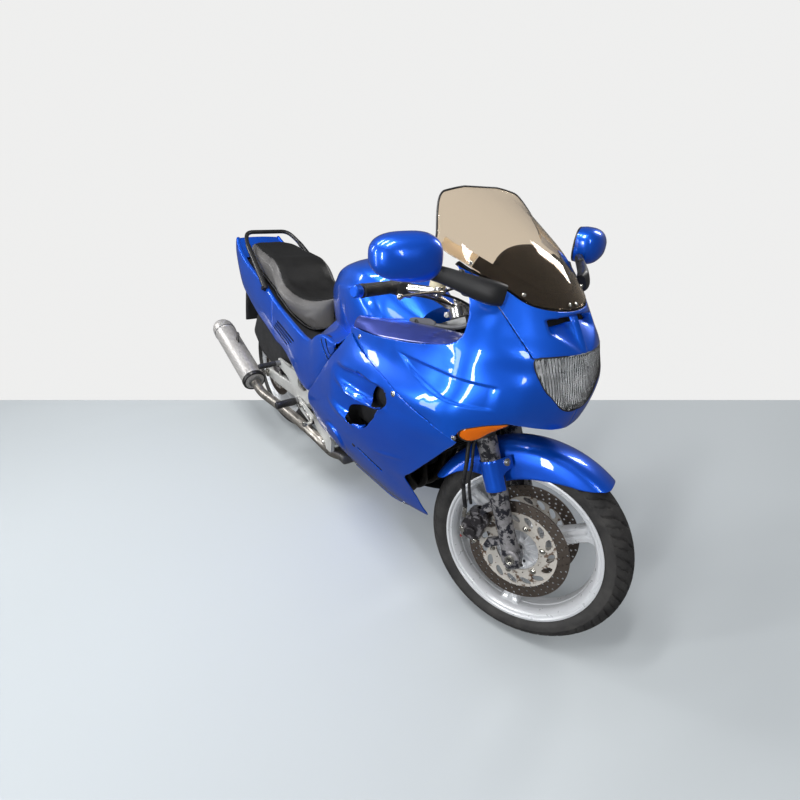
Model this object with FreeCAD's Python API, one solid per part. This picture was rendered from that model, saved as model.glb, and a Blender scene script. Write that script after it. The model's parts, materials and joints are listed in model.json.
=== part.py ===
import FreeCAD, Part
import math
import os

# Sport touring motorcycle with a full fairing, parked on its side stand.
# Everything is first drawn in the upright bike frame (millimetres): X forward,
# Y to the rider's left, Z up, origin on the ground below the rear axle, with
# the steering straight. The steering is then turned, and the whole machine is
# leaned onto its side stand and moved so that the origin is the bottom centre
# of its bounding box.

os.makedirs("parts", exist_ok=True)
V = FreeCAD.Vector

# ---------------------------------------------------------------- main sizes
WHEELBASE = 1505.0
DRAWN_WHEELBASE = 1505.0      # wheelbase for which the tables of the front end are drawn
FRONT_RADIUS = 300.0
REAR_RADIUS = 318.0
FRONT_TYRE_WIDTH = 120.0
REAR_TYRE_WIDTH = 170.0
RIM_RADIUS = 232.0            # outer radius of the rim flanges
RAKE = 27.0                   # steering axis, degrees from the vertical
TRAIL = 110.0
FORK_OFFSET = 35.0            # fork legs ahead of the steering axis
FORK_HALF = 104.0             # fork leg centre from the middle plane
TUBE_RADIUS = 20.5
SLIDER_RADIUS = 28.0
AXLE_RADIUS = 10.0
DISC_RADIUS = 148.0
REAR_DISC_RADIUS = 128.0
DISC_OFFSET = 64.5            # front disc centre from the middle plane
STEER = 20.9                  # parked steering angle, to the left
LEAN = 9.5                    # parked lean, to the left
SKIN = 4.0                    # fairing panel thickness
GAP = 0.4                     # running gap between fitted pieces
SEAM = 0.6                    # gap between neighbouring panels

NOSE_SHIFT = WHEELBASE - DRAWN_WHEELBASE
NOSE_START = 1075.0           # stations ahead of this one move with the front wheel
rake = math.radians(RAKE)
AXIS_DIR = V(-math.sin(rake), 0, math.cos(rake))
AXIS_FWD = V(math.cos(rake), 0, math.sin(rake))
AXIS_POINT = V(WHEELBASE + TRAIL, 0, 0)
REAR_AXLE = V(0, 0, REAR_RADIUS)
FRONT_AXLE = V(WHEELBASE, 0, FRONT_RADIUS)
Y = V(0, 1, 0)


# ------------------------------------------------------------------- helpers
def ahead(x):
    """Station along the bike: the front end moves with the front wheel."""
    return x + NOSE_SHIFT if x > NOSE_START else x


def stretched(line):
    """A table of (x, ...) rows with its front stations moved."""
    return tuple((ahead(row[0]),) + tuple(row[1:]) for row in line)


def steering_point(x, y, z):
    return V(x + NOSE_SHIFT, y, z)


def on_fork(along, forward, side):
    """Point given along the steering axis, ahead of it and to the left."""
    return AXIS_POINT + AXIS_DIR * along + AXIS_FWD * forward + Y * side


def rod(start, end, radius):
    run = end - start
    return Part.makeCylinder(radius, run.Length, start, run)


def block(x0, x1, y0, y1, z0, z1):
    return Part.makeBox(x1 - x0, y1 - y0, z1 - z0, V(x0, y0, z0))


def outline(points):
    return Part.makePolygon(list(points) + [points[0]])


def side_prism(points, y0, y1):
    """Prism over an outline of (x, z) points, from y0 to y1."""
    face = Part.Face(outline([V(x, y0, z) for x, z in points]))
    return face.extrude(V(0, y1 - y0, 0))


def front_prism(points, x0, x1):
    """Prism over an outline of (y, z) points, from x0 to x1."""
    face = Part.Face(outline([V(x0, y, z) for y, z in points]))
    return face.extrude(V(x1 - x0, 0, 0))


def loft(sections):
    return Part.makeLoft([outline(section) for section in sections], True, True)


def mirrored(shape):
    return shape.mirror(V(0, 0, 0), Y)


def fuse(shapes):
    return shapes[0].multiFuse(list(shapes[1:])).removeSplitter()


def pipe(points, radius, bend=0.0):
    """Round bar along straight runs joined by tangent arcs."""
    edges = []
    last = points[0]
    for before, corner, after in zip(points, points[1:], points[2:]):
        back = (before - corner).normalize()
        ahead = (after - corner).normalize()
        half_turn = (math.pi - back.getAngle(ahead)) / 2
        shorter = min((before - corner).Length, (after - corner).Length)
        arc_radius = 0.45 * shorter / math.tan(half_turn)
        if bend:
            arc_radius = min(arc_radius, bend)
        trim = arc_radius * math.tan(half_turn)
        enter = corner + back * trim
        leave = corner + ahead * trim
        middle_dir = (back + ahead).normalize()
        depth = arc_radius / math.cos(half_turn) - arc_radius
        edges.append(Part.makeLine(last, enter))
        edges.append(Part.Arc(enter, corner + middle_dir * depth, leave).toShape())
        last = leave
    edges.append(Part.makeLine(last, points[-1]))
    ring = Part.Wire(Part.makeCircle(radius, points[0], points[1] - points[0]))
    return Part.Wire(edges).makePipeShell([ring], True, False)


def revolved(profile, centre, angle=360.0):
    """Turn a closed outline of (radius, y) points about the wheel axis at centre."""
    points = [centre + V(r, y, 0) for r, y in profile]
    return Part.Face(outline(points)).revolve(centre, V(0, -1, 0), angle)


def polar(centre, radius, degrees, y=0.0):
    a = math.radians(degrees)
    return centre + V(radius * math.cos(a), y, radius * math.sin(a))


# -------------------------------------------------------------------- wheels
def crown_radius(radius, width, shoulder):
    """Radius of the tread arc through the crown and both tread edges."""
    rise = radius - shoulder
    return (width * width / 4 + rise * rise) / (2 * rise)


TREAD_EDGE = 262.0            # radius at which both tyres are widest
FRONT_CROWN = crown_radius(FRONT_RADIUS, FRONT_TYRE_WIDTH, TREAD_EDGE)
REAR_CROWN = crown_radius(REAR_RADIUS, REAR_TYRE_WIDTH, TREAD_EDGE)


def tyre(centre, radius, width, rim_half):
    half = width / 2
    bead = RIM_RADIUS + GAP
    left = centre + V(bead, -rim_half + 4, 0)
    right = centre + V(bead, rim_half - 4, 0)
    wall_a = centre + V(TREAD_EDGE, -half, 0)
    wall_b = centre + V(TREAD_EDGE, half, 0)
    crown = centre + V(radius, 0, 0)
    edges = [
        Part.makeLine(left, wall_a),
        Part.Arc(wall_a, crown, wall_b).toShape(),
        Part.makeLine(wall_b, right),
        Part.makeLine(right, left),
    ]
    return Part.Face(Part.Wire(edges)).revolve(centre, V(0, -1, 0), 360)


def rim(centre, rim_half, hub_half, hub_radius, first_spoke):
    """Cast wheel: rim ring, hub and three broad spokes, bored for the axle."""
    well = RIM_RADIUS - 26
    ring = revolved([(RIM_RADIUS, -rim_half), (RIM_RADIUS, rim_half), (well + 6, rim_half),
                     (well, rim_half - 14), (well, -rim_half + 14), (well + 6, -rim_half)], centre)
    hub = Part.makeCylinder(hub_radius, 2 * hub_half, centre - Y * hub_half, Y)
    pieces = [ring, hub]
    for index in range(3):
        spoke = loft([
            [V(20, -24, -26), V(20, 24, -26), V(20, 24, 26), V(20, -24, 26)],
            [V(well + 4, -20, -20), V(well + 4, 20, -20), V(well + 4, 20, 20), V(well + 4, -20, 20)],
        ])
        spoke.rotate(V(0, 0, 0), V(0, -1, 0), first_spoke + 120 * index)
        spoke.translate(centre)
        pieces.append(spoke)
    bore = Part.makeCylinder(AXLE_RADIUS + GAP, 2 * hub_half + 20, centre - Y * (hub_half + 10), Y)
    return fuse(pieces).cut(bore)


def disc(centre, y, outer, width, inner, hub_radius):
    """Brake disc with its five-armed carrier, one flat plate."""
    ring = Part.makeCylinder(outer, width, centre + Y * (y - width / 2), Y)
    ring = ring.cut(Part.makeCylinder(inner, width, centre + Y * (y - width / 2), Y))
    boss = Part.makeCylinder(hub_radius + 14, width, centre + Y * (y - width / 2), Y)
    pieces = [ring, boss]
    for index in range(5):
        arm = block(hub_radius, inner + 6, -width / 2, width / 2, -9, 9)
        arm.rotate(V(0, 0, 0), Y, 72 * index + 18)
        arm.translate(centre + Y * y)
        pieces.append(arm)
    bore = Part.makeCylinder(hub_radius - 12, 2 * width, centre + Y * (y - width), Y)
    return fuse(pieces).cut(bore)


FRONT_RIM_HALF = 54.0
REAR_RIM_HALF = 76.0
FRONT_HUB_HALF = DISC_OFFSET - 2.25
REAR_HUB_HALF = 92.0
REAR_DISC_OFFSET = -(REAR_HUB_HALF + 2.5)
SPROCKET_OFFSET = REAR_HUB_HALF + 3.0
SPROCKET_RADIUS = 92.0

front_rim = rim(FRONT_AXLE, FRONT_RIM_HALF, FRONT_HUB_HALF, 38, 35)
front_tyre = tyre(FRONT_AXLE, FRONT_RADIUS, FRONT_TYRE_WIDTH, FRONT_RIM_HALF)
front_discs = Part.makeCompound([
    disc(FRONT_AXLE, side * DISC_OFFSET, DISC_RADIUS, 4.5, 112, 40) for side in (-1, 1)])
rear_rim = rim(REAR_AXLE, REAR_RIM_HALF, REAR_HUB_HALF, 42, 90)
rear_tyre = tyre(REAR_AXLE, REAR_RADIUS, REAR_TYRE_WIDTH, REAR_RIM_HALF)
rear_disc = disc(REAR_AXLE, REAR_DISC_OFFSET, REAR_DISC_RADIUS, 5, 92, 42)
rear_sprocket = disc(REAR_AXLE, SPROCKET_OFFSET, SPROCKET_RADIUS, 6, 70, 42)
front_axle = Part.makeCylinder(AXLE_RADIUS, 248, FRONT_AXLE - Y * 124, Y)
rear_axle = Part.makeCylinder(AXLE_RADIUS, 330, REAR_AXLE - Y * 165, Y)

# ------------------------------------------------------------------ steering
LOWER_YOKE = 735.0            # distances along the steering axis
TOP_YOKE = 975.0
YOKE_HEIGHT = 26.0
TUBE_TOP = 1040.0
SLIDER_TOP = 612.0
AXLE_ALONG = TRAIL * math.sin(rake) + FRONT_RADIUS * math.cos(rake)
STEM_RADIUS = 14.0
HEAD_RADIUS = 32.0


def fork_leg(side):
    tube = rod(on_fork(SLIDER_TOP - 40, FORK_OFFSET, side * FORK_HALF),
               on_fork(TUBE_TOP, FORK_OFFSET, side * FORK_HALF), TUBE_RADIUS)
    slider = rod(on_fork(AXLE_ALONG - 34, FORK_OFFSET, side * FORK_HALF),
                 on_fork(SLIDER_TOP, FORK_OFFSET, side * FORK_HALF), SLIDER_RADIUS)
    hole = Part.makeCylinder(AXLE_RADIUS, 300, FRONT_AXLE - Y * 150, Y)
    return tube.fuse(slider).cut(hole)


def yoke(along):
    """Fork clamp: a plate across both legs, bored for the tubes."""
    plate = [V(-30, -FORK_HALF - 20, 0), V(-30, FORK_HALF + 20, 0), V(10, FORK_HALF + 34, 0),
             V(62, FORK_HALF + 30, 0), V(66, FORK_HALF - 28, 0), V(30, 34, 0),
             V(30, -34, 0), V(66, -FORK_HALF + 28, 0), V(62, -FORK_HALF - 30, 0),
             V(10, -FORK_HALF - 34, 0)]
    base = [on_fork(along, p.x, p.y) for p in plate]
    solid = Part.Face(outline(base)).extrude(AXIS_DIR * YOKE_HEIGHT)
    for side in (-1, 1):
        solid = solid.cut(rod(on_fork(along - 20, FORK_OFFSET, side * FORK_HALF),
                              on_fork(along + 60, FORK_OFFSET, side * FORK_HALF),
                              TUBE_RADIUS + 0.2))
    return solid


fork_legs = Part.makeCompound([fork_leg(-1), fork_leg(1)])
stem = rod(on_fork(LOWER_YOKE, 0, 0), on_fork(TOP_YOKE + YOKE_HEIGHT, 0, 0), STEM_RADIUS)
fork_yokes = fuse([yoke(LOWER_YOKE), yoke(TOP_YOKE), stem])

# Front mudguard: (radius, y) section of the shell, then its side outline.
MUD_SECTION = ((326, 0), (321, 42), (305, 64), (275, 71), (205, 73))
MUD_WALL = 3.0
MUD_START = 57.0
MUD_END = 161.0
MUD_EDGE = ((57, 306), (64, 282), (72, 262), (84, 238), (96, 224), (108, 212), (121, 206),
            (128, 238), (142, 276), (161, 300))      # (degrees, radius) of the lower edge


def front_mudguard_shape():
    outer = [(r, y) for r, y in MUD_SECTION]
    inner = [(r - (MUD_WALL if y < 70 else 0), max(0, y - MUD_WALL)) for r, y in MUD_SECTION]
    inner[0] = (outer[0][0] - MUD_WALL, 0)
    half = [(r, -y) for r, y in reversed(outer[1:])] + outer
    lining = list(reversed(inner)) + [(r, -y) for r, y in inner[1:]]
    shell = revolved(half + lining, FRONT_AXLE, MUD_END - MUD_START)
    shell.rotate(FRONT_AXLE, V(0, -1, 0), MUD_START)
    keep = [polar(FRONT_AXLE, r, a) for a, r in MUD_EDGE]
    keep += [polar(FRONT_AXLE, 380, a) for a in (161, 140, 120, 100, 80, 57)]
    return shell.common(side_prism([(p.x, p.z) for p in keep], -100, 100))


mud_boss = rod(on_fork(555, FORK_OFFSET, 71), on_fork(555, FORK_OFFSET, FORK_HALF - 20), 9)
mud_boss = mud_boss.cut(rod(on_fork(400, FORK_OFFSET, FORK_HALF), on_fork(700, FORK_OFFSET, FORK_HALF),
                            SLIDER_RADIUS + 0.3))
front_mudguard = fuse([front_mudguard_shape(), mud_boss, mirrored(mud_boss)])


def caliper(side):
    """Two-piston body over the disc edge, with its lug on the fork slider."""
    centre = polar(FRONT_AXLE, 138, 168)
    outward = (centre - FRONT_AXLE).normalize()
    along = V(-outward.z, 0, outward.x)
    corners = [outward * a + along * b for a, b in ((-42, -50), (34, -50), (34, 50), (-42, 50))]
    body = Part.Face(outline([centre + c + Y * 51 for c in corners])).extrude(Y * 58)
    slot = Part.makeCylinder(DISC_RADIUS + 3, 12, FRONT_AXLE + Y * (DISC_OFFSET - 6), Y)
    lug = block(-10, 74, 72, 92, -16, 16)
    lug.translate(V(centre.x, 0, centre.z))
    solid = body.fuse(lug).cut(slot)
    clear = rod(on_fork(200, FORK_OFFSET, FORK_HALF), on_fork(700, FORK_OFFSET, FORK_HALF),
                SLIDER_RADIUS + 0.3)
    solid = solid.cut(clear)
    solid = max(solid.Solids, key=lambda piece: piece.Volume)
    return solid if side > 0 else mirrored(solid)


front_calipers = Part.makeCompound([caliper(-1), caliper(1)])

# Right handlebar points; the left one is its mirror image.
BAR_RADIUS = 11.0
GRIP_RADIUS = 16.5
BAR_END = steering_point(1026, -348, 947)
GRIP_START = steering_point(1043, -226, 962)
BAR_BEND = steering_point(1115, -128, 950)
CLAMP_ALONG = 1004.0


def handlebar():
    post = on_fork(CLAMP_ALONG + 15, FORK_OFFSET, -FORK_HALF)
    collar = rod(on_fork(CLAMP_ALONG, FORK_OFFSET, -FORK_HALF),
                 on_fork(CLAMP_ALONG + 30, FORK_OFFSET, -FORK_HALF), TUBE_RADIUS + 9)
    bar = pipe([post, BAR_BEND, GRIP_START, BAR_END], BAR_RADIUS, 60)
    grip = rod(GRIP_START, BAR_END, GRIP_RADIUS)
    hole = rod(on_fork(CLAMP_ALONG - 30, FORK_OFFSET, -FORK_HALF),
               on_fork(CLAMP_ALONG + 60, FORK_OFFSET, -FORK_HALF), TUBE_RADIUS + 0.2)
    return fuse([collar, bar, grip]).cut(hole)


LEVER = ((1150, -190, 972), (1178, -204, 976), (1160, -262, 970), (1134, -340, 956))


def hand_controls():
    """Master cylinder, reservoir and lever of one side."""
    bar_run = GRIP_START - BAR_BEND
    collar = rod(BAR_BEND + bar_run * 0.72, BAR_BEND + bar_run * 0.92, BAR_RADIUS + 7)
    cylinder = rod(steering_point(1066, -206, 964), steering_point(1150, -186, 972), 13)
    cup = rod(steering_point(1140, -176, 972), steering_point(1140, -176, 1000), 22)
    lever = pipe([steering_point(*row) for row in LEVER], 6, 30)
    ball = Part.makeSphere(9, steering_point(*LEVER[-1]))
    clear = rod(BAR_BEND, GRIP_START + bar_run * 0.3, BAR_RADIUS + 0.3)
    grip_clear = rod(GRIP_START, BAR_END, GRIP_RADIUS + 0.3)
    return fuse([collar, cylinder, cup, lever, ball]).cut(clear).cut(grip_clear)


right_bar = handlebar()
right_controls = hand_controls()
handlebars = Part.makeCompound([right_bar, mirrored(right_bar)])
hand_levers = Part.makeCompound([right_controls, mirrored(right_controls)])

HOSE_ROUTE = ((1296, -84, 628), (1304, -118, 580), (1316, -130, 525), (1320, -130, 470),
              (1328, -118, 420), (1342, -98, 382))
hose = pipe([on_fork(LOWER_YOKE - 2.2, 14, -66)] + [steering_point(*row) for row in HOSE_ROUTE], 4.5)
brake_hoses = Part.makeCompound([hose, mirrored(hose)])

# ----------------------------------------------------------- engine and frame
ENGINE_REAR = 672.0
ENGINE_FRONT = 1050.0
ENGINE_HALF = 168.0
SUMP_HALF = 96.0
ENGINE_OUTLINE = ((-ENGINE_HALF, 640), (-ENGINE_HALF, 330), (-SUMP_HALF, 192), (SUMP_HALF, 192),
                  (ENGINE_HALF, 330), (ENGINE_HALF, 640))
engine = front_prism(ENGINE_OUTLINE, ENGINE_REAR, ENGINE_FRONT)
engine = engine.cut(side_prism([(ENGINE_FRONT + 1, 300), (930, 191), (ENGINE_FRONT + 1, 191)],
                               -ENGINE_HALF, ENGINE_HALF))
PIVOT = V(560, 0, 350)
PLATE_IN = 150.0
PLATE_OUT = 166.0


# x, inner y, outer y, low z, high z of the side spar sections, from the head back
SPAR = ((1236, 10, 34, 715, 800), (1150, 24, 70, 690, 770), (1085, 150, 186, 664, 735),
        (880, 176, 208, 650, 722), (690, 172, 204, 575, 655), (600, 155, 190, 530, 610))


def frame_side():
    """Right half: head gusset, side spar, pivot plate and stand bracket."""
    spar = loft([[V(x, -inner, low), V(x, -outer, low), V(x, -outer, high), V(x, -inner, high)]
                 for x, inner, outer, low, high in stretched(SPAR)])
    plate = side_prism([(520, 640), (655, 640), (650, 500), (640, 300), (668, 262), (660, 206),
                        (600, 206), (520, 290)], -PLATE_OUT, -PLATE_IN)
    return [spar, plate]


head_tube = rod(on_fork(LOWER_YOKE + YOKE_HEIGHT + 1, 0, 0), on_fork(TOP_YOKE - 1, 0, 0), HEAD_RADIUS)
head_bore = rod(on_fork(LOWER_YOKE, 0, 0), on_fork(TOP_YOKE, 0, 0), STEM_RADIUS + 0.5)
FRONT_STAY_END = ahead(1470.0)
front_stay = side_prism(stretched(((1215, 800), (1245, 742), (1400, 800))) +
                        ((FRONT_STAY_END, 800), (FRONT_STAY_END, 870), (ahead(1400), 880)), -30, 30)
CROSS_TUBES = ((548, 610), (620, 226))
cross = [rod(V(x, -PLATE_OUT, z), V(x, PLATE_OUT, z), 16) for x, z in CROSS_TUBES]
SADDLE_TOP = ((600, 751.6), (560, 761.6))
tank_saddle = side_prism([(560, 612), (600, 612)] + list(SADDLE_TOP), -50, 50)
right_side = frame_side()
frame = fuse([head_tube, front_stay] + right_side + [mirrored(s) for s in right_side] + cross
             + [tank_saddle]).cut(head_bore)

# Subframe rails: from the pivot plates back under the seat.
RAIL_Y = 112.0


def subframe_side():
    rail = pipe([V(505, RAIL_Y + 25, 600), V(300, RAIL_Y, 668), V(60, RAIL_Y, 742),
                 V(-330, RAIL_Y - 46, 792)], 13, 120)
    brace = pipe([V(498, RAIL_Y + 25, 440), V(330, RAIL_Y + 6, 560), V(180, RAIL_Y, 700)], 10, 60)
    return [rail, brace]


rails = subframe_side()
BRIDGES = ((300, 668, 112), (60, 742, 112), (-250, 782, 76))      # x, z, half length
bridges = [rod(V(x, -half, z), V(x, half, z), 10) for x, z, half in BRIDGES]
roots = [block(496, 519.6, -PLATE_OUT, PLATE_OUT, z - 14, z + 14) for z in (600, 440)]
subframe = fuse(rails + [mirrored(s) for s in rails] + bridges + roots)

SWING_IN = 106.0
SWING_OUT = 142.0


# Box arm of the left side, from the pivot back around the axle.
arm = side_prism([(PIVOT.x, 318), (PIVOT.x, 382), (420, 372), (20, 346), (-42, 344),
                  (-42, 292), (20, 290), (420, 300)], SWING_IN, SWING_OUT)
swing_cross = block(352, 430, -SWING_OUT, SWING_OUT, 306, 366)
swing_pivot = rod(V(PIVOT.x, -PLATE_IN + GAP, PIVOT.z), V(PIVOT.x, PLATE_IN - GAP, PIVOT.z), 26)
axle_hole = Part.makeCylinder(AXLE_RADIUS, 340, REAR_AXLE - Y * 170, Y)
swingarm = fuse([arm, mirrored(arm), swing_cross, swing_pivot]).cut(axle_hole)

shock_low = V(440, 0, 366 + 22)
shock_top = V(500, 0, 600 - 14 - 22)
rear_shock = fuse([rod(shock_low, shock_top, 12),
                   rod(shock_low + (shock_top - shock_low) * 0.2,
                       shock_top - (shock_top - shock_low) * 0.1, 32),
                   rod(V(shock_low.x, -20, shock_low.z), V(shock_low.x, 20, shock_low.z), 21.5),
                   rod(V(shock_top.x, -20, shock_top.z), V(shock_top.x, 20, shock_top.z), 21.5)])

# Drive chain: a band around the two sprockets, on the left.
FRONT_SPROCKET = V(620, 0, 352)
FRONT_SPROCKET_RADIUS = 38.0
CHAIN_DEPTH = 12.0


def chain_band():
    y0 = SPROCKET_OFFSET - 6
    run = FRONT_SPROCKET - REAR_AXLE
    tilt = math.atan2(run.z, run.x)
    spread = math.acos((SPROCKET_RADIUS - FRONT_SPROCKET_RADIUS) / run.Length)

    def loop(extra):
        big = SPROCKET_RADIUS + extra
        small = FRONT_SPROCKET_RADIUS + extra
        up, down = tilt + spread, tilt - spread

        def at(centre, radius, angle):
            return centre + V(radius * math.cos(angle), y0, radius * math.sin(angle))
        edges = [
            Part.makeLine(at(REAR_AXLE, big, up), at(FRONT_SPROCKET, small, up)),
            Part.Arc(at(FRONT_SPROCKET, small, up), at(FRONT_SPROCKET, small, tilt),
                     at(FRONT_SPROCKET, small, down)).toShape(),
            Part.makeLine(at(FRONT_SPROCKET, small, down), at(REAR_AXLE, big, down)),
            Part.Arc(at(REAR_AXLE, big, down), at(REAR_AXLE, big, tilt + math.pi),
                     at(REAR_AXLE, big, up)).toShape(),
        ]
        return Part.Face(Part.Wire(edges)).extrude(Y * 12)
    return loop(CHAIN_DEPTH).cut(loop(GAP))


chain = chain_band()

# Rear caliper, above the swingarm on the right.
rear_caliper = side_prism([(52, 348.5), (150, 354.9), (150, 372), (118, 408), (70, 440), (38, 408)],
                          -SWING_IN - 30, -SWING_IN + 40)
rear_caliper = rear_caliper.cut(Part.makeCylinder(REAR_DISC_RADIUS + 3, 13,
                                                  REAR_AXLE + Y * (REAR_DISC_OFFSET - 6.5), Y))
rear_caliper = max(rear_caliper.Solids, key=lambda piece: piece.Volume)

# ------------------------------------------------------------------- exhaust
MUFFLER_RADIUS = 55.0
MUFFLER_FRONT = V(44, 232, 304)
MUFFLER_REAR = V(-402, 226, 462)
PORT_Y = (-150.0, -55.0, 55.0, 150.0)
HEADER_RADIUS = 16.0
BELOW = 162.0                 # height of the header pipes under the engine
BUNDLE = 0.34                 # spacing under the engine as a share of the port spacing


def header(y):
    inner = y * BUNDLE
    return pipe([V(ENGINE_FRONT + GAP, y, 462), V(1094, y, 462), V(1098, y * 0.85, 345),
                 V(1088, inner * 1.25, 262), V(950, inner, BELOW + 2), V(660, inner, BELOW)],
                HEADER_RADIUS, 60)


collector = block(602, 690, -124, 124, 138, 184)


# Link pipes, from the collector to the silencer. The left one runs lower, to
# leave room for the folded side stand.
LINK_RADIUS = 22.0
LINK_ROUTE = {-1: ((652, 96, 162), (606, 150, 174), (545, 180, 204), (430, 195, 230), (300, 206, 248)),
              1: ((652, 96, 162), (600, 158, 165), (500, 174, 172), (300, 192, 208))}


def link(side):
    front = V(MUFFLER_FRONT.x, side * MUFFLER_FRONT.y, MUFFLER_FRONT.z)
    rear = V(MUFFLER_REAR.x, side * MUFFLER_REAR.y, MUFFLER_REAR.z)
    run = (rear - front).normalize()
    route = [V(x, side * y, z) for x, y, z in LINK_ROUTE[side]]
    return pipe(route + [front - run * 80, front - run * GAP], LINK_RADIUS)


exhaust_pipes = fuse([header(y) for y in PORT_Y] + [collector, link(-1), link(1)])


def silencer(side):
    front = V(MUFFLER_FRONT.x, side * MUFFLER_FRONT.y, MUFFLER_FRONT.z)
    rear = V(MUFFLER_REAR.x, side * MUFFLER_REAR.y, MUFFLER_REAR.z)
    run = (rear - front).normalize()
    cone = Part.makeCone(27, MUFFLER_RADIUS, 60, front, run)
    body = rod(front + run * 60, rear - run * 14, MUFFLER_RADIUS)
    tip = Part.makeCone(MUFFLER_RADIUS, MUFFLER_RADIUS - 12, 14, rear - run * 14, run)
    bore = rod(rear - run * 60, rear + run * 2, 26)
    return fuse([cone, body, tip]).cut(bore)


silencers = Part.makeCompound([silencer(-1), silencer(1)])
radiator = fuse([block(1118, 1150, -165, 165, 410, 655),
                 block(ENGINE_FRONT + GAP, 1119, -30, 30, 560, 600)])

# ------------------------------------------------------------ tank and seat
# x, half width, top, shoulder height, bottom of the fuel tank sections. The
# front shoulders are low, so that the handlebars pass over them at full lock.
TANK = ((518, 62, 862, 847, 800), (560, 92, 925, 884, 762), (640, 132, 974, 916, 742),
        (740, 166, 1000, 936, 742), (860, 184, 1004, 940, 770), (912, 178, 996, 908, 778),
        (940, 171, 984, 868, 784), (980, 162, 964, 864, 790), (1070, 120, 918, 856, 816))
TANK_DROP = 44.0              # from the shoulder down to the widest line


def tank_section(x, half, top, shoulder, bottom):
    widest = max(shoulder - TANK_DROP, (shoulder + bottom) / 2)
    right = [(0, top), (half * 0.55, top - 12), (half * 0.88, shoulder), (half, widest),
             (half * 0.93, bottom)]
    return [V(x, -w, z) for w, z in right] + [V(x, w, z) for w, z in reversed(right[1:])]


fuel_tank = loft([tank_section(*row) for row in TANK])
CAP = V(800, 0, 1006)
CAP_RADIUS = 50.0
fuel_tank = fuel_tank.fuse(rod(CAP - V(0, 0, 20), CAP, CAP_RADIUS + 12)).removeSplitter()
fuel_tank = fuel_tank.cut(rod(CAP - V(0, 0, 60), CAP + V(0, 0, 1), 22))
CAP_HINGE = CAP + V(-CAP_RADIUS - 3, 0, 9)
CAP_PIN = 2.0
fuel_cap = fuse([rod(CAP + V(0, 0, GAP), CAP + V(0, 0, 9), CAP_RADIUS),
                 rod(CAP_HINGE - Y * 12, CAP_HINGE + Y * 12, 5),
                 block(CAP_HINGE.x, CAP.x - 30, -12, 12, CAP.z + 5, CAP.z + 9)])
fuel_cap = fuel_cap.cut(rod(CAP_HINGE - Y * 20, CAP_HINGE + Y * 20, CAP_PIN + 0.2))
EAR_Y = 15.0                  # hinge ears on the tank, and the notches that clear them
for side in (-1, 1):
    fuel_cap = fuel_cap.cut(block(CAP_HINGE.x, CAP_HINGE.x + 8, side * EAR_Y - 4, side * EAR_Y + 4,
                                  CAP.z, CAP.z + 20))
cap_ears = [block(CAP_HINGE.x - 4, CAP_HINGE.x + 4, side * EAR_Y - 2.5, side * EAR_Y + 2.5,
                  CAP.z - 5, CAP.z + 13) for side in (-1, 1)]
fuel_tank = fuse([fuel_tank, rod(CAP_HINGE - Y * EAR_Y, CAP_HINGE + Y * EAR_Y, CAP_PIN)] + cap_ears)

# x, half width, top, bottom of the seat sections
SEAT = ((-236, 88, 912, 842), (-180, 112, 917, 838), (-60, 130, 906, 815), (70, 144, 892, 790),
        (130, 150, 868, 776), (180, 154, 806, 756), (270, 156, 788, 720), (360, 146, 782, 690),
        (440, 118, 793, 664), (508, 82, 822, 690))


def seat_section(x, half, top, bottom):
    right = [(0, top), (half * 0.6, top - 4), (half * 0.92, top - 18), (half, top - 42),
             (half - 4, bottom)]
    return [V(x, -w, z) for w, z in right] + [V(x, w, z) for w, z in reversed(right[1:])]


seat_pad = block(52, 68, -40, 40, 742 + 10 + GAP, 800)
seat = fuse([loft([seat_section(*row) for row in SEAT]), seat_pad])

# ------------------------------------------------------------------- fairing
# Upper cowl: half plans (x, half width) from the nose back, one row per height.
UPPER = (
    (690, ((1530, 0), (1526, 60), (1505, 120), (1474, 175), (1412, 258), (1320, 282),
           (1219, 302), (1060, 303), (892, 266))),
    (715, ((1548, 0), (1540, 60), (1514, 120), (1478, 175), (1412, 260), (1320, 285),
           (1219, 303), (1060, 302), (892, 266))),
    (760, ((1562, 0), (1555, 60), (1532, 120), (1500, 178), (1412, 262), (1320, 290),
           (1219, 300), (1060, 293), (892, 252))),
    (820, ((1566, 0), (1559, 60), (1541, 120), (1510, 176), (1412, 247), (1320, 262),
           (1219, 266), (1060, 258), (892, 224))),
    (850, ((1562, 0), (1555, 60), (1537, 120), (1505, 172), (1412, 236), (1320, 253),
           (1219, 260), (1130, 257), (1049, 250))),
    (880, ((1558, 0), (1550, 60), (1529, 118), (1495, 165), (1412, 228), (1360, 240),
           (1320, 246), (1270, 250), (1216, 251))),
    (917, ((1554, 0), (1545, 60), (1516, 122), (1480, 168), (1412, 218), (1385, 227),
           (1370, 230), (1355, 233), (1340, 236))),
    (960, ((1531, 0), (1522, 58), (1492, 115), (1455, 158), (1405, 199), (1380, 210),
           (1366, 214), (1352, 217), (1340, 220))),
    (1010, ((1498, 0), (1489, 58), (1459, 112), (1425, 148), (1395, 172), (1375, 183),
            (1360, 192), (1350, 198), (1340, 203))),
    (1055, ((1466, 0), (1457, 58), (1428, 110), (1398, 142), (1375, 160), (1360, 172),
            (1350, 182), (1342, 192), (1336, 200))),
    (1100, ((1433, 0), (1424, 58), (1396, 108), (1372, 140), (1357, 158), (1347, 172),
            (1341, 182), (1336, 191), (1331, 199))),
)

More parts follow.
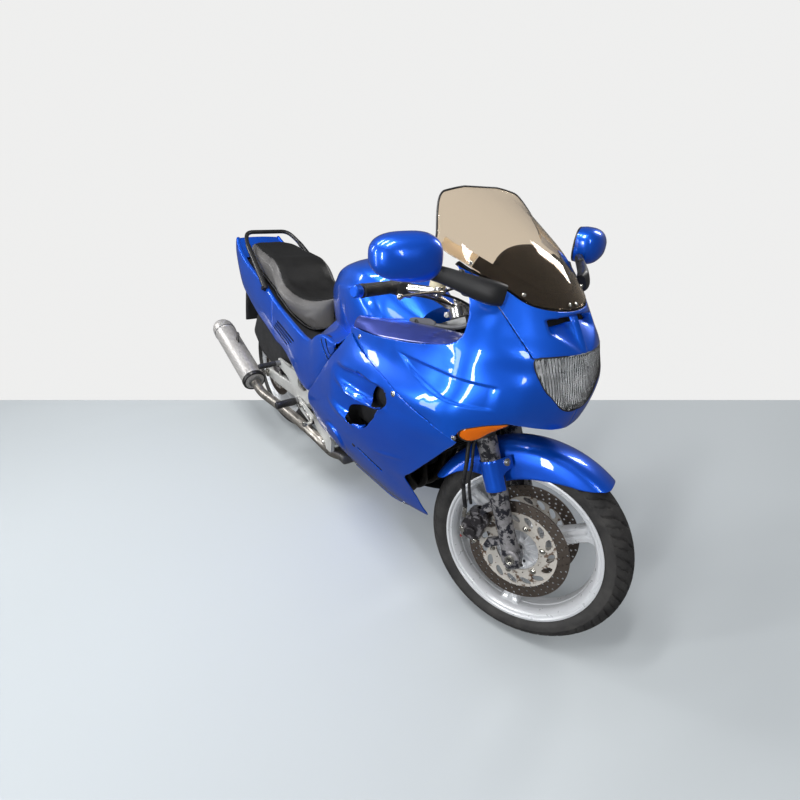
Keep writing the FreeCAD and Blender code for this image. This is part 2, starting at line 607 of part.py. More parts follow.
# Lower fairing of one side: half plans from the front edge back.
LOWER = (
    (136, ((960, 70), (900, 70), (850, 70), (780, 70), (712, 70))),
    (160, ((1030, 78), (980, 82), (920, 84), (850, 84), (705, 82))),
    (210, ((1140, 94), (1070, 114), (980, 123), (850, 125), (702, 120))),
    (241, ((1209, 112), (1100, 136), (980, 146), (850, 148), (698, 142))),
    (285, ((1209, 138), (1100, 166), (980, 176), (850, 180), (690, 170))),
    (340, ((1208, 168), (1100, 196), (980, 208), (850, 214), (664, 204))),
    (400, ((1206, 203), (1100, 224), (980, 237), (850, 246), (634, 224))),
    (442, ((1205, 225), (1100, 243), (980, 254), (850, 260), (612, 234))),
    (480, ((1240, 232), (1120, 257), (1000, 268), (860, 270), (620, 240))),
    (560, ((1310, 242), (1180, 274), (1020, 290), (880, 282), (692, 250))),
    (640, ((1378, 250), (1240, 286), (1080, 301), (920, 292), (762, 255))),
    (700, ((1424, 256), (1300, 288), (1130, 304), (970, 298), (815, 256))),
    (760, ((1424, 261), (1300, 292), (1150, 299), (1000, 286), (868, 248))),
    (820, ((1424, 245), (1300, 262), (1150, 263), (1020, 254), (905, 226))),
)
UPPER = tuple((z, stretched(half)) for z, half in UPPER)
LOWER = tuple((z, stretched(half)) for z, half in LOWER)
# The seam between upper cowl and lower fairing, as (x, z) from front to rear.
SEAM_LINE = stretched(((1440, 683), (1412, 693), (1219, 761), (969, 806), (880, 818)))
SCREEN_LINE = stretched(((1520, 1003), (1442, 1040), (1331, 1097), (1240, 1143)))
CHIN_START = ahead(1405.0)    # the chin line cuts only ahead of this station
NOSE_END = ahead(1620.0)      # ahead of everything
CHIN_LINE = ((0, 718), (60, 727), (120, 741), (180, 757), (252, 725), (263, 690), (320, 690))
LAMP = ((0, 919), (80, 919), (138, 915), (134, 885), (118, 845), (62, 790), (30, 777), (0, 775))


def inset_line(line, depth):
    """Plan points moved inward by depth, square to the line."""
    moved = []
    for index, (x, w) in enumerate(line):
        ahead = line[min(index + 1, len(line) - 1)]
        behind = line[max(index - 1, 0)]
        dx, dw = ahead[0] - behind[0], ahead[1] - behind[1]
        if index == 0 and w == 0:
            dx, dw = 0.0, 1.0
        length = math.hypot(dx, dw)
        moved.append((x - depth * dw / length, w + depth * dx / length))
    if line[0][1] == 0:
        moved[0] = (line[0][0] - depth, 0)
    return moved


def nose_section(z, half, depth):
    """Closed plan of the nose shell at one height, both sides."""
    outer = [V(x, -w, z) for x, w in reversed(half)] + [V(x, w, z) for x, w in half[1:]]
    inner_half = inset_line(half, depth)
    inner = [V(x, w, z) for x, w in reversed(inner_half)] + [V(x, -w, z) for x, w in inner_half[1:]]
    return outer + inner


def nose_solid_section(z, half):
    return [V(x, -w, z) for x, w in reversed(half)] + [V(x, w, z) for x, w in half[1:]]


def above(line, extra, y=400):
    """Everything above a side-view line, kept at a distance from it."""
    low = [(x, z + extra) for x, z in line]
    return side_prism(low + [(line[-1][0], 1400), (line[0][0], 1400)], -y, y)


def below(line, extra, y=400):
    low = [(x, z - extra) for x, z in line]
    return side_prism(low + [(line[-1][0], 0), (line[0][0], 0)], -y, y)


nose_shell = loft([nose_section(z, half, SKIN) for z, half in UPPER])
nose_shell = nose_shell.cut(above(SCREEN_LINE, -SEAM / 2))
nose_shell = nose_shell.cut(below(SEAM_LINE, -SEAM / 2))
chin = list(CHIN_LINE) + [(320, 600), (0, 600)]
chin_cut = front_prism(chin, CHIN_START, NOSE_END)
nose_shell = nose_shell.cut(chin_cut).cut(mirrored(chin_cut))


def lamp_prism(shrink, x0, x1):
    """Lamp opening, symmetrical, seen from the front."""
    centre_z = 850
    half = [(y * (1 - shrink / 140), centre_z + (z - centre_z) * (1 - shrink / 72)) for y, z in LAMP]
    full = half + [(-y, z) for y, z in reversed(half[1:-1])]
    return front_prism(full, x0, x1)


nose_shell = nose_shell.cut(lamp_prism(0, ahead(1440), NOSE_END))
nose_body = loft([nose_solid_section(z, half) for z, half in UPPER])
headlight = nose_body.common(lamp_prism(1.0, FRONT_STAY_END + GAP, NOSE_END))
# Split the cowl: a front panel between the seams, and a side cowl on each side.
centre_prism = front_prism([(-172, 1046), (-139, 914.6), (139, 914.6), (172, 1046), (172, 1120),
                            (-172, 1120)], ahead(1320), NOSE_END)
edge_prism = front_prism([(-172 - SEAM, 1046), (-139 - SEAM, 914), (-139 - SEAM, 700), (-600, 700),
                          (-600, 1200), (-172 - SEAM, 1200)], 800, NOSE_END)
front_panel = nose_shell.common(centre_prism)
front_panel = max(front_panel.Solids, key=lambda piece: piece.Volume)


def side_section(z, half, depth):
    outer = [V(x, -w, z) for x, w in half]
    inner = [V(x, -w, z) for x, w in reversed(inset_line(half, depth))]
    return outer + inner


lower_right = loft([side_section(z, half, SKIN) for z, half in LOWER])
lower_right = lower_right.cut(above(SEAM_LINE, -SEAM / 2))
lower_right = max(lower_right.Solids, key=lambda piece: piece.Volume)
side_cowl_right = nose_shell.common(edge_prism)
side_cowl_right = max(side_cowl_right.Solids, key=lambda piece: piece.Volume)
chin_piece = nose_shell.common(front_prism([(-139.6, 914), (-139.6, 600), (-0.3, 600), (-0.3, 914)],
                                           CHIN_START, NOSE_END))
side_cowl_right = side_cowl_right.fuse(chin_piece).removeSplitter()

# Amber turn signals under the front corners of the side cowls.
SIGNAL = ((-180, 756.6), (-251, 725), (-232, 706))
signal_right = nose_body.common(front_prism(SIGNAL, ahead(1410), NOSE_END))
signal_right = signal_right.cut(loft([nose_solid_section(z, inset_line(half, 26))
                                      for z, half in UPPER[:4]]))
signal_right = max(signal_right.Solids, key=lambda piece: piece.Volume)

# Windscreen: half plans (x, half width), one row per height.
SCREEN = (
    (1000, ((1507, 0), (1499, 55), (1474, 105), (1442, 140), (1412, 165), (1385, 180))),
    (1060, ((1452, 0), (1444, 55), (1421, 107), (1388, 148), (1345, 182), (1290, 204))),
    (1105, ((1402, 0), (1394, 55), (1371, 107), (1338, 150), (1293, 186), (1235, 206))),
    (1150, ((1338, 0), (1329, 55), (1306, 106), (1273, 150), (1234, 184), (1194, 205))),
    (1195, ((1258, 0), (1251, 52), (1234, 100), (1212, 138), (1193, 165), (1176, 186))),
    (1246, ((1158, 0), (1157, 36), (1156, 72), (1154, 104), (1151, 130), (1148, 150))),
)
SCREEN_WALL = 4.0
# Rounded upper corner of the screen, seen from the front: (distance from the middle, z)
SCREEN_CORNER = ((215, 980), (215, 1120), (190, 1172), (164, 1210), (128, 1238), (88, 1250))
windscreen = loft([nose_section(z, stretched(half), SCREEN_WALL) for z, half in SCREEN])
windscreen = windscreen.cut(below(SCREEN_LINE, -SEAM / 2))
screen_outline = [(-y, z) for y, z in SCREEN_CORNER] + [(y, z) for y, z in reversed(SCREEN_CORNER)]
windscreen = windscreen.common(front_prism(screen_outline, ahead(1100), NOSE_END))
windscreen = max(windscreen.Solids, key=lambda piece: piece.Volume)

# Dash under the screen, on its stalk from the front stay.
instrument_panel = fuse([
    side_prism(stretched(((1332, 955), (1400, 985), (1412, 1040), (1348, 1040))), -125, 125),
    side_prism(stretched(((1345, 856.7), (1395, 878.3), (1395, 990), (1352, 965))), -24, 24)])


# x, outer edge, its height, inner edge beyond the fork, rise to the inner edge
COCKPIT = ((960, 232, 826, 86, 40), (1049, 244, 838, 58, 44), (1160, 246, 858, 58, 40),
           (1270, 244, 886, 58, 26), (1334, 236, 906, 58, 14))


def cockpit_panel():
    """Inner panel of the right side, from the cowl edge in beside the steering."""
    sections = []
    for x, edge, z, beyond, rise in stretched(COCKPIT):
        inner = FORK_HALF + beyond
        sections.append([V(x, -edge + 3, z), V(x, -inner, z + rise), V(x, -inner, z + rise - 4),
                         V(x, -edge + 3, z - 4)])
    return loft(sections)


cockpit_right = cockpit_panel()
cockpit_panels = Part.makeCompound([cockpit_right, mirrored(cockpit_right)])

# ----------------------------------------------------- side covers and tail
# x, half width, z low, z high of the blue panels between fairing and tail
SIDE_COVER = ((800, 239, 688, 750), (720, 233, 598, 748), (650, 226, 524, 746), (600, 219, 492, 744),
              (560, 214, 462, 742), (480, 206, 462, 730), (400, 196, 495, 718), (330, 186, 518, 712),
              (250, 176, 536, 720), (170, 168, 540, 738))
TAIL = ((170 - SEAM, 168, 540, 738), (60, 161, 572, 780), (-60, 152, 602, 806), (-180, 142, 646, 834),
        (-280, 132, 694, 876), (-352, 116, 778, 922))


def cover_section(x, half, low, high):
    bulge = half + 8
    middle = (low + high) / 2
    return [V(x, -half, high), V(x, -bulge, middle + 15), V(x, -half + 4, low),
            V(x, -half + 4 + SKIN, low), V(x, -bulge + SKIN, middle + 15), V(x, -half + SKIN, high)]


side_cover_right = loft([cover_section(*row) for row in SIDE_COVER])
tail_right = loft([cover_section(*row) for row in TAIL])
# Rear deck: x, half width, z low, z high, from behind the seat to the tail light
DECK = ((-236.5, 139, 805.4, 842), (-300, 133, 805.4, 880), (-352, 119, 840, 918))
tail_bridge = loft([
    [V(x, -half, low), V(x, half, low), V(x, half - 4, high), V(x, -half + 4, high)]
    for x, half, low, high in DECK])
tail_cowl = fuse([tail_right, mirrored(tail_right), tail_bridge])
# Tail light: x at its foot, x at its top, half width, z low, z high
LIGHT = ((-352 - GAP, -352 - GAP, 112, 800, 914), (-396, -372, 84, 816, 906))
tail_light = loft([
    [V(low_x, -half, low), V(low_x, half, low), V(top_x, half - 3, high), V(top_x, -half + 3, high)]
    for low_x, top_x, half, low, high in LIGHT])
rear_mudguard = side_prism([(240, 640), (60, 700), (-150, 714), (-340, 722), (-404, 560), (-424, 470),
                            (-420, 469), (-400, 559), (-337, 718), (-150, 710), (60, 696),
                            (238, 637)], -74, 74)
mudguard_post = block(52, 68, -30, 30, 697, 742 - 10 - GAP)
rear_mudguard = fuse([rear_mudguard, mudguard_post])
HOOP_Z = 962
GRAB_RADIUS = 11.0
grab_bar = pipe([V(100, -166, 764), V(-176, -132, 925), V(-236, -106, HOOP_Z), V(-236, 106, HOOP_Z),
                 V(-176, 132, 925), V(100, 166, 764)], GRAB_RADIUS, 45)
grab_feet = [block(40, 76, side * 158 - 6, side * 158 + 6, 745, 775) for side in (-1, 1)]
grab_rail = fuse([grab_bar] + grab_feet)
grab_rail = grab_rail.cut(loft([cover_section(*row) for row in TAIL]))
grab_rail = grab_rail.cut(mirrored(loft([cover_section(*row) for row in TAIL])))
grab_rail = max(grab_rail.Solids, key=lambda piece: piece.Volume)

# ------------------------------------------------------------------- mirrors
MIRROR = V(ahead(1296), -348, 1111)
MIRROR_HALF = 80.0
MIRROR_RISE = 50.0
MIRROR_SWEEP = 20.0           # the outer end swept back
# Outline of the shell, as shares of its half width and half height
MIRROR_OUTLINE = ((-1.0, -0.4), (-1.0, 0.4), (-0.72, 0.95), (0.5, 1.0), (0.93, 0.55), (1.0, -0.3),
                  (0.72, -0.9), (-0.6, -1.0))
STALK = ((150, ((1392, 1004), (1438, 1004), (1430, 1034), (1386, 1038))),   # y, (x, z) corners
         (240, ((1344, 1048), (1378, 1046), (1370, 1070), (1338, 1074))),
         (290, ((1288, 1078), (1318, 1076), (1314, 1098), (1286, 1100))))
MIRROR_ROWS = ((-28, 0.97, 0.97), (0, 1.0, 1.0), (26, 0.86, 0.88), (44, 0.5, 0.52))   # x, scale y, z


def mirror_shape():
    shell = loft([
        [MIRROR + V(x, y * MIRROR_HALF * wide, z * MIRROR_RISE * tall) for y, z in MIRROR_OUTLINE]
        for x, wide, tall in MIRROR_ROWS])
    shell.rotate(MIRROR, V(0, 0, 1), -MIRROR_SWEEP)
    stalk = loft([[V(x, -y, z) for x, z in stretched(section)] for y, section in STALK])
    return fuse([shell, stalk])


mirror_right = mirror_shape()
mirror_right = mirror_right.cut(nose_body).cut(front_panel).cut(windscreen)
mirror_right = max(mirror_right.Solids, key=lambda piece: piece.Volume)


def footrests():
    """Hanger plate with the rider's and the passenger's pegs, right side."""
    hanger = side_prism([(519, 520), (519, 380), (440, 330), (380, 330), (380, 372), (300, 420),
                         (212, 440), (212, 480), (330, 470), (450, 540)], -178, -168)
    standoff = block(519.5, 560, -178, -PLATE_OUT - GAP, 420, 500)
    plate = block(500, 530, -178, -168, 400, 510)
    rider = rod(V(420, -178, 352), V(420, -290, 352), 14)
    passenger = rod(V(232, -178, 460), V(232, -280, 460), 13)
    return fuse([hanger, standoff, plate, rider, passenger])


foot_right = footrests()
pedal = fuse([pipe([V(452, -186, 345), V(520, -186, 322), V(575, -205, 322), V(590, -250, 330)], 7, 30),
              rod(V(452, -178.4, 345), V(452, -196, 345), 12)])
footrest_hangers = Part.makeCompound([foot_right, mirrored(foot_right)])
foot_pedals = Part.makeCompound([pedal, mirrored(pedal)])

# ---------------------------------------------------- park: steer and lean


def placement(pitch, lift):
    turn = FreeCAD.Rotation(V(1, 0, 0), -LEAN)
    nod = FreeCAD.Rotation(V(0, 1, 0), pitch)
    return FreeCAD.Placement(V(0, 0, lift), nod.multiply(turn))


steer_turn = FreeCAD.Placement(V(0, 0, 0), FreeCAD.Rotation(AXIS_DIR, STEER), AXIS_POINT)


def lowest(place, centre, axle, radius, crown):
    """Lowest point of a tyre's crown after a placement."""
    up = place.Rotation.multVec(axle).z
    return place.multVec(centre).z - (radius - crown) * math.sqrt(1 - up * up) - crown


pitch, lift = 0.0, 0.0
for _ in range(12):
    trial = placement(pitch, lift)
    front = lowest(trial, steer_turn.multVec(FRONT_AXLE), steer_turn.Rotation.multVec(Y),
                   FRONT_RADIUS, FRONT_CROWN)
    rear = lowest(trial, REAR_AXLE, Y, REAR_RADIUS, REAR_CROWN)
    lift -= rear
    pitch += math.degrees((front - rear) / WHEELBASE)
park = placement(pitch, lift)

# Side stand: from the bracket down to a foot that lies flat on the ground. Its
# pivot is tilted, so that the leg folds back close under the footrest.
STAND_PIVOT = V(632, 184, 236)
STAND_FOOT = V(716, 300, 0)   # x and y of the foot; its height follows from the lean
STAND_AXIS = V(0, 0.9497, 0.3129)
STAND_FOLD = 111.0
PIN_RADIUS = 8.0
ground = park.inverse()
foot_world = park.multVec(V(STAND_FOOT.x, STAND_FOOT.y, 0))
foot = ground.multVec(V(foot_world.x, foot_world.y, 0))
up = ground.Rotation.multVec(V(0, 0, 1))
side_stand = fuse([rod(STAND_PIVOT - STAND_AXIS * 7, STAND_PIVOT + STAND_AXIS * 11, 17),
                   rod(STAND_PIVOT + STAND_AXIS * 2, foot + up * 14, 12),
                   Part.makeCylinder(30, 9, foot, up)])
side_stand = side_stand.cut(rod(STAND_PIVOT - STAND_AXIS * 60, STAND_PIVOT + STAND_AXIS * 60,
                                PIN_RADIUS + 0.3))
side_stand = max(side_stand.Solids, key=lambda piece: piece.Volume)
stand_pin = rod(STAND_PIVOT - STAND_AXIS * 28, STAND_PIVOT + STAND_AXIS * 11.5, PIN_RADIUS)
stand_pin = stand_pin.cut(block(560, 720, 0, PLATE_IN, 150, 300))
frame = frame.fuse(stand_pin).removeSplitter()

# Centre stand, folded back under the swingarm.
CENTRE_PIVOT = V(560, 0, 258)
CENTRE_LEG = 246.0
CENTRE_HALF = 118.0
CENTRE_FOLD = 95.0


def centre_leg(side):
    start = V(CENTRE_PIVOT.x, side * CENTRE_HALF, CENTRE_PIVOT.z)
    end = V(CENTRE_PIVOT.x - CENTRE_LEG, side * CENTRE_HALF, CENTRE_PIVOT.z - 12)
    return [rod(start - Y * 15, start + Y * 15, 16), rod(start, end, 12),
            rod(end + V(0, 0, -2), end + V(-5, side * 16, 24), 10.5)]


centre_cross = rod(V(CENTRE_PIVOT.x - 80, -CENTRE_HALF, CENTRE_PIVOT.z - 4),
                   V(CENTRE_PIVOT.x - 80, CENTRE_HALF, CENTRE_PIVOT.z - 4), 11)
centre_pin_hole = rod(CENTRE_PIVOT - Y * 150, CENTRE_PIVOT + Y * 150, PIN_RADIUS + 0.3)
centre_stand = fuse(centre_leg(-1) + centre_leg(1) + [centre_cross]).cut(centre_pin_hole)
centre_pin = rod(CENTRE_PIVOT - Y * PLATE_IN, CENTRE_PIVOT + Y * PLATE_IN, PIN_RADIUS)
frame = frame.fuse(centre_pin).removeSplitter()

belly_pan = block(714, 950, -70 + SKIN + GAP, 70 - SKIN - GAP, 136, 140)

# --------------------------------------------------------------------- nodes
PARTS = {
    "frame": ("chassis", frame),
    "subframe": ("chassis", subframe),
    "engine": ("chassis", engine),
    "radiator": ("chassis", radiator),
    "exhaust_pipes": ("chassis", exhaust_pipes),
    "silencers": ("chassis", silencers),
    "fuel_tank": ("chassis", fuel_tank),
    "seat": ("chassis", seat),
    "front_panel": ("chassis", front_panel),
    "side_cowl_right": ("chassis", side_cowl_right),
    "side_cowl_left": ("chassis", mirrored(side_cowl_right)),
    "lower_fairing_right": ("chassis", lower_right),
    "lower_fairing_left": ("chassis", mirrored(lower_right)),
    "belly_pan": ("chassis", belly_pan),
    "windscreen": ("chassis", windscreen),
    "headlight": ("chassis", headlight),
    "turn_signals": ("chassis", Part.makeCompound([signal_right, mirrored(signal_right)])),
    "instrument_panel": ("chassis", instrument_panel),
    "cockpit_panels": ("chassis", cockpit_panels),
    "side_cover_right": ("chassis", side_cover_right),
    "side_cover_left": ("chassis", mirrored(side_cover_right)),
    "tail_cowl": ("chassis", tail_cowl),
    "tail_light": ("chassis", tail_light),
    "rear_mudguard": ("chassis", rear_mudguard),
    "grab_rail": ("chassis", grab_rail),
    "mirror_right": ("chassis", mirror_right),
    "mirror_left": ("chassis", mirrored(mirror_right)),
    "swingarm": ("chassis", swingarm),
    "rear_shock": ("chassis", rear_shock),
    "rear_axle": ("chassis", rear_axle),
    "chain": ("chassis", chain),
    "rear_caliper": ("chassis", rear_caliper),
    "footrest_hangers": ("chassis", footrest_hangers),
    "foot_pedals": ("chassis", foot_pedals),
    "fork_yokes": ("steering", fork_yokes),
    "fork_legs": ("steering", fork_legs),
    "front_axle": ("steering", front_axle),
    "front_mudguard": ("steering", front_mudguard),
    "front_calipers": ("steering", front_calipers),
    "handlebars": ("steering", handlebars),
    "hand_levers": ("steering", hand_levers),
    "brake_hoses": ("steering", brake_hoses),
    "front_rim": ("front_wheel", front_rim),
    "front_tyre": ("front_wheel", front_tyre),
    "front_discs": ("front_wheel", front_discs),
    "rear_rim": ("rear_wheel", rear_rim),
    "rear_tyre": ("rear_wheel", rear_tyre),
    "rear_disc": ("rear_wheel", rear_disc),
    "rear_sprocket": ("rear_wheel", rear_sprocket),
    "side_stand": ("side_stand", side_stand),
    "centre_stand": ("centre_stand", centre_stand),
    "fuel_cap": ("fuel_cap", fuel_cap),
}
STEERED = ("steering", "front_wheel")

placed = {}
for name, (body, shape) in PARTS.items():
    solid = shape.copy()
    matrix = park.toMatrix()
    if body in STEERED:
        matrix = matrix.multiply(steer_turn.toMatrix())
    placed[name] = solid.transformed(matrix, True)
box = FreeCAD.BoundBox()
for solid in placed.values():
    box.add(solid.optimalBoundingBox(True, False))
origin = V((box.XMin + box.XMax) / 2, (box.YMin + box.YMax) / 2, 0)
for name, solid in placed.items():
    solid.translate(-origin)
    solid.exportStep("parts/" + name + ".step")
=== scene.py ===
"""Sport bike on its side stand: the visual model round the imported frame.

Shapes are drawn in the upright bike frame of the CAD, in millimetres: X forward,
Y to the rider's left, Z up, origin on the ground below the rear axle, steering
straight. PARK leans the bike onto its stand, in metres, in the row's frame.
"""
import json
import math

import bmesh
import bpy
import numpy as np
from mathutils import Matrix, Vector

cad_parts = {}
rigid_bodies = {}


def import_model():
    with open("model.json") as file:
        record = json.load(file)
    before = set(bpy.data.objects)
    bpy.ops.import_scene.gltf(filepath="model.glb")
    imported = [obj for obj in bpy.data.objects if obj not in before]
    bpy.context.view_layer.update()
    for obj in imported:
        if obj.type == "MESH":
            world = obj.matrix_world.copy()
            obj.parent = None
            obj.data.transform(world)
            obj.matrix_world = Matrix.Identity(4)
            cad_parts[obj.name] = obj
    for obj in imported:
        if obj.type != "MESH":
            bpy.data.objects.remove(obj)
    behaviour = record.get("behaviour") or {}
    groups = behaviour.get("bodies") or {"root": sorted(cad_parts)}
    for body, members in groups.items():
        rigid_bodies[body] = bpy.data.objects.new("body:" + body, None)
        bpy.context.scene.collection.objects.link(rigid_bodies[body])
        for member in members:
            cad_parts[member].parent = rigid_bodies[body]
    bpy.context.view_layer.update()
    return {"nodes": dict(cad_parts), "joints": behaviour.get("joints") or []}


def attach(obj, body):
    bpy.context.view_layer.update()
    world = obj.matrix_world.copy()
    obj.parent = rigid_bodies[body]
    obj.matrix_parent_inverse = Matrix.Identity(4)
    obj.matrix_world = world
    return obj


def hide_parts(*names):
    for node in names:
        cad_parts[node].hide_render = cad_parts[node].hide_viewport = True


for leftover in list(bpy.data.objects):
    bpy.data.objects.remove(leftover)
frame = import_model()

# ------------------------------------------------------------ frame and sizes
MM = 0.001
WELD = 0.00005                # points of a piece nearer than this are one, in metres
FAR = 1e9                     # above any distance on the bike
LEAN = math.radians(9.5)
PITCH = math.radians(0.2098)
STEER = math.radians(20.9)
RAKE = math.radians(27.0)
REAR_AXLE = np.array((0.0, 0.0, 318.0))
FRONT_AXLE = np.array((1505.0, 0.0, 300.0))
HEAD_POINT = np.array((1615.0, 0.0, 0.0))
HEAD_DIR = np.array((-math.sin(RAKE), 0.0, math.cos(RAKE)))
HEAD_FWD = np.array((math.cos(RAKE), 0.0, math.sin(RAKE)))
Y = np.array((0.0, 1.0, 0.0))
UP = (0, 0, 1)

joints = {joint["name"]: joint for joint in frame["joints"]}
axle_row = Vector(joints["rear_wheel_spin"]["pos_m"])
TURN = Matrix.Rotation(PITCH, 4, "Y") @ Matrix.Rotation(-LEAN, 4, "X")
PARK = (Matrix.Translation(axle_row) @ TURN @ Matrix.Scale(MM, 4)
        @ Matrix.Translation(-Vector(REAR_AXLE)))
STEERED = (PARK @ Matrix.Translation(Vector(HEAD_POINT))
           @ Matrix.Rotation(STEER, 4, Vector(HEAD_DIR))
           @ Matrix.Translation(-Vector(HEAD_POINT)))


def on_fork(along, forward, side):
    """Point given along the steering axis, ahead of it and to the left."""
    return HEAD_POINT + HEAD_DIR * along + HEAD_FWD * forward + Y * side


def polar(centre, radius, degrees, y=0.0):
    """Point round a centre in the side view, counted from ahead over the top."""
    a = math.radians(degrees)
    return centre + np.array((radius * math.cos(a), y, radius * math.sin(a)))


# ------------------------------------------------------------- smooth curves
def full_turn(count):
    """Evenly spaced angles round a circle, in radians."""
    return np.arange(count) * 2 * math.pi / count


def hermite(values, knots, targets):
    """Cubic curve through values at knots, read at targets."""
    values = np.asarray(values, float)
    knots = np.asarray(knots, float)
    targets = np.asarray(targets, float)
    shape = (-1,) + (1,) * (values.ndim - 1)
    gap = np.diff(knots)
    slope = np.diff(values, axis=0) / gap.reshape(shape)
    tangent = np.empty_like(values)
    before, after = gap[:-1].reshape(shape), gap[1:].reshape(shape)
    tangent[1:-1] = (slope[:-1] * after + slope[1:] * before) / (before + after)
    tangent[0] = 1.5 * slope[0] - 0.5 * tangent[1] if len(gap) > 1 else slope[0]
    tangent[-1] = 1.5 * slope[-1] - 0.5 * tangent[-2] if len(gap) > 1 else slope[0]
    i = np.clip(np.searchsorted(knots, targets, "right") - 1, 0, len(gap) - 1)
    t = ((targets - knots[i]) / gap[i]).reshape(shape)
    width = gap[i].reshape(shape)
    return ((2 * t**3 - 3 * t**2 + 1) * values[i] + (t**3 - 2 * t**2 + t) * width * tangent[i]
            + (3 * t**2 - 2 * t**3) * values[i + 1] + (t**3 - t**2) * width * tangent[i + 1])


def chords(points):
    """Running length along a list of points."""
    steps = np.linalg.norm(np.diff(points, axis=0), axis=-1)
    if steps.ndim > 1:
        steps = steps.mean(axis=1)
    return np.concatenate(([0.0], np.cumsum(steps)))


def smooth(points, count):
    """Evenly read smooth curve through points."""
    points = np.asarray(points, float)
    knots = chords(points)
    return hermite(points, knots, np.linspace(0, knots[-1], count))


def smooth_loop(points, count):
    """Closed smooth curve through points."""
    points = np.asarray(points, float)
    ring = np.vstack((points[-2:], points, points[:3]))
    knots = chords(ring)
    return hermite(ring, knots, np.linspace(knots[2], knots[2 + len(points)], count + 1)[:-1])


def rounded(points, radius, steps=5):
    """Closed outline with each corner rounded."""
    points = np.asarray(points, float)
    out = []
    for index, corner in enumerate(points):
        before, after = points[index - 1] - corner, points[(index + 1) % len(points)] - corner
        reach_a = min(radius, np.linalg.norm(before) * 0.48)
        reach_b = min(radius, np.linalg.norm(after) * 0.48)
        enter = corner + before / np.linalg.norm(before) * reach_a
        leave = corner + after / np.linalg.norm(after) * reach_b
        for t in np.linspace(0, 1, steps):
            out.append((1 - t) ** 2 * enter + 2 * t * (1 - t) * corner + t * t * leave)
    return np.array(out)


def patch(rows, across, up):
    """Smooth surface through rows of points: array (up, across, 3)."""
    rows = np.asarray(rows, float)
    sideways = chords(np.swapaxes(rows, 0, 1))
    upward = chords(rows)
    wide = np.swapaxes(hermite(np.swapaxes(rows, 0, 1), sideways,
                               np.linspace(0, sideways[-1], across)), 0, 1)
    return hermite(wide, upward, np.linspace(0, upward[-1], up))


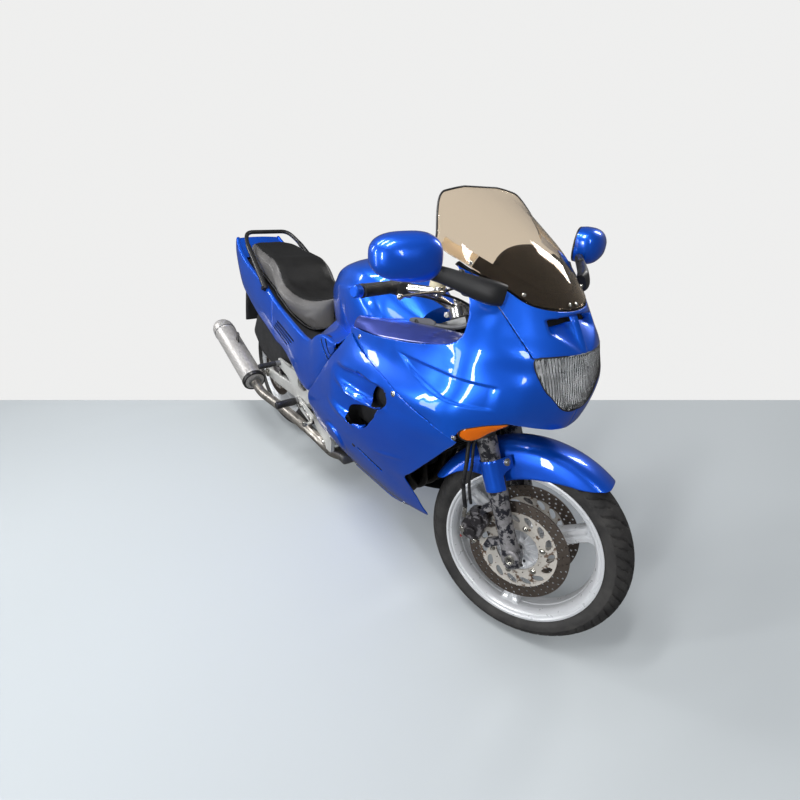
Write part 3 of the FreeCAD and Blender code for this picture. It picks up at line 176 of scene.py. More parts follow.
# ------------------------------------------------------------------- shapes
class Shape:
    """Faces collected in the bike frame, in millimetres."""

    def __init__(self):
        self.points = []
        self.faces = []

    def add(self, points, faces):
        """Take over points, and faces that count from the first of them."""
        start = len(self.points)
        self.points.extend(np.asarray(points, float).reshape(-1, 3))
        self.faces.extend(tuple(i + start for i in face) for face in faces)
        return self

    def join(self, other):
        """Take over the faces of another shape."""
        return self.add(other.points, other.faces)

    def grid(self, net, closed=False):
        """Quads over an array (rows, columns, 3)."""
        rows, columns = net.shape[:2]
        span = columns if closed else columns - 1
        faces = [(r * columns + c, r * columns + (c + 1) % columns,
                  (r + 1) * columns + (c + 1) % columns, (r + 1) * columns + c)
                 for r in range(rows - 1) for c in range(span)]
        return self.add(net, faces)

    def loft(self, rings, cap=True):
        """Closed rings of equal count, joined in turn."""
        rings = np.asarray(rings, float)
        count = rings.shape[1]
        start = len(self.points)
        self.grid(rings, closed=True)
        if cap:
            self.faces.append(tuple(range(start, start + count)))
            last = start + (len(rings) - 1) * count
            self.faces.append(tuple(reversed(range(last, last + count))))
        return self

    def lathe(self, profile, centre, axis, count=48):
        """Outline of (radius, along) turned about an axis through centre."""
        axis = unit(axis)
        side, up = square_to(axis)
        turns = full_turn(count)
        spokes = np.cos(turns)[:, None] * side + np.sin(turns)[:, None] * up
        rings = [np.asarray(centre) + axis * along + spokes * max(radius, 1e-3)
                 for radius, along in profile]
        return self.loft(rings, cap=profile[0] != profile[-1])

    def rod(self, start, end, radius, far_radius=None, edge=1.0, count=24):
        """Round bar or cone with chamfered ends."""
        start, end = np.asarray(start, float), np.asarray(end, float)
        length = np.linalg.norm(end - start)
        far = radius if far_radius is None else far_radius
        edge = min(edge, radius * 0.4, length * 0.3)
        return self.lathe([(radius - edge, 0), (radius, edge), (far, length - edge),
                           (far - edge, length)], start, end - start, count)

    def tube(self, path, radius, count=14, flat=1.0):
        """Round bar along a path of close points; radius may vary."""
        path = np.asarray(path, float)
        radii = np.broadcast_to(radius, len(path))
        heading = unit(np.gradient(path, axis=0))
        side, _ = square_to(heading[0])
        rings = []
        turns = full_turn(count)
        for point, ahead, size in zip(path, heading, radii):
            side = unit(side - ahead * np.dot(side, ahead))
            up = np.cross(ahead, side)
            rings.append(point + size * (np.cos(turns)[:, None] * side
                                         + flat * np.sin(turns)[:, None] * up))
        return self.loft(rings)

    def prism(self, outline, push):
        """Flat outline of 3-D points pushed along a vector."""
        outline = np.asarray(outline, float)
        return self.loft([outline, outline + np.asarray(push, float)])

    def box(self, low, high):
        """Box between two opposite corners."""
        low, high = np.asarray(low, float), np.asarray(high, float)
        corners = [(low[0], low[1]), (high[0], low[1]), (high[0], high[1]), (low[0], high[1])]
        return self.prism([(x, y, low[2]) for x, y in corners], (0, 0, high[2] - low[2]))

    def ball(self, centre, radius, count):
        """Sphere with its poles up and down."""
        angles = np.linspace(-math.pi / 2, math.pi / 2, count // 2 + 1)
        return self.lathe([(radius * math.cos(a), radius * math.sin(a)) for a in angles],
                          centre, (0, 0, 1), count)

    def moved(self, matrix):
        """A copy placed by a 4x4 matrix."""
        made = Shape()
        made.points = [np.array(matrix @ Vector(p)) for p in self.points]
        made.faces = list(self.faces)
        return made

    def mirrored(self):
        """A copy on the other side of the bike."""
        made = Shape()
        made.points = [np.array((p[0], -p[1], p[2])) for p in self.points]
        made.faces = [tuple(reversed(face)) for face in self.faces]
        return made

    def shifted(self, move):
        """A copy whose points lie off by move(points)."""
        points = np.array(self.points)
        made = Shape()
        made.points = list(points + move(points))
        made.faces = list(self.faces)
        return made

    def clipped(self, keep):
        """Cut along keep(points) = 0; the positive side stays."""
        points = np.array(self.points)
        value = np.asarray(keep(points), float)
        inside = value > 0
        made, cuts, faces = list(points), {}, []
        for face in self.faces:
            flags = [inside[i] for i in face]
            if all(flags):
                faces.append(face)
                continue
            if not any(flags):
                continue
            ring = []
            for index, a in enumerate(face):
                b = face[(index + 1) % len(face)]
                if inside[a]:
                    ring.append(a)
                if inside[a] != inside[b]:
                    key = (min(a, b), max(a, b))
                    if key not in cuts:
                        share = value[a] / (value[a] - value[b])
                        cuts[key] = len(made)
                        made.append(points[a] + (points[b] - points[a]) * share)
                    ring.append(cuts[key])
            if len(ring) > 2:
                faces.append(tuple(ring))
        used = sorted({i for face in faces for i in face})
        renumber = {old: new for new, old in enumerate(used)}
        cut = Shape()
        cut.points = [made[i] for i in used]
        cut.faces = [tuple(renumber[i] for i in face) for face in faces]
        return cut

    def both(self):
        """With its mirror image on the other side."""
        return Shape().join(self).join(self.mirrored())


def border(shape):
    """Longest open edge of a sheet, as a closed run of points."""
    spots = np.array(shape.points)
    _, same = np.unique(np.round(spots, 3), axis=0, return_inverse=True)
    same = same.reshape(-1)
    sides, place = {}, {}
    for face in shape.faces:
        for a, b in zip(face, face[1:] + face[:1]):
            key = frozenset((same[a], same[b]))
            sides[key] = sides.get(key, 0) + 1
            place[same[a]] = spots[a]
    links = {}
    for key, count in sides.items():
        if count == 1 and len(key) == 2:
            a, b = key
            links.setdefault(a, []).append(b)
            links.setdefault(b, []).append(a)
    best = []
    while links:
        run = [next(iter(links))]
        while run[-1] in links:
            nexts = [n for n in links.pop(run[-1]) if n in links]
            if not nexts:
                break
            run.append(nexts[0])
        best = max(best, run, key=len)
    return np.array([place[i] for i in best])


def unit(v):
    """Vectors of length one."""
    v = np.asarray(v, float)
    return v / np.linalg.norm(v, axis=-1, keepdims=True)


def square_to(axis):
    """Two directions square to an axis and to each other."""
    axis = unit(axis)
    rough = np.array((0.0, 0.0, 1.0)) if abs(axis[2]) < 0.9 else np.array((1.0, 0.0, 0.0))
    side = unit(np.cross(rough, axis))
    return side, np.cross(axis, side)


def signed_distance(outline, spots):
    """Distance from 2-D spots to a closed outline, positive outside."""
    outline = np.asarray(outline, float)
    a, b = outline, np.roll(outline, -1, axis=0)
    edge = b - a
    best = np.full(len(spots), FAR)
    inside = np.zeros(len(spots), bool)
    for start, run, end in zip(a, edge, b):
        rel = spots - start
        share = np.clip(rel @ run / max(run @ run, 1e-9), 0, 1)
        best = np.minimum(best, np.linalg.norm(rel - share[:, None] * run, axis=1))
        crosses = (start[1] > spots[:, 1]) != (end[1] > spots[:, 1])
        with np.errstate(divide="ignore", invalid="ignore"):
            where = start[0] + (spots[:, 1] - start[1]) * run[0] / run[1]
        inside ^= crosses & (spots[:, 0] < where)
    return np.where(inside, -best, best)


def settled(made, settings):
    """A new node or modifier with its settings."""
    for key, value in settings.items():
        setattr(made, key, value)
    return made


def add_modifier(obj, name, kind, **settings):
    """Put a modifier on an object."""
    return settled(obj.modifiers.new(name, kind), settings)


def weld(mesh, centre):
    """Join equal points and turn all faces one way, outward from a centre if there is one."""
    work = bmesh.new()
    work.from_mesh(mesh)
    bmesh.ops.remove_doubles(work, verts=work.verts, dist=WELD)
    bmesh.ops.recalc_face_normals(work, faces=work.faces)
    if centre is not None:
        lean = sum((f.calc_center_median() - centre).dot(f.normal) * f.calc_area()
                   for f in work.faces)
        if lean < 0:
            bmesh.ops.reverse_faces(work, faces=work.faces)
    work.to_mesh(mesh)
    work.free()


def piece(shape, name, look, stands_for=(), slot=None, body="chassis", steered=False, wall=0.0,
          edge=0.0, lining=None, crease=38.0, outward=None):
    """Make a Blender object of a shape and let it ride on a body.

    wall thickens a sheet inward from its outer face, which looks away from the point outward;
    lining is the material of its inside. edge is the width of a bevel, all in millimetres.
    """
    slot = slot or SLOT_OF[look]
    matrix = np.array(STEERED if steered else PARK)
    points = np.array(shape.points) @ matrix[:3, :3].T + matrix[:3, 3]
    mesh = bpy.data.meshes.new(name)
    mesh.from_pydata(points.tolist(), [], shape.faces)
    mesh.validate()
    obj = bpy.data.objects.new(name, mesh)
    bpy.context.scene.collection.objects.link(obj)
    centre = None
    if outward is not None:
        centre = Vector(matrix[:3, :3] @ np.asarray(outward, float) + matrix[:3, 3])
    weld(mesh, centre)
    mesh.materials.append(look)
    if lining is not None:
        mesh.materials.append(lining)
    mesh.shade_smooth()
    if wall:
        add_modifier(obj, "wall", "SOLIDIFY", thickness=wall * MM, offset=-1.0, use_even_offset=True,
                     thickness_clamp=1.0, material_offset=int(lining is not None))
    if edge:
        add_modifier(obj, "edge", "BEVEL", width=edge * MM, segments=2, limit_method="ANGLE",
                     angle_limit=math.radians(crease))
        add_modifier(obj, "shade", "WEIGHTED_NORMAL", keep_sharp=False, weight=60)
    elif wall:
        add_modifier(obj, "shade", "WEIGHTED_NORMAL", keep_sharp=True)
    else:
        mesh.set_sharp_from_angle(angle=math.radians(crease))
    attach(obj, body)
    if stands_for:
        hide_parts(*stands_for)
    return obj


def painted(shape, name, stands_for=(), **options):
    """A painted panel with a black inside, SKIN thick unless the options say another wall."""
    return piece(shape, name, paint, stands_for, **{"wall": SKIN, "lining": liner, **options})


def sides(shape):
    """A right-hand shape and its mirror image, each with the name of its side."""
    return ("right", shape), ("left", shape.mirrored())


# ---------------------------------------------------------------- materials
class Finish:
    """A node material, built by short calls."""

    def __init__(self, name, colour=(0.5, 0.5, 0.5), **inputs):
        """inputs are sockets of the Principled shader, in small letters with underlines."""
        self.material = bpy.data.materials.new(name)
        self.material.use_nodes = True
        self.tree = self.material.node_tree
        self.shader = self.tree.nodes["Principled BSDF"]
        self.put("Base Color", colour)
        for key, value in inputs.items():
            self.put(key.replace("_", " ").title().replace("Ior", "IOR"), value)
        self.place = self.tree.nodes.new("ShaderNodeTexCoord").outputs["Object"]

    def put(self, socket, value):
        """Set or link a socket of the Principled shader."""
        self.feed(self.shader.inputs[socket], value)

    def node(self, kind, *feeds, **settings):
        """New node with its settings; feeds are (socket, value) pairs."""
        made = settled(self.tree.nodes.new(kind), settings)
        for socket, value in feeds:
            self.feed(made.inputs[socket], value)
        return made

    def feed(self, socket, value):
        """Link a socket to another node's, or set its value."""
        if isinstance(value, bpy.types.NodeSocket):
            self.tree.links.new(value, socket)
        elif isinstance(value, tuple) and len(value) == 3 and socket.type == "RGBA":
            socket.default_value = (*value, 1.0)
        else:
            socket.default_value = value

    def stretched(self, x, y, z):
        """Object coordinates scaled along each axis."""
        return self.node("ShaderNodeMapping", ("Vector", self.place),
                         ("Scale", (x, y, z))).outputs["Vector"]

    def noise(self, scale, detail, rough=0.55, place=None):
        """Cloudy pattern from 0 to 1."""
        return self.node("ShaderNodeTexNoise", ("Vector", place or self.place), ("Scale", scale),
                         ("Detail", detail), ("Roughness", rough)).outputs["Fac"]

    def cells(self, scale, output="Distance"):
        """Small cells, as the distance to their middle or as a colour of each."""
        return self.node("ShaderNodeTexVoronoi", ("Vector", self.place),
                         ("Scale", scale)).outputs[output]

    def ramp(self, value, *stops):
        """Colour ramp; stops are (position, colour or grey)."""
        made = self.node("ShaderNodeValToRGB")
        band = made.color_ramp
        while len(band.elements) < len(stops):
            band.elements.new(0.5)
        for element, (position, colour) in zip(band.elements, stops):
            element.position = position
            grey = not isinstance(colour, tuple)
            element.color = (colour, colour, colour, 1.0) if grey else (*colour, 1.0)
        self.feed(made.inputs["Fac"], value)
        return made.outputs["Color"]

    def mix(self, share, first, second):
        """Two colours mixed; 6, 7 and 2 are the colour sockets of the Mix node."""
        return self.node("ShaderNodeMix", ("Factor", share), (6, first), (7, second),
                         data_type="RGBA").outputs[2]

    def math(self, operation, a, b):
        """Two values put together by an operation."""
        return self.node("ShaderNodeMath", (0, a), (1, b), operation=operation).outputs[0]

    def axis(self, name):
        """One of the object coordinates."""
        return self.node("ShaderNodeSeparateXYZ", (0, self.place)).outputs[name]

    def bump(self, height, strength, distance):
        """Relief of the surface; distance in metres."""
        made = self.node("ShaderNodeBump", ("Strength", strength), ("Distance", distance),
                         ("Height", height))
        self.put("Normal", made.outputs["Normal"])


def make_paint(name, dark, light):
    """Metallic car paint under clear lacquer, with a fine flake."""
    m = Finish(name, metallic=0.6, roughness=0.34, coat_weight=1.0, coat_roughness=0.02,
               coat_ior=1.5)
    flake = m.ramp(m.cells(2600, output="Color"), (0.2, dark), (0.8, light))
    cloud = m.ramp(m.noise(2.4, 2.0), (0.35, dark), (0.7, light))
    m.put("Base Color", m.mix(0.3, cloud, flake))
    m.put("Roughness", m.ramp(m.noise(14, 3.0), (0.3, 0.30), (0.75, 0.38)))
    m.bump(m.noise(140, 2.0), 0.02, 0.0003)
    return m.material


def make_plastic(name, colour, roughness, grain=900, strength=0.15):
    """Moulded plastic with a fine grain and rubbed patches."""
    m = Finish(name)
    pale = tuple(min(1.0, c * 1.5 + 0.01) for c in colour)
    m.put("Base Color", m.ramp(m.noise(9, 5.0), (0.3, colour), (0.85, pale)))
    m.put("Roughness", m.ramp(m.noise(22, 4.0), (0.3, roughness * 0.8), (0.8, roughness * 1.2)))
    m.bump(m.cells(grain), strength, 0.0003)
    return m.material


def make_metal(name, colour, roughness, grime=(0.25, 0.24, 0.22), amount=0.25, grain=60,
               metallic=0.95):
    """Bare or silver-painted metal with dull patches."""
    m = Finish(name, metallic=metallic)
    dull = m.ramp(m.noise(grain * 0.35, 6.0, 0.6), (0.45, 0.0), (0.8, amount))
    m.put("Base Color", m.mix(dull, colour, grime))
    m.put("Roughness", m.ramp(m.noise(grain, 5.0), (0.3, roughness * 0.75), (0.75, roughness * 1.3)))
    m.bump(m.noise(grain * 9, 3.0), 0.05, 0.0003)
    return m.material


def make_rubber(name, colour, roughness):
    """Rubber with dusty patches."""
    m = Finish(name, specular_ior_level=0.35)
    m.put("Base Color", m.ramp(m.noise(30, 6.0), (0.35, colour), (0.8, (0.045, 0.044, 0.044))))
    m.put("Roughness", m.ramp(m.noise(60, 4.0), (0.3, roughness * 0.85), (0.8, roughness * 1.2)))
    m.bump(m.noise(700, 3.0), 0.2, 0.0004)
    return m.material


def make_lens(name, colour, glow=0.9):
    """Coloured moulded lens; glow is the share of light that goes through."""
    m = Finish(name, colour, roughness=0.05, transmission_weight=glow, ior=1.49,
               coat_weight=0.4, coat_roughness=0.03)
    m.put("Base Color", m.ramp(m.noise(30, 2.0), (0.3, tuple(c * 0.86 for c in colour)), (0.8, colour)))
    return m.material


paint = make_paint("blue_paint", (0.0005, 0.090, 0.70), (0.0005, 0.135, 0.86))
plastic = make_plastic("black_plastic", (0.012, 0.012, 0.013), 0.42)
grey_plastic = make_plastic("grey_plastic", (0.10, 0.10, 0.105), 0.5)
liner = make_plastic("inner_black", (0.006, 0.006, 0.007), 0.7, 500, 0.1)
silver = make_metal("frame_silver_paint", (0.64, 0.64, 0.62), 0.36, metallic=0.4)
wheel_silver = make_metal("wheel_silver_paint", (0.72, 0.73, 0.75), 0.34, (0.52, 0.52, 0.53), 0.12,
                          metallic=0.35)
black_steel = make_metal("black_steel", (0.02, 0.02, 0.021), 0.35, (0.06, 0.055, 0.05), 0.4,
                         metallic=0.3)
alloy = make_metal("bright_alloy", (0.72, 0.71, 0.69), 0.22, (0.3, 0.28, 0.25), 0.35)
dull_alloy = make_metal("dull_alloy", (0.30, 0.30, 0.30), 0.5, (0.1, 0.095, 0.085), 0.5)
chrome = make_metal("chrome", (0.86, 0.86, 0.87), 0.08, (0.5, 0.5, 0.5), 0.12)
zinc = make_metal("bolt_zinc", (0.70, 0.69, 0.64), 0.25, (0.35, 0.28, 0.18), 0.4)
engine_look = make_metal("engine_grey", (0.05, 0.05, 0.052), 0.6, (0.02, 0.02, 0.02), 0.5,
                         metallic=0.4)
hose_rubber = make_rubber("hose_rubber", (0.010, 0.010, 0.011), 0.4)
amber = make_lens("amber_lens", (1.0, 0.21, 0.005), glow=0.35)
red_lens = make_lens("tail_lens", (0.75, 0.02, 0.02))


def make_peeling(name, paint_colour, metal_colour, cover):
    """Metal whose paint has flaked off in patches."""
    m = Finish(name)
    patches = m.ramp(m.noise(46, 7.0, 0.66), (cover - 0.02, 0.0), (cover + 0.02, 1.0))
    stain = m.ramp(m.noise(120, 4.0), (0.3, metal_colour),
                   (0.8, tuple(c * 0.6 for c in metal_colour)))
    m.put("Base Color", m.mix(patches, stain, paint_colour))
    m.put("Metallic", m.ramp(patches, (0.0, 0.6), (1.0, 0.0)))
    m.put("Roughness", m.ramp(patches, (0.0, 0.48), (1.0, 0.34)))
    m.bump(patches, 0.5, 0.0006)
    return m.material


def make_tyre(name):
    """Road rubber with greyer dusty patches and varying dullness."""
    m = Finish(name, specular_ior_level=0.35)
    dust = m.ramp(m.noise(18, 8.0, 0.65), (0.35, (0.022, 0.021, 0.021)), (0.75, (0.052, 0.049, 0.046)))
    m.put("Base Color", dust)
    m.put("Roughness", m.ramp(m.noise(45, 4.0), (0.3, 0.5), (0.8, 0.72)))
    m.bump(m.noise(900, 3.0), 0.25, 0.0004)
    return m.material


def make_brushed(name, colour, roughness, axis_scale, grime=(0.28, 0.25, 0.22), amount=0.25,
                 metallic=0.9):
    """Metal with fine lines along or round the piece, and dull patches."""
    m = Finish(name, metallic=metallic)
    lines = m.noise(1.0, 3.0, 0.6, m.stretched(*axis_scale))
    dull = m.ramp(m.noise(26, 6.0, 0.6), (0.42, 0.0), (0.78, amount))
    shade = m.ramp(lines, (0.3, tuple(c * 0.6 for c in colour)), (0.7, colour))
    m.put("Base Color", m.mix(dull, shade, grime))
    m.put("Roughness", m.ramp(lines, (0.2, roughness * 0.8), (0.8, roughness * 1.35)))
    m.bump(lines, 0.05, 0.0003)
    return m.material


def make_heat_tint(name):
    """Steel pipe going from straw to blue where it ran hot."""
    m = Finish(name, metallic=0.9)
    heat = m.ramp(m.axis("X"), (0.0, (0.46, 0.43, 0.39)), (0.08, (0.30, 0.22, 0.15)),
                  (0.16, (0.06, 0.05, 0.045)), (0.3, (0.02, 0.02, 0.021)))
    dirt = m.ramp(m.noise(30, 7.0, 0.62), (0.4, 0.0), (0.75, 0.6))
    m.put("Base Color", m.mix(dirt, heat, (0.09, 0.075, 0.06)))
    m.put("Roughness", m.ramp(m.noise(50, 4.0), (0.3, 0.25), (0.8, 0.5)))
    return m.material


def make_vinyl(name, tone):
    """Black seat vinyl with a fine grain; tone scales its colour."""
    m = Finish(name, specular_ior_level=0.45)
    low, high = (tuple(c * tone for c in pair) for pair in ((0.024, 0.023, 0.023), (0.044, 0.042, 0.040)))
    m.put("Base Color", m.ramp(m.noise(6, 4.0), (0.3, low), (0.8, high)))
    m.put("Roughness", m.ramp(m.noise(16, 4.0), (0.3, 0.40), (0.8, 0.55)))
    m.bump(m.cells(1100), 0.22, 0.0004)
    return m.material


def make_reflector(name):
    """Bright lamp bowl with upright facets in relief; the light and dark bands in its colour are painted
    reflections.
    """
    m = Finish(name, metallic=0.2, roughness=0.14)
    facets_and_glints = m.noise(1.0, 4.0, 0.6, m.stretched(20, 60, 14))
    # light, dark and white bands along the facets, painted into the colour: painted reflections
    m.put("Base Color", m.ramp(facets_and_glints, (0.36, (0.10, 0.10, 0.105)), (0.46, (0.62, 0.62, 0.63)),
                               (0.55, (1.0, 1.0, 1.0))))
    m.bump(facets_and_glints, 0.2, 0.001)
    return m.material


def make_flute_glass(name):
    """Clear moulded lens with upright flutes."""
    m = Finish(name, (0.97, 0.98, 0.99), roughness=0.03, transmission_weight=1.0, ior=1.35,
               coat_weight=0.3, coat_roughness=0.02)
    wave = m.node("ShaderNodeTexWave", wave_type="BANDS", bands_direction="Y")
    m.feed(wave.inputs["Vector"], m.place)
    wave.inputs["Scale"].default_value = 42.0
    wave.inputs["Distortion"].default_value = 1.2
    m.bump(wave.outputs["Fac"], 0.7, 0.002)
    return m.material


tyre_look = make_tyre("tread_rubber")
disc_iron = make_brushed("disc_iron", (0.21, 0.175, 0.15), 0.4, (900, 900, 900), (0.12, 0.09, 0.07), 0.5)
carrier_look = make_peeling("carrier_paint", (0.44, 0.41, 0.37), (0.20, 0.13, 0.09), 0.42)
peeling = make_peeling("peeling_fork_paint", (0.012, 0.012, 0.018), (0.34, 0.33, 0.34), 0.50)
peeling_dark = make_peeling("peeling_caliper_paint", (0.016, 0.014, 0.016), (0.20, 0.19, 0.20), 0.47)
red_rubber = make_rubber("red_rubber", (0.45, 0.02, 0.02), 0.45)
chain_look = make_brushed("chain_steel", (0.30, 0.27, 0.22), 0.35, (300, 300, 300), (0.05, 0.04, 0.03), 0.7)
brushed = make_brushed("silencer_steel", (0.66, 0.64, 0.62), 0.36, (5, 160, 160), (0.36, 0.31, 0.27), 0.25,
                       metallic=0.5)
heat_tint = make_heat_tint("heat_tinted_steel")
# the same vinyl twice: a darker tone on the seat's top, and a lighter grey on its sides that is painted
# sheen
seat_skin = make_vinyl("seat_vinyl", 0.35)
seat_side_sheen = make_vinyl("seat_sheen_vinyl", 3.2)
fluted_glass = make_flute_glass("fluted_glass")
lamp_bowl = make_reflector("lamp_chrome")
mirror_glass = make_metal("mirror_silver", (0.90, 0.91, 0.93), 0.03, (0.7, 0.7, 0.72), 0.1)
pot_look = make_plastic("pot_plastic", (0.42, 0.38, 0.26), 0.35)
dial_look = make_plastic("dial_black", (0.012, 0.012, 0.014), 0.5, 500, 0.05)
dial_marks = make_plastic("dial_white", (0.75, 0.75, 0.72), 0.5, 500, 0.05)
pale_blue = make_paint("inner_panel_paint", (0.03, 0.05, 0.30), (0.06, 0.09, 0.42))
soft_black = make_plastic("soft_black", (0.008, 0.008, 0.009), 0.7, 700, 0.1)
soft_black.node_tree.nodes["Principled BSDF"].inputs["Specular IOR Level"].default_value = 0.15
smoke = Finish("smoke_screen", (0.72, 0.60, 0.46), roughness=0.02, transmission_weight=1.0,
               ior=1.12, coat_weight=0.5, coat_roughness=0.01).material
# Slot that each look goes with, unless a piece names another
SLOTS = {
    "paint_blue": (paint,), "black_plastic": (liner, plastic, soft_black, dial_look),
    "grey_plastic": (grey_plastic, dial_marks, pale_blue, pot_look), "seat_vinyl": (seat_skin,),
    "hose_rubber": (hose_rubber, red_rubber), "tyre": (tyre_look,), "wheel_silver": (wheel_silver,),
    "frame_silver": (silver,), "black_steel": (black_steel,), "bright_alloy": (alloy, zinc),
    "fork_alloy": (dull_alloy, peeling, peeling_dark), "disc_steel": (disc_iron, carrier_look),
    "chain_steel": (chain_look,), "exhaust_steel": (heat_tint,), "silencer_steel": (brushed,),
    "lamp_glass": (chrome, mirror_glass, fluted_glass, lamp_bowl), "amber_lens": (amber,),
    "tail_lens": (red_lens,), "screen_tint": (smoke,), "radiator_black": (engine_look,),
}
SLOT_OF = {look: slot for slot, looks in SLOTS.items() for look in looks}


# ------------------------------------------------------------ section tables
# Upper cowl: (height, half plan of (x, half width) from the nose back)
UPPER = (
    (690, ((1530, 0), (1526, 60), (1505, 120), (1474, 175), (1412, 258), (1320, 282),
           (1219, 302), (1060, 303), (892, 266))),
    (715, ((1548, 0), (1540, 60), (1514, 120), (1478, 175), (1412, 260), (1320, 285),
           (1219, 303), (1060, 302), (892, 266))),
    (760, ((1562, 0), (1555, 60), (1532, 120), (1500, 178), (1412, 262), (1320, 290),
           (1219, 300), (1060, 293), (892, 252))),
    (820, ((1566, 0), (1559, 60), (1541, 120), (1510, 176), (1412, 247), (1320, 262),
           (1219, 266), (1060, 258), (892, 224))),
    (850, ((1562, 0), (1555, 60), (1537, 120), (1505, 172), (1412, 236), (1320, 253),
           (1219, 260), (1060, 251), (892, 220))),
    (880, ((1558, 0), (1550, 60), (1529, 118), (1495, 165), (1412, 228), (1320, 246),
           (1219, 251), (1060, 247), (892, 215))),
    (917, ((1554, 0), (1545, 60), (1516, 122), (1480, 168), (1412, 218), (1320, 239),
           (1219, 244), (1060, 238), (892, 205))),
    (960, ((1531, 0), (1522, 58), (1492, 115), (1455, 158), (1408, 198), (1320, 224),
           (1219, 230), (1060, 224), (892, 192))),
    (1010, ((1498, 0), (1489, 58), (1459, 112), (1425, 148), (1395, 172), (1320, 210),
            (1219, 222), (1060, 216), (892, 184))),
    (1055, ((1466, 0), (1457, 58), (1428, 110), (1398, 142), (1375, 160), (1320, 203),
            (1219, 220), (1060, 214), (892, 182))),
    (1100, ((1433, 0), (1424, 58), (1396, 108), (1372, 140), (1357, 158), (1320, 205),
            (1219, 222), (1060, 214), (892, 182))),
)
# Lower fairing of one side: the same, from the front edge back
LOWER = (
    (136, ((960, 70), (900, 70), (850, 70), (780, 70), (712, 70))),
    (160, ((1030, 78), (980, 82), (920, 84), (850, 84), (705, 82))),
    (210, ((1140, 94), (1070, 114), (980, 123), (850, 125), (702, 120))),
    (241, ((1209, 112), (1100, 136), (980, 146), (850, 148), (698, 142))),
    (285, ((1209, 138), (1100, 166), (980, 176), (850, 180), (690, 170))),
    (340, ((1208, 168), (1100, 196), (980, 208), (850, 214), (664, 204))),
    (400, ((1206, 203), (1100, 224), (980, 237), (850, 246), (634, 224))),
    (442, ((1205, 225), (1100, 243), (980, 254), (850, 260), (612, 234))),
    (480, ((1240, 232), (1120, 257), (1000, 268), (860, 270), (620, 240))),
    (560, ((1310, 242), (1180, 274), (1020, 290), (880, 282), (692, 250))),
    (640, ((1378, 250), (1240, 286), (1080, 301), (920, 292), (762, 255))),
    (700, ((1424, 256), (1300, 288), (1130, 304), (970, 298), (815, 256))),
    (760, ((1424, 261), (1300, 292), (1150, 299), (1000, 286), (868, 248))),
    (820, ((1424, 245), (1300, 262), (1150, 263), (1020, 254), (905, 226))),
)
# Windscreen: the same, from its middle line back
SCREEN = (
    (1000, ((1507, 0), (1499, 55), (1474, 105), (1442, 140), (1412, 165), (1385, 180))),
    (1060, ((1452, 0), (1444, 55), (1421, 107), (1388, 148), (1345, 182), (1290, 204))),
    (1105, ((1402, 0), (1394, 55), (1371, 107), (1338, 150), (1293, 186), (1235, 206))),
    (1150, ((1338, 0), (1329, 55), (1306, 106), (1273, 150), (1234, 184), (1194, 205))),
    (1195, ((1258, 0), (1251, 52), (1234, 100), (1212, 138), (1193, 165), (1176, 186))),
    (1246, ((1158, 0), (1157, 36), (1156, 72), (1154, 104), (1151, 130), (1148, 150))),
)
# Edge of the upper cowl beside the cockpit, as (z, x)
COCKPIT_EDGE = ((826, 892), (838, 960), (850, 1049), (865, 1130), (880, 1216), (893, 1270),
                (904, 1310), (914, 1340), (925, 1358), (945, 1367), (985, 1360), (1025, 1344),
                (1060, 1326), (1100, 1300))
# Side-view lines, as (x, z)
SEAM_LINE = ((880, 818), (969, 806), (1219, 761), (1412, 693), (1440, 683))
SCREEN_LINE = ((1196, 1154), (1218, 1128), (1254, 1107), (1300, 1092), (1345, 1073), (1406, 1046),
               (1450, 1022), (1473, 1014), (1498, 1008), (1520, 1003))
# Front-view lines, as (distance from the middle, z)
CHIN_LINE = ((0, 718), (60, 727), (120, 741), (180, 757), (252, 725), (263, 690), (320, 684))
LAMP = ((80, 919), (138, 915), (134, 885), (118, 845), (62, 790), (30, 777))
# Lower and upper edge of the shallow facet on the side cowl, as (x, z)
FACET = (((1112, 846), (1149, 852), (1261, 811), (1366, 789), (1475, 788)),
         ((1112, 847), (1300, 848), (1509, 846)))
PANEL_FOOT = 914.6            # height of the front panel's lower edge
PANEL_REAR = 1330             # x of its rear edge
PANEL_SEAM = ((PANEL_FOOT, 139), (960, 151), (1046, 172), (1120, 190))  # (z, distance)
CHIN_REAR = 1405              # x behind which the chin line no longer cuts the cowl
SEAM = 1.6                    # half the visible gap between panels
SKIN = 3.2                    # thickness of the fairing
COVER_WALL = 3.0              # and of the other covers
NOSE_COLUMNS = 201
MIDDLE = NOSE_COLUMNS // 2
NOSE_FRONT = slice(28, 173)   # columns of the nose net that face forward


def full_rows(table):
    """Rows of both sides, from the right rear over the middle to the left rear."""
    return [[(x, -w, z) for x, w in reversed(half)] + [(x, w, z) for x, w in half[1:]]
            for z, half in table]


def right_rows(table):
    """Rows of the right side."""
    return [[(x, -w, z) for x, w in half] for z, half in table]


def side_line(line, points):
    """Height of a side-view line at each point."""
    line = np.asarray(line, float)
    knots = np.clip(points[:, 0], line[0, 0], line[-1, 0])
    return hermite(line[:, 1:], line[:, 0], knots)[:, 0]


def panel_seam(points):
    """How far a point lies outside the front panel's seams."""
    line = np.asarray(PANEL_SEAM, float)
    edge = hermite(line[:, 1:], line[:, 0], np.clip(points[:, 2], line[0, 0], line[-1, 0]))[:, 0]
    return np.abs(points[:, 1]) - edge


# ------------------------------------------------------------- upper fairing
NOSE_NET = patch(full_rows(UPPER), NOSE_COLUMNS, 140)
LAMP_LOOP = list(LAMP) + [(-y, z) for y, z in reversed(LAMP)]
LAMP_OUTLINE = rounded(LAMP_LOOP, 16)


def lamp_distance(points):
    """Distance outside the headlight's outline, for points on the nose."""
    away = signed_distance(LAMP_OUTLINE, points[:, 1:3])
    return np.where(points[:, 0] > 1400, away, 100.0)


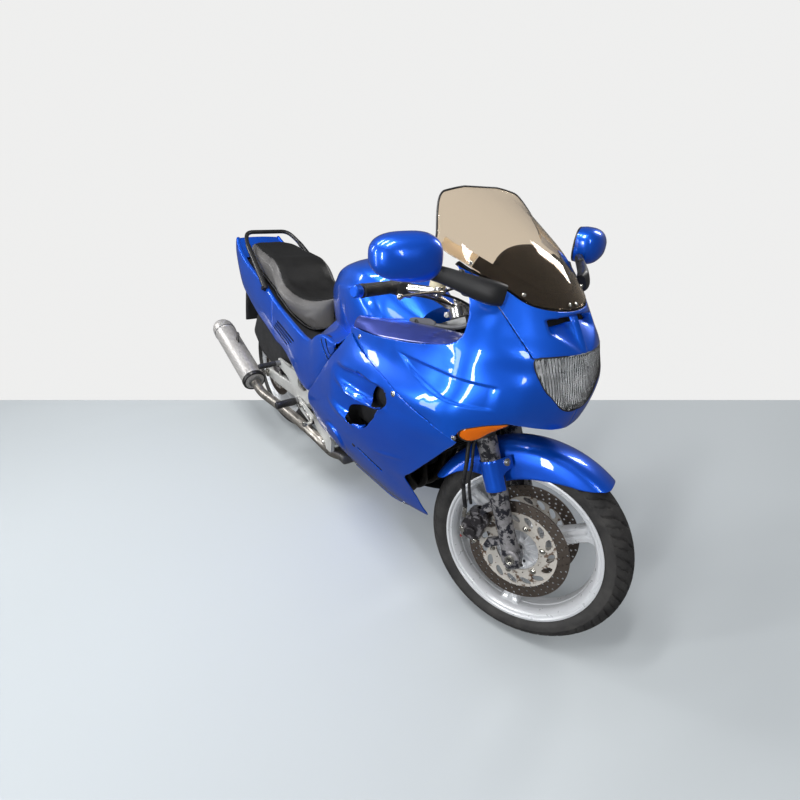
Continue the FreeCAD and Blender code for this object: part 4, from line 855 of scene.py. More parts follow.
def nose_x(y, z):
    """How far forward the nose reaches at a place seen from the front."""
    heights = NOSE_NET[:, MIDDLE, 2]
    row = np.interp(z, heights, np.arange(len(heights)))
    low = int(np.clip(math.floor(row), 0, len(heights) - 2))
    mix = row - low
    line = NOSE_NET[low] * (1 - mix) + NOSE_NET[low + 1] * mix
    front = line[NOSE_FRONT]
    return float(np.interp(y, front[:, 1], front[:, 0]))


def side_w(net, x, z):
    """Half width of a right-hand side net at a place seen from the side."""
    flat = net.reshape(-1, 3)
    gap = (flat[:, 0] - x) ** 2 + (flat[:, 2] - z) ** 2
    near = np.argsort(gap)[:4]
    weight = 1 / (gap[near] + 1e-6)
    return float(-(flat[near, 1] * weight).sum() / weight.sum())


def beside_cockpit(points):
    """Distance behind or above the cockpit opening's edge; kept skin is positive."""
    line = np.asarray(COCKPIT_EDGE, float)
    spots = points[:, (2, 0)]
    outline = np.vstack((line, ((1200, 1250), (1200, 800), (826, 800))))
    return signed_distance(rounded(outline, 8, 4), spots)


def over_chin(points):
    """Distance above the chin line, for points on the nose."""
    chin = np.asarray(CHIN_LINE, float)
    line = np.interp(np.abs(points[:, 1]), chin[:, 0], chin[:, 1])
    return np.where(points[:, 0] > CHIN_REAR, points[:, 2] - line, 10.0)


def sink_facet(points):
    """How far the shallow facet presses each point of the side cowls toward the middle."""
    rows = np.minimum(points[:, 2] - side_line(FACET[0], points),
                      side_line(FACET[1], points) - points[:, 2])
    sunk = 4.5 * np.clip(rows / 5, 0, 1) * np.clip((points[:, 0] - 1118) / 60, 0, 1)
    sunk = np.sign(points[:, 1]) * np.where(points[:, 0] < 1470, sunk, 0)
    return sunk[:, None] * -Y


def build_upper():
    """Front panel, side cowls and the flanges that close the seam below them."""
    nose = Shape().grid(NOSE_NET)
    nose = nose.clipped(lambda p: side_line(SCREEN_LINE, p) - SEAM - p[:, 2])
    nose = nose.clipped(lambda p: p[:, 2] - side_line(SEAM_LINE, p) - SEAM)
    nose = nose.clipped(beside_cockpit).clipped(over_chin).clipped(lambda p: lamp_distance(p) - 1.0)
    panel = nose.clipped(lambda p: np.minimum(-panel_seam(p), p[:, 2] - PANEL_FOOT) - SEAM * 0.6)
    panel = panel.clipped(lambda p: p[:, 0] - PANEL_REAR).clipped(over_slot).shifted(press_ducts)
    painted(panel, "front_panel_skin", ("front_panel",), outward=(1200, 0, 900))
    nose = nose.shifted(sink_facet)
    side = nose.clipped(lambda p: np.maximum(panel_seam(p), PANEL_FOOT - p[:, 2]) - SEAM * 0.6)
    for name, cowl in sides(side.clipped(lambda p: -p[:, 1] - 0.2)):
        painted(cowl, f"side_cowl_{name}_skin", (f"side_cowl_{name}",), outward=(1200, 0, 850))
    inset = NOSE_NET.copy()
    inset[:, :, 1] -= 3.6 * np.sign(inset[:, :, 1])
    flange = Shape().grid(inset)
    flange = flange.clipped(lambda p: 12 - np.abs(p[:, 2] - side_line(SEAM_LINE, p)))
    flange = flange.clipped(lambda p: np.minimum(1380 - p[:, 0], np.abs(p[:, 1]) - 150))
    piece(flange, "fairing_seam_flanges", paint, wall=1.5)


def duct_top(y):
    """Height of the ducts' upper edge."""
    return 1000 - 0.10 * y


def duct_depth(points):
    """How deep the two air ducts of the front panel press the skin in."""
    y, z = np.abs(points[:, 1]), points[:, 2]
    top = duct_top(y)
    bottom = 914 + 0.62 * np.clip(y - 10, 0, None)
    rise = np.clip((z - bottom) / np.maximum(top - bottom, 1), 0, 1)
    wall = np.clip((top - z) / 2.5, 0, 1)
    sides = np.clip((y - 4) / 5, 0, 1) * np.clip((88 - y) / 8, 0, 1)
    return 34 * rise ** 0.9 * wall * sides


def over_slot(points):
    """Distance outside the open slots along the top of the ducts."""
    y, z = np.abs(points[:, 1]), points[:, 2]
    top = duct_top(y)
    return np.maximum.reduce((z - (top - 1), (top - 15) - z, 7 - y, y - 80))


def press_ducts(points):
    """How far the two air ducts press each point of the front panel back and down."""
    return duct_depth(points)[:, None] * np.array((-0.92, 0, -0.2))


# ------------------------------------------------------------- lower fairing
LOWER_NET = patch(right_rows(LOWER), 176, 146)
# Lip of the vents on the right side, as (x, z), from its upper rear round the front and back
VENT_LIP = ((870, 716), (960, 736), (1060, 744), (1130, 742), (1165, 744), (1189, 733),
            (1192, 716), (1176, 690), (1150, 660), (1139, 648), (1109, 606), (1071, 567),
            (1039, 551), (1013, 546), (960, 540), (900, 556), (850, 590), (840, 660))
UPPER_HOLE = ((1078, 690), (1072, 664), (1092, 650), (1136, 664), (1176, 684), (1194, 714),
              (1190, 732), (1164, 740), (1126, 733), (1096, 716))
LOWER_HOLE = ((958, 575), (962, 548), (985, 540), (1013, 552), (1071, 567), (1109, 606),
              (1139, 646), (1100, 636), (1050, 622), (1000, 610), (970, 596))
SLOT = ((984, 436), (988, 446), (1088, 405), (1096, 396), (1090, 388))
# Ribs standing in the vents: height, then (x, z) points from the rear
RIBS = ((6.0, ((880, 727), (960, 727), (1040, 728), (1133, 742))),
        (26.0, ((880, 676), (950, 655), (1010, 643), (1106, 650), (1180, 688))),
        (7.0, ((830, 572), (880, 558), (944, 555), (1004, 548))))


def line_distance(path, points):
    """Height above a side-view line, and how far along it each point lies (0 to 1)."""
    line = np.asarray(path, float)
    x = np.clip(points[:, 0], line[0, 0], line[-1, 0])
    height = points[:, 2] - hermite(line[:, 1:], line[:, 0], x)[:, 0]
    return height, (points[:, 0] - line[0, 0]) / (line[-1, 0] - line[0, 0])


def vent_depth(points):
    """Depth of the scooped vents, with the ribs that stand in them."""
    lip = -signed_distance(smooth_loop(VENT_LIP, 120), points[:, (0, 2)])
    rear = np.clip((points[:, 0] - 850) / 230, 0, 1)
    rear = rear * rear * (3 - 2 * rear)
    sides = np.clip(lip / 26.0, 0, 1)
    sides = np.where(points[:, 0] > 1040, np.clip(lip / 9.0, 0, 1), sides)
    sides = sides * sides * (3 - 2 * sides)
    depth = 46 * rear * sides
    for high, path in RIBS:
        off, share = line_distance(path, points)
        ends = np.clip(share / 0.3, 0, 1) * np.clip((1.06 - share) / 0.1, 0, 1)
        depth -= np.minimum(high, depth * 0.9 + 4) * np.exp(-(off / 12.0) ** 2) * ends
    return depth


COVER_AT = (828, 402)         # middle of the round clutch cover's bulge, as (x, z)
CREASE = ((1087, 488), (1228, 529))


def press_lower(points):
    """How far vents, round cover and crease press each point of the lower fairing inward."""
    cover = np.hypot(points[:, 0] - COVER_AT[0], points[:, 2] - COVER_AT[1])
    raised = 7.0 * np.clip((54 - cover) / 4.0, 0, 1) - 3.0 * np.exp(-((cover - 57) / 3.0) ** 2)
    off, share = line_distance(CREASE, points)
    fold = 2.0 * np.exp(-(off / 7.0) ** 2) * np.clip(share * 4, 0, 1) * np.clip(4 - share * 4, 0, 1)
    return (vent_depth(points) - raised - fold)[:, None] * Y


def build_lower():
    """Lower fairing of both sides with its vents and slots."""
    side = Shape().grid(LOWER_NET).shifted(press_lower)
    side = side.clipped(lambda p: side_line(SEAM_LINE, p) - SEAM - p[:, 2])
    for loop in (smooth_loop(UPPER_HOLE, 60), smooth_loop(LOWER_HOLE, 60), rounded(SLOT, 6)):
        side = side.clipped(lambda p: signed_distance(loop, p[:, (0, 2)]))
    for name, fairing in sides(side):
        painted(fairing, f"lower_fairing_{name}_skin", (f"lower_fairing_{name}",),
                outward=(950, 0, 450))


# ---------------------------------------------------------------- windscreen
SCREEN_NET = patch(full_rows(SCREEN), 121, 90)
SCREEN_REAR = np.array(((1105, 1222), (1140, 1203), (1170, 1185), (1200, 1158), (1250, 1060)), float)


def screen_corner(points):
    """Distance inside the upper edge of the screen with its rounded corners."""
    y = np.abs(points[:, 1])
    top = 1249 - y ** 2 / 1200 - np.clip(y - 132, 0, None) ** 2 / 60 - points[:, 2]
    rear = points[:, 0] - np.interp(points[:, 2], SCREEN_REAR[:, 0], SCREEN_REAR[:, 1])
    return np.minimum(top, rear)


def build_screen():
    """Sheet of the windscreen and the bead along its free edge."""
    screen = Shape().grid(SCREEN_NET)
    screen = screen.clipped(lambda p: p[:, 2] - side_line(SCREEN_LINE, p) - SEAM)
    screen = screen.clipped(screen_corner)
    piece(screen, "windscreen_sheet", smoke, ("windscreen",), wall=3.0, outward=(1200, 0, 1000))
    edge = border(screen)
    above = side_line(SCREEN_LINE, edge) + 6 < edge[:, 2]
    start = next(i for i in range(len(edge)) if above[i] and not above[i - 1])
    above, edge = np.roll(above, -start), np.roll(edge, -start, axis=0)
    path = edge[:int(np.argmin(above))]
    bead = Shape().tube(smooth(path[::2] * (1, 0.995, 1), 200), 2.6, 8)
    piece(bead, "windscreen_bead", hose_rubber)


# -------------------------------------------------------------------- wheels
FRONT_WHEEL = {"body": "front_wheel", "steered": True}
REAR_WHEEL = {"body": "rear_wheel", "steered": False}
FRONT_SIZES = {"centre": FRONT_AXLE, "radius": 300.0, "half": 60.0, "rim_half": 54.0}
REAR_SIZES = {"centre": REAR_AXLE, "radius": 318.0, "half": 85.0, "rim_half": 76.0}
TREAD_EDGE = 262.0
# Half of one tread groove: (distance from the crown, distance along the tread)
GROOVE = ((7, 0), (19, 17), (24, 20), (30, 34), (46, 49), (52, 51), (70, 67))
GROOVE_PITCHES = 30
GROOVE_DEPTH = 5.0
SHORT_DEPTH = 3.4             # of the short grooves between them


def tyre_section(radius, half, rim_half, count):
    """Outline (radius, y) across the tyre, from bead to bead, and arc length from the crown."""
    rise = radius - TREAD_EDGE
    crown = (half * half + rise * rise) / (2 * rise)
    reach = math.asin(min(half / crown, 1.0))
    reach = math.pi - reach if rise > crown else reach
    turns = np.linspace(-reach, reach, count)
    tread = np.stack((radius - crown + crown * np.cos(turns), crown * np.sin(turns)), axis=1)
    wall = np.array(((233.0, rim_half - 4.0), (238.0, rim_half - 1.5), (246.0, half - 2.5),
                     (254.0, half - 0.6)))
    left = wall * (1, -1)
    section = np.vstack((left, tread, wall[::-1]))
    steps = np.linalg.norm(np.diff(section, axis=0), axis=1)
    run = np.concatenate(([0], np.cumsum(steps)))
    return section, run - run[-1] / 2


def build_tyre(name, wheel, sizes, around, across, node):
    """Tyre with its tread; around and across are the points of its net."""
    section, run = tyre_section(sizes["radius"], sizes["half"], sizes["rim_half"], across)
    groove = np.array(GROOVE, float)
    pitch = 2 * math.pi * sizes["radius"] / GROOVE_PITCHES
    turns = full_turn(around)
    along = turns * sizes["radius"]
    rings = np.empty((around, len(section), 3))
    for column, ((radius, y), offset) in enumerate(zip(section, run)):
        share = abs(offset) / sizes["half"] * 60.0
        lead = np.interp(share, groove[:, 0], groove[:, 1]) + (pitch / 2 if offset > 0 else 0)
        gap = (along - lead + pitch / 2) % pitch - pitch / 2
        open_here = 1.0 if GROOVE[0][0] - 2 < share < GROOVE[-1][0] else 0.0
        width = 4.6 - 1.8 * share / 70
        cut = GROOVE_DEPTH * open_here * np.clip((width + 1.3 - np.abs(gap)) / 1.6, 0, 1)
        second = (along - lead - pitch * 0.5 + pitch / 2) % pitch - pitch / 2
        short = 1.0 if 34 < share < GROOVE[-1][0] + 2 else 0.0
        cut = np.maximum(cut, SHORT_DEPTH * short * np.clip((3.4 - np.abs(second)) / 1.6, 0, 1))
        depth = radius - cut
        rings[:, column] = np.stack((depth * np.cos(turns), np.full(around, y),
                                     depth * np.sin(turns)), axis=1)
    rings += sizes["centre"]
    net = np.concatenate((rings, rings[:1]))
    shape = Shape().grid(net)
    bead = np.concatenate((net[:, -1:], net[:, :1]), axis=1)
    shape.grid(bead)
    piece(shape, name, tyre_look, (node,), crease=30, **wheel)


def wheel_rotated(points, centre, degrees):
    """Local points (radial, y, tangential) turned to an angle about the wheel axis."""
    a = math.radians(degrees)
    points = np.asarray(points, float)
    radial = np.array((math.cos(a), 0, math.sin(a)))
    tangent = np.array((-math.sin(a), 0, math.cos(a)))
    return (np.asarray(centre) + points[:, :1] * radial + points[:, 1:2] * Y
            + points[:, 2:] * tangent)


def build_rim(name, wheel, sizes, first_spoke, hub_half, node):
    """Cast wheel: rim, ribbed hub and three grooved spokes."""
    centre, half = sizes["centre"], sizes["rim_half"]
    shape = Shape()
    profile = [(231, half - 5), (233.5, half - 3.5), (233.5, half - 0.8), (231, half), (227, half),
               (225, half - 1.5), (223.5, half - 4.5), (218, half - 5.5), (215.5, half - 8),
               (212, half - 15), (208.5, half - 22), (206.5, half * 0.45), (206.5, 11), (204.5, 8),
               (204.5, 0)]
    profile += [(r, -y) for r, y in reversed(profile[:-1])] + [(231, -half + 5), (231, half - 5)]
    shape.lathe(profile, centre, Y, 176)
    # hub barrel with its flared ends
    barrel = [(13, hub_half - 8), (19, hub_half - 6), (24, hub_half - 2), (27, hub_half - 7),
              (33, hub_half - 16), (57, hub_half - 12), (60, hub_half - 10), (62, hub_half - 1.4),
              (66, hub_half - 1.4), (66, hub_half - 8), (60, hub_half - 18), (41, hub_half - 30),
              (38, 20), (38, 0)]
    barrel += [(r, -y) for r, y in reversed(barrel[:-1])]
    shape.lathe(barrel + [(13, -hub_half + 8), (13, hub_half - 8)], centre, Y, 72)
    for side in (-1, 1):
        for index in range(12):
            web = [(16, 0), (25, 0), (62, 0), (62, -14), (30, -18), (16, -10)]
            shape.loft([wheel_rotated([(r, side * (hub_half - 3 + y), t) for r, y in web], centre,
                                      30 * index + 9) for t in (-1.8, 1.8)])
    for index in range(3):
        rings = []
        for radius, wide, deep in ((30, 27, 25), (60, 25, 24), (120, 23, 22), (168, 22, 21),
                                   (190, 23, 22), (202, 28, 26), (207.5, 37, 31)):
            groove = 5.5 if 50 < radius < 195 else 1.0
            outline = [(-wide, -deep * 0.55), (-wide + 1, -deep * 0.8), (-wide + 5, -deep),
                       (-wide * 0.30, -deep), (-wide * 0.2, -deep + groove),
                       (wide * 0.2, -deep + groove), (wide * 0.30, -deep), (wide - 5, -deep),
                       (wide - 1, -deep * 0.8), (wide, -deep * 0.55)]
            outline += [(-t, -y) for t, y in outline]
            rings.append(wheel_rotated([(radius, y, t) for t, y in outline], centre,
                                       first_spoke + 120 * index))
        shape.loft(rings)
    piece(shape, name, wheel_silver, (node,), crease=32, **wheel)


def pierced(cells, centre, y0, y1):
    """Flat plate of polar cells (r0, r1, start, span in degrees, hole as (t, r) of 12 points)."""
    shape = Shape()
    for r0, r1, start, span, hole in cells:
        third = span / 3
        frame_loop = [(r0, start + third * i) for i in range(3)]
        frame_loop += [(r0 + (r1 - r0) * i / 3, start + span) for i in range(3)]
        frame_loop += [(r1, start + span - third * i) for i in range(3)]
        frame_loop += [(r1 - (r1 - r0) * i / 3, start) for i in range(3)]
        outer = [(r * math.cos(math.radians(a)), r * math.sin(math.radians(a)))
                 for r, a in frame_loop]
        middle, at = (r0 + r1) / 2, math.radians(start + span / 2)
        inner = [((middle + dr) * math.cos(at + dt / middle),
                  (middle + dr) * math.sin(at + dt / middle)) for dt, dr in hole]
        rings = []
        for y, loop in ((y1, outer), (y1, inner), (y0, inner), (y0, outer)):
            rings.append([(centre[0] + a, centre[1] + y, centre[2] + b) for a, b in loop])
        shape.grid(np.array(rings), closed=True)
    return shape


def edge_band(radius, centre, y0, y1, count):
    """Rim of a round plate."""
    turns = full_turn(count)
    ring = np.stack((np.cos(turns) * radius, np.zeros(count), np.sin(turns) * radius), axis=1)
    return Shape().grid(np.array((ring + centre + Y * y0, ring + centre + Y * y1)), closed=True)


def round_hole(radius):
    """Hole of 12 points, as pierced takes it."""
    angles = np.radians(-135 + 30 * np.arange(12))
    return [(radius * math.cos(a), radius * math.sin(a)) for a in angles]


# Slanted drop-shaped slot of the disc carrier, as (along, outward) offsets
DROP = ((-13, -11), (-6, -11), (2, -8), (10, -4), (15, 3), (15, 10), (11, 12), (4, 11), (-4, 8),
        (-10, 3), (-14, -2), (-15, -7))


def build_disc(name, wheel, centre, y, outer, inner, width, node, outward):
    """Drilled friction ring on a slotted carrier with its bolts; outward is -1 on the right."""
    centre = np.asarray(centre) + Y * y
    rows = np.linspace(inner, outer, 4)
    cells = [(rows[row], rows[row + 1], 10 * i + 10 * row / 3, 10, round_hole(3.2))
             for row in range(3) for i in range(36)]
    ring = pierced(cells, centre, -width / 2, width / 2)
    for radius in (inner, outer):
        ring.join(edge_band(radius, centre, -width / 2, width / 2, 108))
    piece(ring, name + "_ring", disc_iron, (node,), crease=35, **wheel)
    carrier_out = inner + 3
    carrier_in = inner * 0.56
    mid = carrier_in + (carrier_out - carrier_in) * 0.30
    scale = (carrier_out - mid) / 36.0
    slots = [(mid, carrier_out, 24 * i, 24, [(t * scale, r * scale) for t, r in DROP])
             for i in range(15)]
    slots += [(carrier_in, mid, 24 * i, 24, round_hole(2.2)) for i in range(15)]
    plate = pierced(slots, centre, outward * 0.4 - 2.6, outward * 0.4 + 2.6)
    for radius in (carrier_in, carrier_out):
        plate.join(edge_band(radius, centre, outward * 0.4 - 2.6, outward * 0.4 + 2.6, 45))
    piece(plate, name + "_carrier", carrier_look, crease=35, **wheel)
    bolts = Shape()
    for index in range(6):
        spot = polar(centre, mid - 4, 60 * index + 25)
        bolts.rod(spot + Y * outward * 2, spot + Y * outward * 5.0, 8.5, count=20)
        bolts.rod(spot + Y * outward * 5, spot + Y * outward * 9.5, 6.2, count=6)
    piece(bolts, name + "_bolts", zinc, **wheel)


def build_sprocket():
    """Rear chain wheel with its teeth and six slots."""
    teeth = 44
    centre = REAR_AXLE + Y * 95.0
    outline = []
    for index in range(teeth):
        for share, radius in ((0.0, 86.5), (0.28, 87.5), (0.42, 93.5), (0.58, 93.5), (0.72, 87.5)):
            outline.append(polar(centre, radius, (index + share) * 360 / teeth))
    inner = [polar(centre, 70, i * 360 / len(outline)) for i in range(len(outline))]
    rings = [np.array(r) + Y * y for r, y in ((outline, 2.5), (inner, 2.5), (inner, -2.5),
                                              (outline, -2.5), (outline, 2.5))]
    shape = Shape().grid(np.array(rings), closed=True)
    slots = [(38, 71, 60 * i, 60, [(t * 1.1, r) for t, r in round_hole(11)]) for i in range(6)]
    shape.join(pierced(slots, centre, -2.5, 2.5))
    shape.join(edge_band(38, centre, -2.5, 2.5, 18))
    piece(shape, "rear_sprocket_toothed", dull_alloy, ("rear_sprocket",), slot="bright_alloy", crease=30,
          **REAR_WHEEL)


def build_chain():
    """Links round both sprockets, on the left."""
    centre_y = 94.0
    big, small = 94.0, 40.0
    front = np.array((620.0, 0.0, 352.0))
    run = front - REAR_AXLE
    length = np.linalg.norm(run)
    tilt = math.degrees(math.atan2(run[2], run[0]))
    spread = math.degrees(math.acos((big - small) / length))
    path = [polar(REAR_AXLE, big, a) for a in np.linspace(tilt + 360 - spread, tilt + spread, 40)]
    path += [polar(front, small, a) for a in np.linspace(tilt + spread, tilt - spread, 16)]
    path.append(path[0])
    path = np.array(path) + Y * centre_y
    knots = chords(path)
    count = 2 * int(knots[-1] / 15.9 / 2)
    spots = np.stack([np.interp(np.linspace(0, knots[-1], count, endpoint=False), knots, path[:, i])
                      for i in range(3)], axis=1)
    links, rollers = Shape(), Shape()
    for index in range(count):
        a, b = spots[index], spots[(index + 1) % count]
        along = unit(b - a)
        across = np.cross(Y, along)
        wide = 6.4 if index % 2 else 4.6
        for side in (-1, 1):
            ring = []
            for end, sign in ((a, -1), (b, 1)):
                for turn in np.linspace(-90, 90, 5):
                    t = math.radians(turn)
                    ring.append(end + sign * along * 6.0 * math.cos(t)
                                + sign * across * 6.0 * math.sin(t))
            ring = np.array(ring) + Y * side * wide
            links.prism(ring, Y * side * 1.6)
        rollers.rod(a - Y * 8, a + Y * 8, 3.6, count=8)
    piece(links, "chain_links", chain_look, ("chain",), crease=30)
    piece(rollers, "chain_pins", dull_alloy, slot="chain_steel", crease=50)


# ---------------------------------------------------------- fork and brakes
FORK_HALF = 104.0
FORK_OFFSET = 35.0
STEERING = {"body": "steering", "steered": True}


# Lugs that carry the calipers, as (along the fork, ahead of the leg)
CALIPER_LUGS = (((352, -20), (372, -22), (368, -62), (350, -78), (338, -74), (344, -54)),
                ((456, -18), (480, -18), (470, -52), (452, -66), (440, -62), (448, -46)))


def fork_point(along, out, forward, side):
    """Point by a fork leg: outward of its centre and ahead of it; side is -1 on the right."""
    return on_fork(along, FORK_OFFSET + forward, side * (FORK_HALF + out))


def build_fork_legs():
    """Sliders with axle boss and caliper lugs, tubes and dust seals."""
    sliders, tubes, seals = Shape(), Shape(), Shape()
    profile = [(14, 283), (21, 285), (25, 292), (27, 304), (27, 330), (24.5, 346), (24.5, 430),
               (26, 470), (28.6, 500), (28.6, 640), (29.6, 644), (29.6, 668), (27, 671)]
    seal = [(20.6, 671), (27.5, 671), (28.5, 675), (27, 681), (23, 686), (21.2, 692)]
    for side in (-1, 1):
        foot = on_fork(0, FORK_OFFSET, side * FORK_HALF)
        sliders.lathe(profile, foot, HEAD_DIR, 40)
        seals.lathe(seal, foot, HEAD_DIR, 36)
        tubes.rod(foot + HEAD_DIR * 640, foot + HEAD_DIR * 1036, 20.4, count=32)
        # axle boss and its pinch bolts
        boss = FRONT_AXLE + Y * side * 84
        sliders.lathe([(8, 0), (24, 0), (26, 3), (26, 44), (23, 47), (10, 47)], boss, Y * side, 32)
        for along in (296, 338):
            for out in (-12, 12):
                spot = fork_point(along, out, 26, side)
                seals.rod(spot, spot + HEAD_FWD * 6, 4.2, count=6)
        for lug in CALIPER_LUGS:
            sliders.prism([fork_point(a, -8, f, side) for a, f in lug], Y * side * 14)
    piece(sliders, "fork_sliders", peeling, ("fork_legs",), crease=40, **STEERING)
    piece(tubes, "fork_tubes", black_steel, **STEERING)
    piece(seals, "fork_seals", hose_rubber, **STEERING)


def build_front_axle():
    """Front axle, its nuts and the caps of the fork tubes."""
    bolts = Shape()
    for side in (-1, 1):
        outer = FRONT_AXLE + Y * side * 129
        bolts.lathe([(0, 2), (7.5, 2), (8, 6), (12.5, 7), (14.5, 4), (15, 0), (15, -6)], outer,
                    Y * side, 36)
        bolts.rod(FRONT_AXLE + Y * side * 60, FRONT_AXLE + Y * side * 124, 10, count=24)
        top = fork_point(1036, 0, 0, side)
        bolts.rod(top, top + HEAD_DIR * 6, 18, count=28)
        bolts.rod(top + HEAD_DIR * 6, top + HEAD_DIR * 16, 9, count=6)
    bolts.rod(FRONT_AXLE - Y * 62, FRONT_AXLE + Y * 62, 9.8, count=20)
    stem = on_fork(1001, 0, 0)
    bolts.rod(stem, stem + HEAD_DIR * 14, 17, count=6)
    piece(bolts, "front_axle_and_caps", zinc, ("front_axle",), **STEERING)


def mud_net(around, across):
    """Outer skin of the front mudguard: array (around, across, 3)."""
    half = np.array(((326, 0), (325.4, 16), (323.6, 30), (320, 44), (312, 57), (300, 65),
                     (280, 69.5), (240, 72), (200, 73)), float)
    knots = chords(half)
    edge = np.array(((57, 322), (57.8, 315), (59.5, 306), (62, 292), (66, 276), (72, 262), (84, 240),
                     (96, 226), (108, 215), (118, 208), (124, 216), (131, 240), (142, 272),
                     (152, 288), (158, 300), (160.3, 314), (161, 322)), float)
    angles = np.concatenate((np.linspace(57, 62, 12)[:-1], np.linspace(62, 158, around - 20),
                             np.linspace(158, 161, 10)[1:]))
    lows = hermite(edge[:, 1:], edge[:, 0], angles)[:, 0]
    fine = np.linspace(0, knots[-1], 200)
    line = hermite(half, knots, fine)
    rows = []
    for angle, low in zip(angles, lows):
        reach = np.interp(-low, -line[:, 0], fine)
        spots = hermite(half, knots, np.abs(np.linspace(-reach, reach, across)))
        signs = np.sign(np.linspace(-1, 1, across))
        rows.append([polar(FRONT_AXLE, r, angle, y * s) for (r, y), s in zip(spots, signs)])
    return np.array(rows)


def build_mudguard():
    """Front mudguard with the covers that hold it to the fork legs."""
    skin = Shape().grid(mud_net(110, 61))
    painted(skin, "front_mudguard_skin", ("front_mudguard",), wall=3.0, crease=60,
            outward=tuple(FRONT_AXLE), **STEERING)
    tabs, screws = Shape(), Shape()
    for side in (-1, 1):
        rows = []
        for along in np.linspace(516, 604, 12):
            row = []
            for turn in np.linspace(-115, 58, 18):
                a = math.radians(turn)
                row.append(fork_point(along, 32.5 * math.cos(a), 32.5 * math.sin(a), side))
            shoulder = row[-1]
            reach = fork_point(along, -33, 62, side)
            reach = shoulder + (reach - shoulder) * np.clip((along - 560) / 14, 0.12, 0.75)
            for share in (0.35, 0.7, 1.0):
                row.append(shoulder + (reach - shoulder) * share)
            rows.append(row)
        tabs.grid(np.array(rows))
        spot = fork_point(590, -4, 44, side)
        away = unit(np.cross(HEAD_DIR, fork_point(588, -33, 62, side)
                             - fork_point(588, 17, 28, side)))
        away = away if away[1] * side > 0 else -away
        screws.lathe([(0, 7), (4, 7), (6.5, 6), (7, 3), (10.5, 2.2), (11, 0), (11, -3)], spot, away,
                     24)
    painted(tabs, "mudguard_fork_covers", wall=2.4, outward=tuple(on_fork(560, FORK_OFFSET, 0)),
            **STEERING)
    piece(screws, "mudguard_screws", zinc, **STEERING)


def build_front_calipers():
    """Calipers behind the fork legs with bolts, hose fittings and bleed caps."""
    bodies, silver_bits, red_bits = Shape(), Shape(), Shape()
    centre = polar(FRONT_AXLE, 138, 168)
    outward = unit(centre - FRONT_AXLE)
    along = np.array((-outward[2], 0, outward[0]))

    def at(a, b, y, side):
        """Point outward of the disc's middle by a, round the wheel by b and out to y."""
        return centre + outward * a + along * b + Y * side * y
    outline = rounded([(-34, -48), (6, -50), (32, -34), (34, 30), (14, 50), (-26, 48), (-38, 20),
                       (-30, 0), (-38, -20)], 12, 4)
    bridge = rounded([(14, -46), (33, -34), (34, 32), (18, 47)], 6, 3)
    for side in (-1, 1):
        bodies.loft([[at(a * wide, b * tall, y, side) for a, b in outline]
                     for y, wide, tall in ((74, 1, 1), (92, 1, 1), (100, 0.94, 0.95))])
        for loop, near, far in ((outline, 52, 58), (bridge, 57, 76)):
            bodies.loft([[at(a, b, y, side) for a, b in loop] for y in (near, far)])
        for b in (-23, 23):
            bodies.lathe([(0, 9), (15, 9), (17, 7), (19.5, 0), (20, -4)], at(-4, b, 99, side),
                         Y * side, 30)
            silver_bits.rod(at(26, b * 1.2, 92, side), at(26, b * 1.2, 105, side), 5.5, count=6)
        silver_bits.rod(at(10, 44, 88, side), at(16, 62, 88, side), 4.2, 3.0, count=12)
        silver_bits.rod(at(-26, 40, 96, side), at(-26, 40, 106, side), 6.5, count=6)
        red_bits.rod(at(16, 60, 88, side), at(17, 66, 88, side), 4.4, 3.4, count=12)
        fitting = np.array((1340, side * 118, 386))
        silver_bits.rod(fitting, fitting + np.array((2, side * -6, -34)), 6.2, count=14)
        silver_bits.rod(at(20, 30, 94, side), at(20, 30, 108, side), 8.5, count=6)
    piece(bodies, "front_caliper_bodies", peeling_dark, ("front_calipers",), edge=1.2, crease=35,
          **STEERING)
    piece(silver_bits, "caliper_fittings", zinc, **STEERING)
    piece(red_bits, "bleed_caps", red_rubber, **STEERING)


HOSE_ROUTE = ((1296, 84, 628), (1304, 118, 580), (1316, 130, 525), (1320, 130, 470),
              (1330, 122, 420), (1340, 118, 388))


def build_hoses():
    """Brake hoses from the lower yoke to the calipers."""
    hoses, ends = Shape(), Shape()
    for side in (-1, 1):
        top = on_fork(730, 14, side * 66)
        route = [top] + [np.array((x, side * y, z)) for x, y, z in HOSE_ROUTE]
        hoses.tube(smooth(route, 70), 6.2, 12)
        second = [p + np.array((16, side * (6 - 2 * i), 4)) for i, p in enumerate(route[:-1])]
        second.append(np.array((1352, side * 112, 402)))
        hoses.tube(smooth(second, 70), 4.6, 10)
        for share in (2, 4):
            spot = route[share]
            ends.rod(spot - np.array((0, 0, 6)), spot + np.array((0, 0, 6)), 7.2, count=16)
    piece(hoses, "brake_hose_lines", hose_rubber, ("brake_hoses",), **STEERING)
    piece(ends, "hose_grommets", plastic, **STEERING)


# ------------------------------------------------------------ nose fittings
def egg(count, power):
    """Unit superellipse as (across, up) points."""
    turns = full_turn(count)
    c, s = np.cos(turns), np.sin(turns)
    return np.stack((np.sign(c) * np.abs(c) ** (2 / power), np.sign(s) * np.abs(s) ** (2 / power)),
                    axis=1)


def sections(spots, across, up, halves, power=2.4, count=28):
    """Superelliptic rings at spots; halves are (across, up) sizes."""
    shape = egg(count, power)
    return [np.asarray(spot) + shape[:, :1] * a * across + shape[:, 1:] * b * up
            for spot, (a, b) in zip(spots, halves)]


def side_spot(net, x, z):
    """Place on a right-hand side net and the direction out of it."""
    def at(x, z):
        return np.array((x, -side_w(net, x, z), z))
    out = unit(np.cross(at(x + 14, z) - at(x - 14, z), at(x, z + 14) - at(x, z - 14)))
    return at(x, z), out if out[1] < 0 else -out


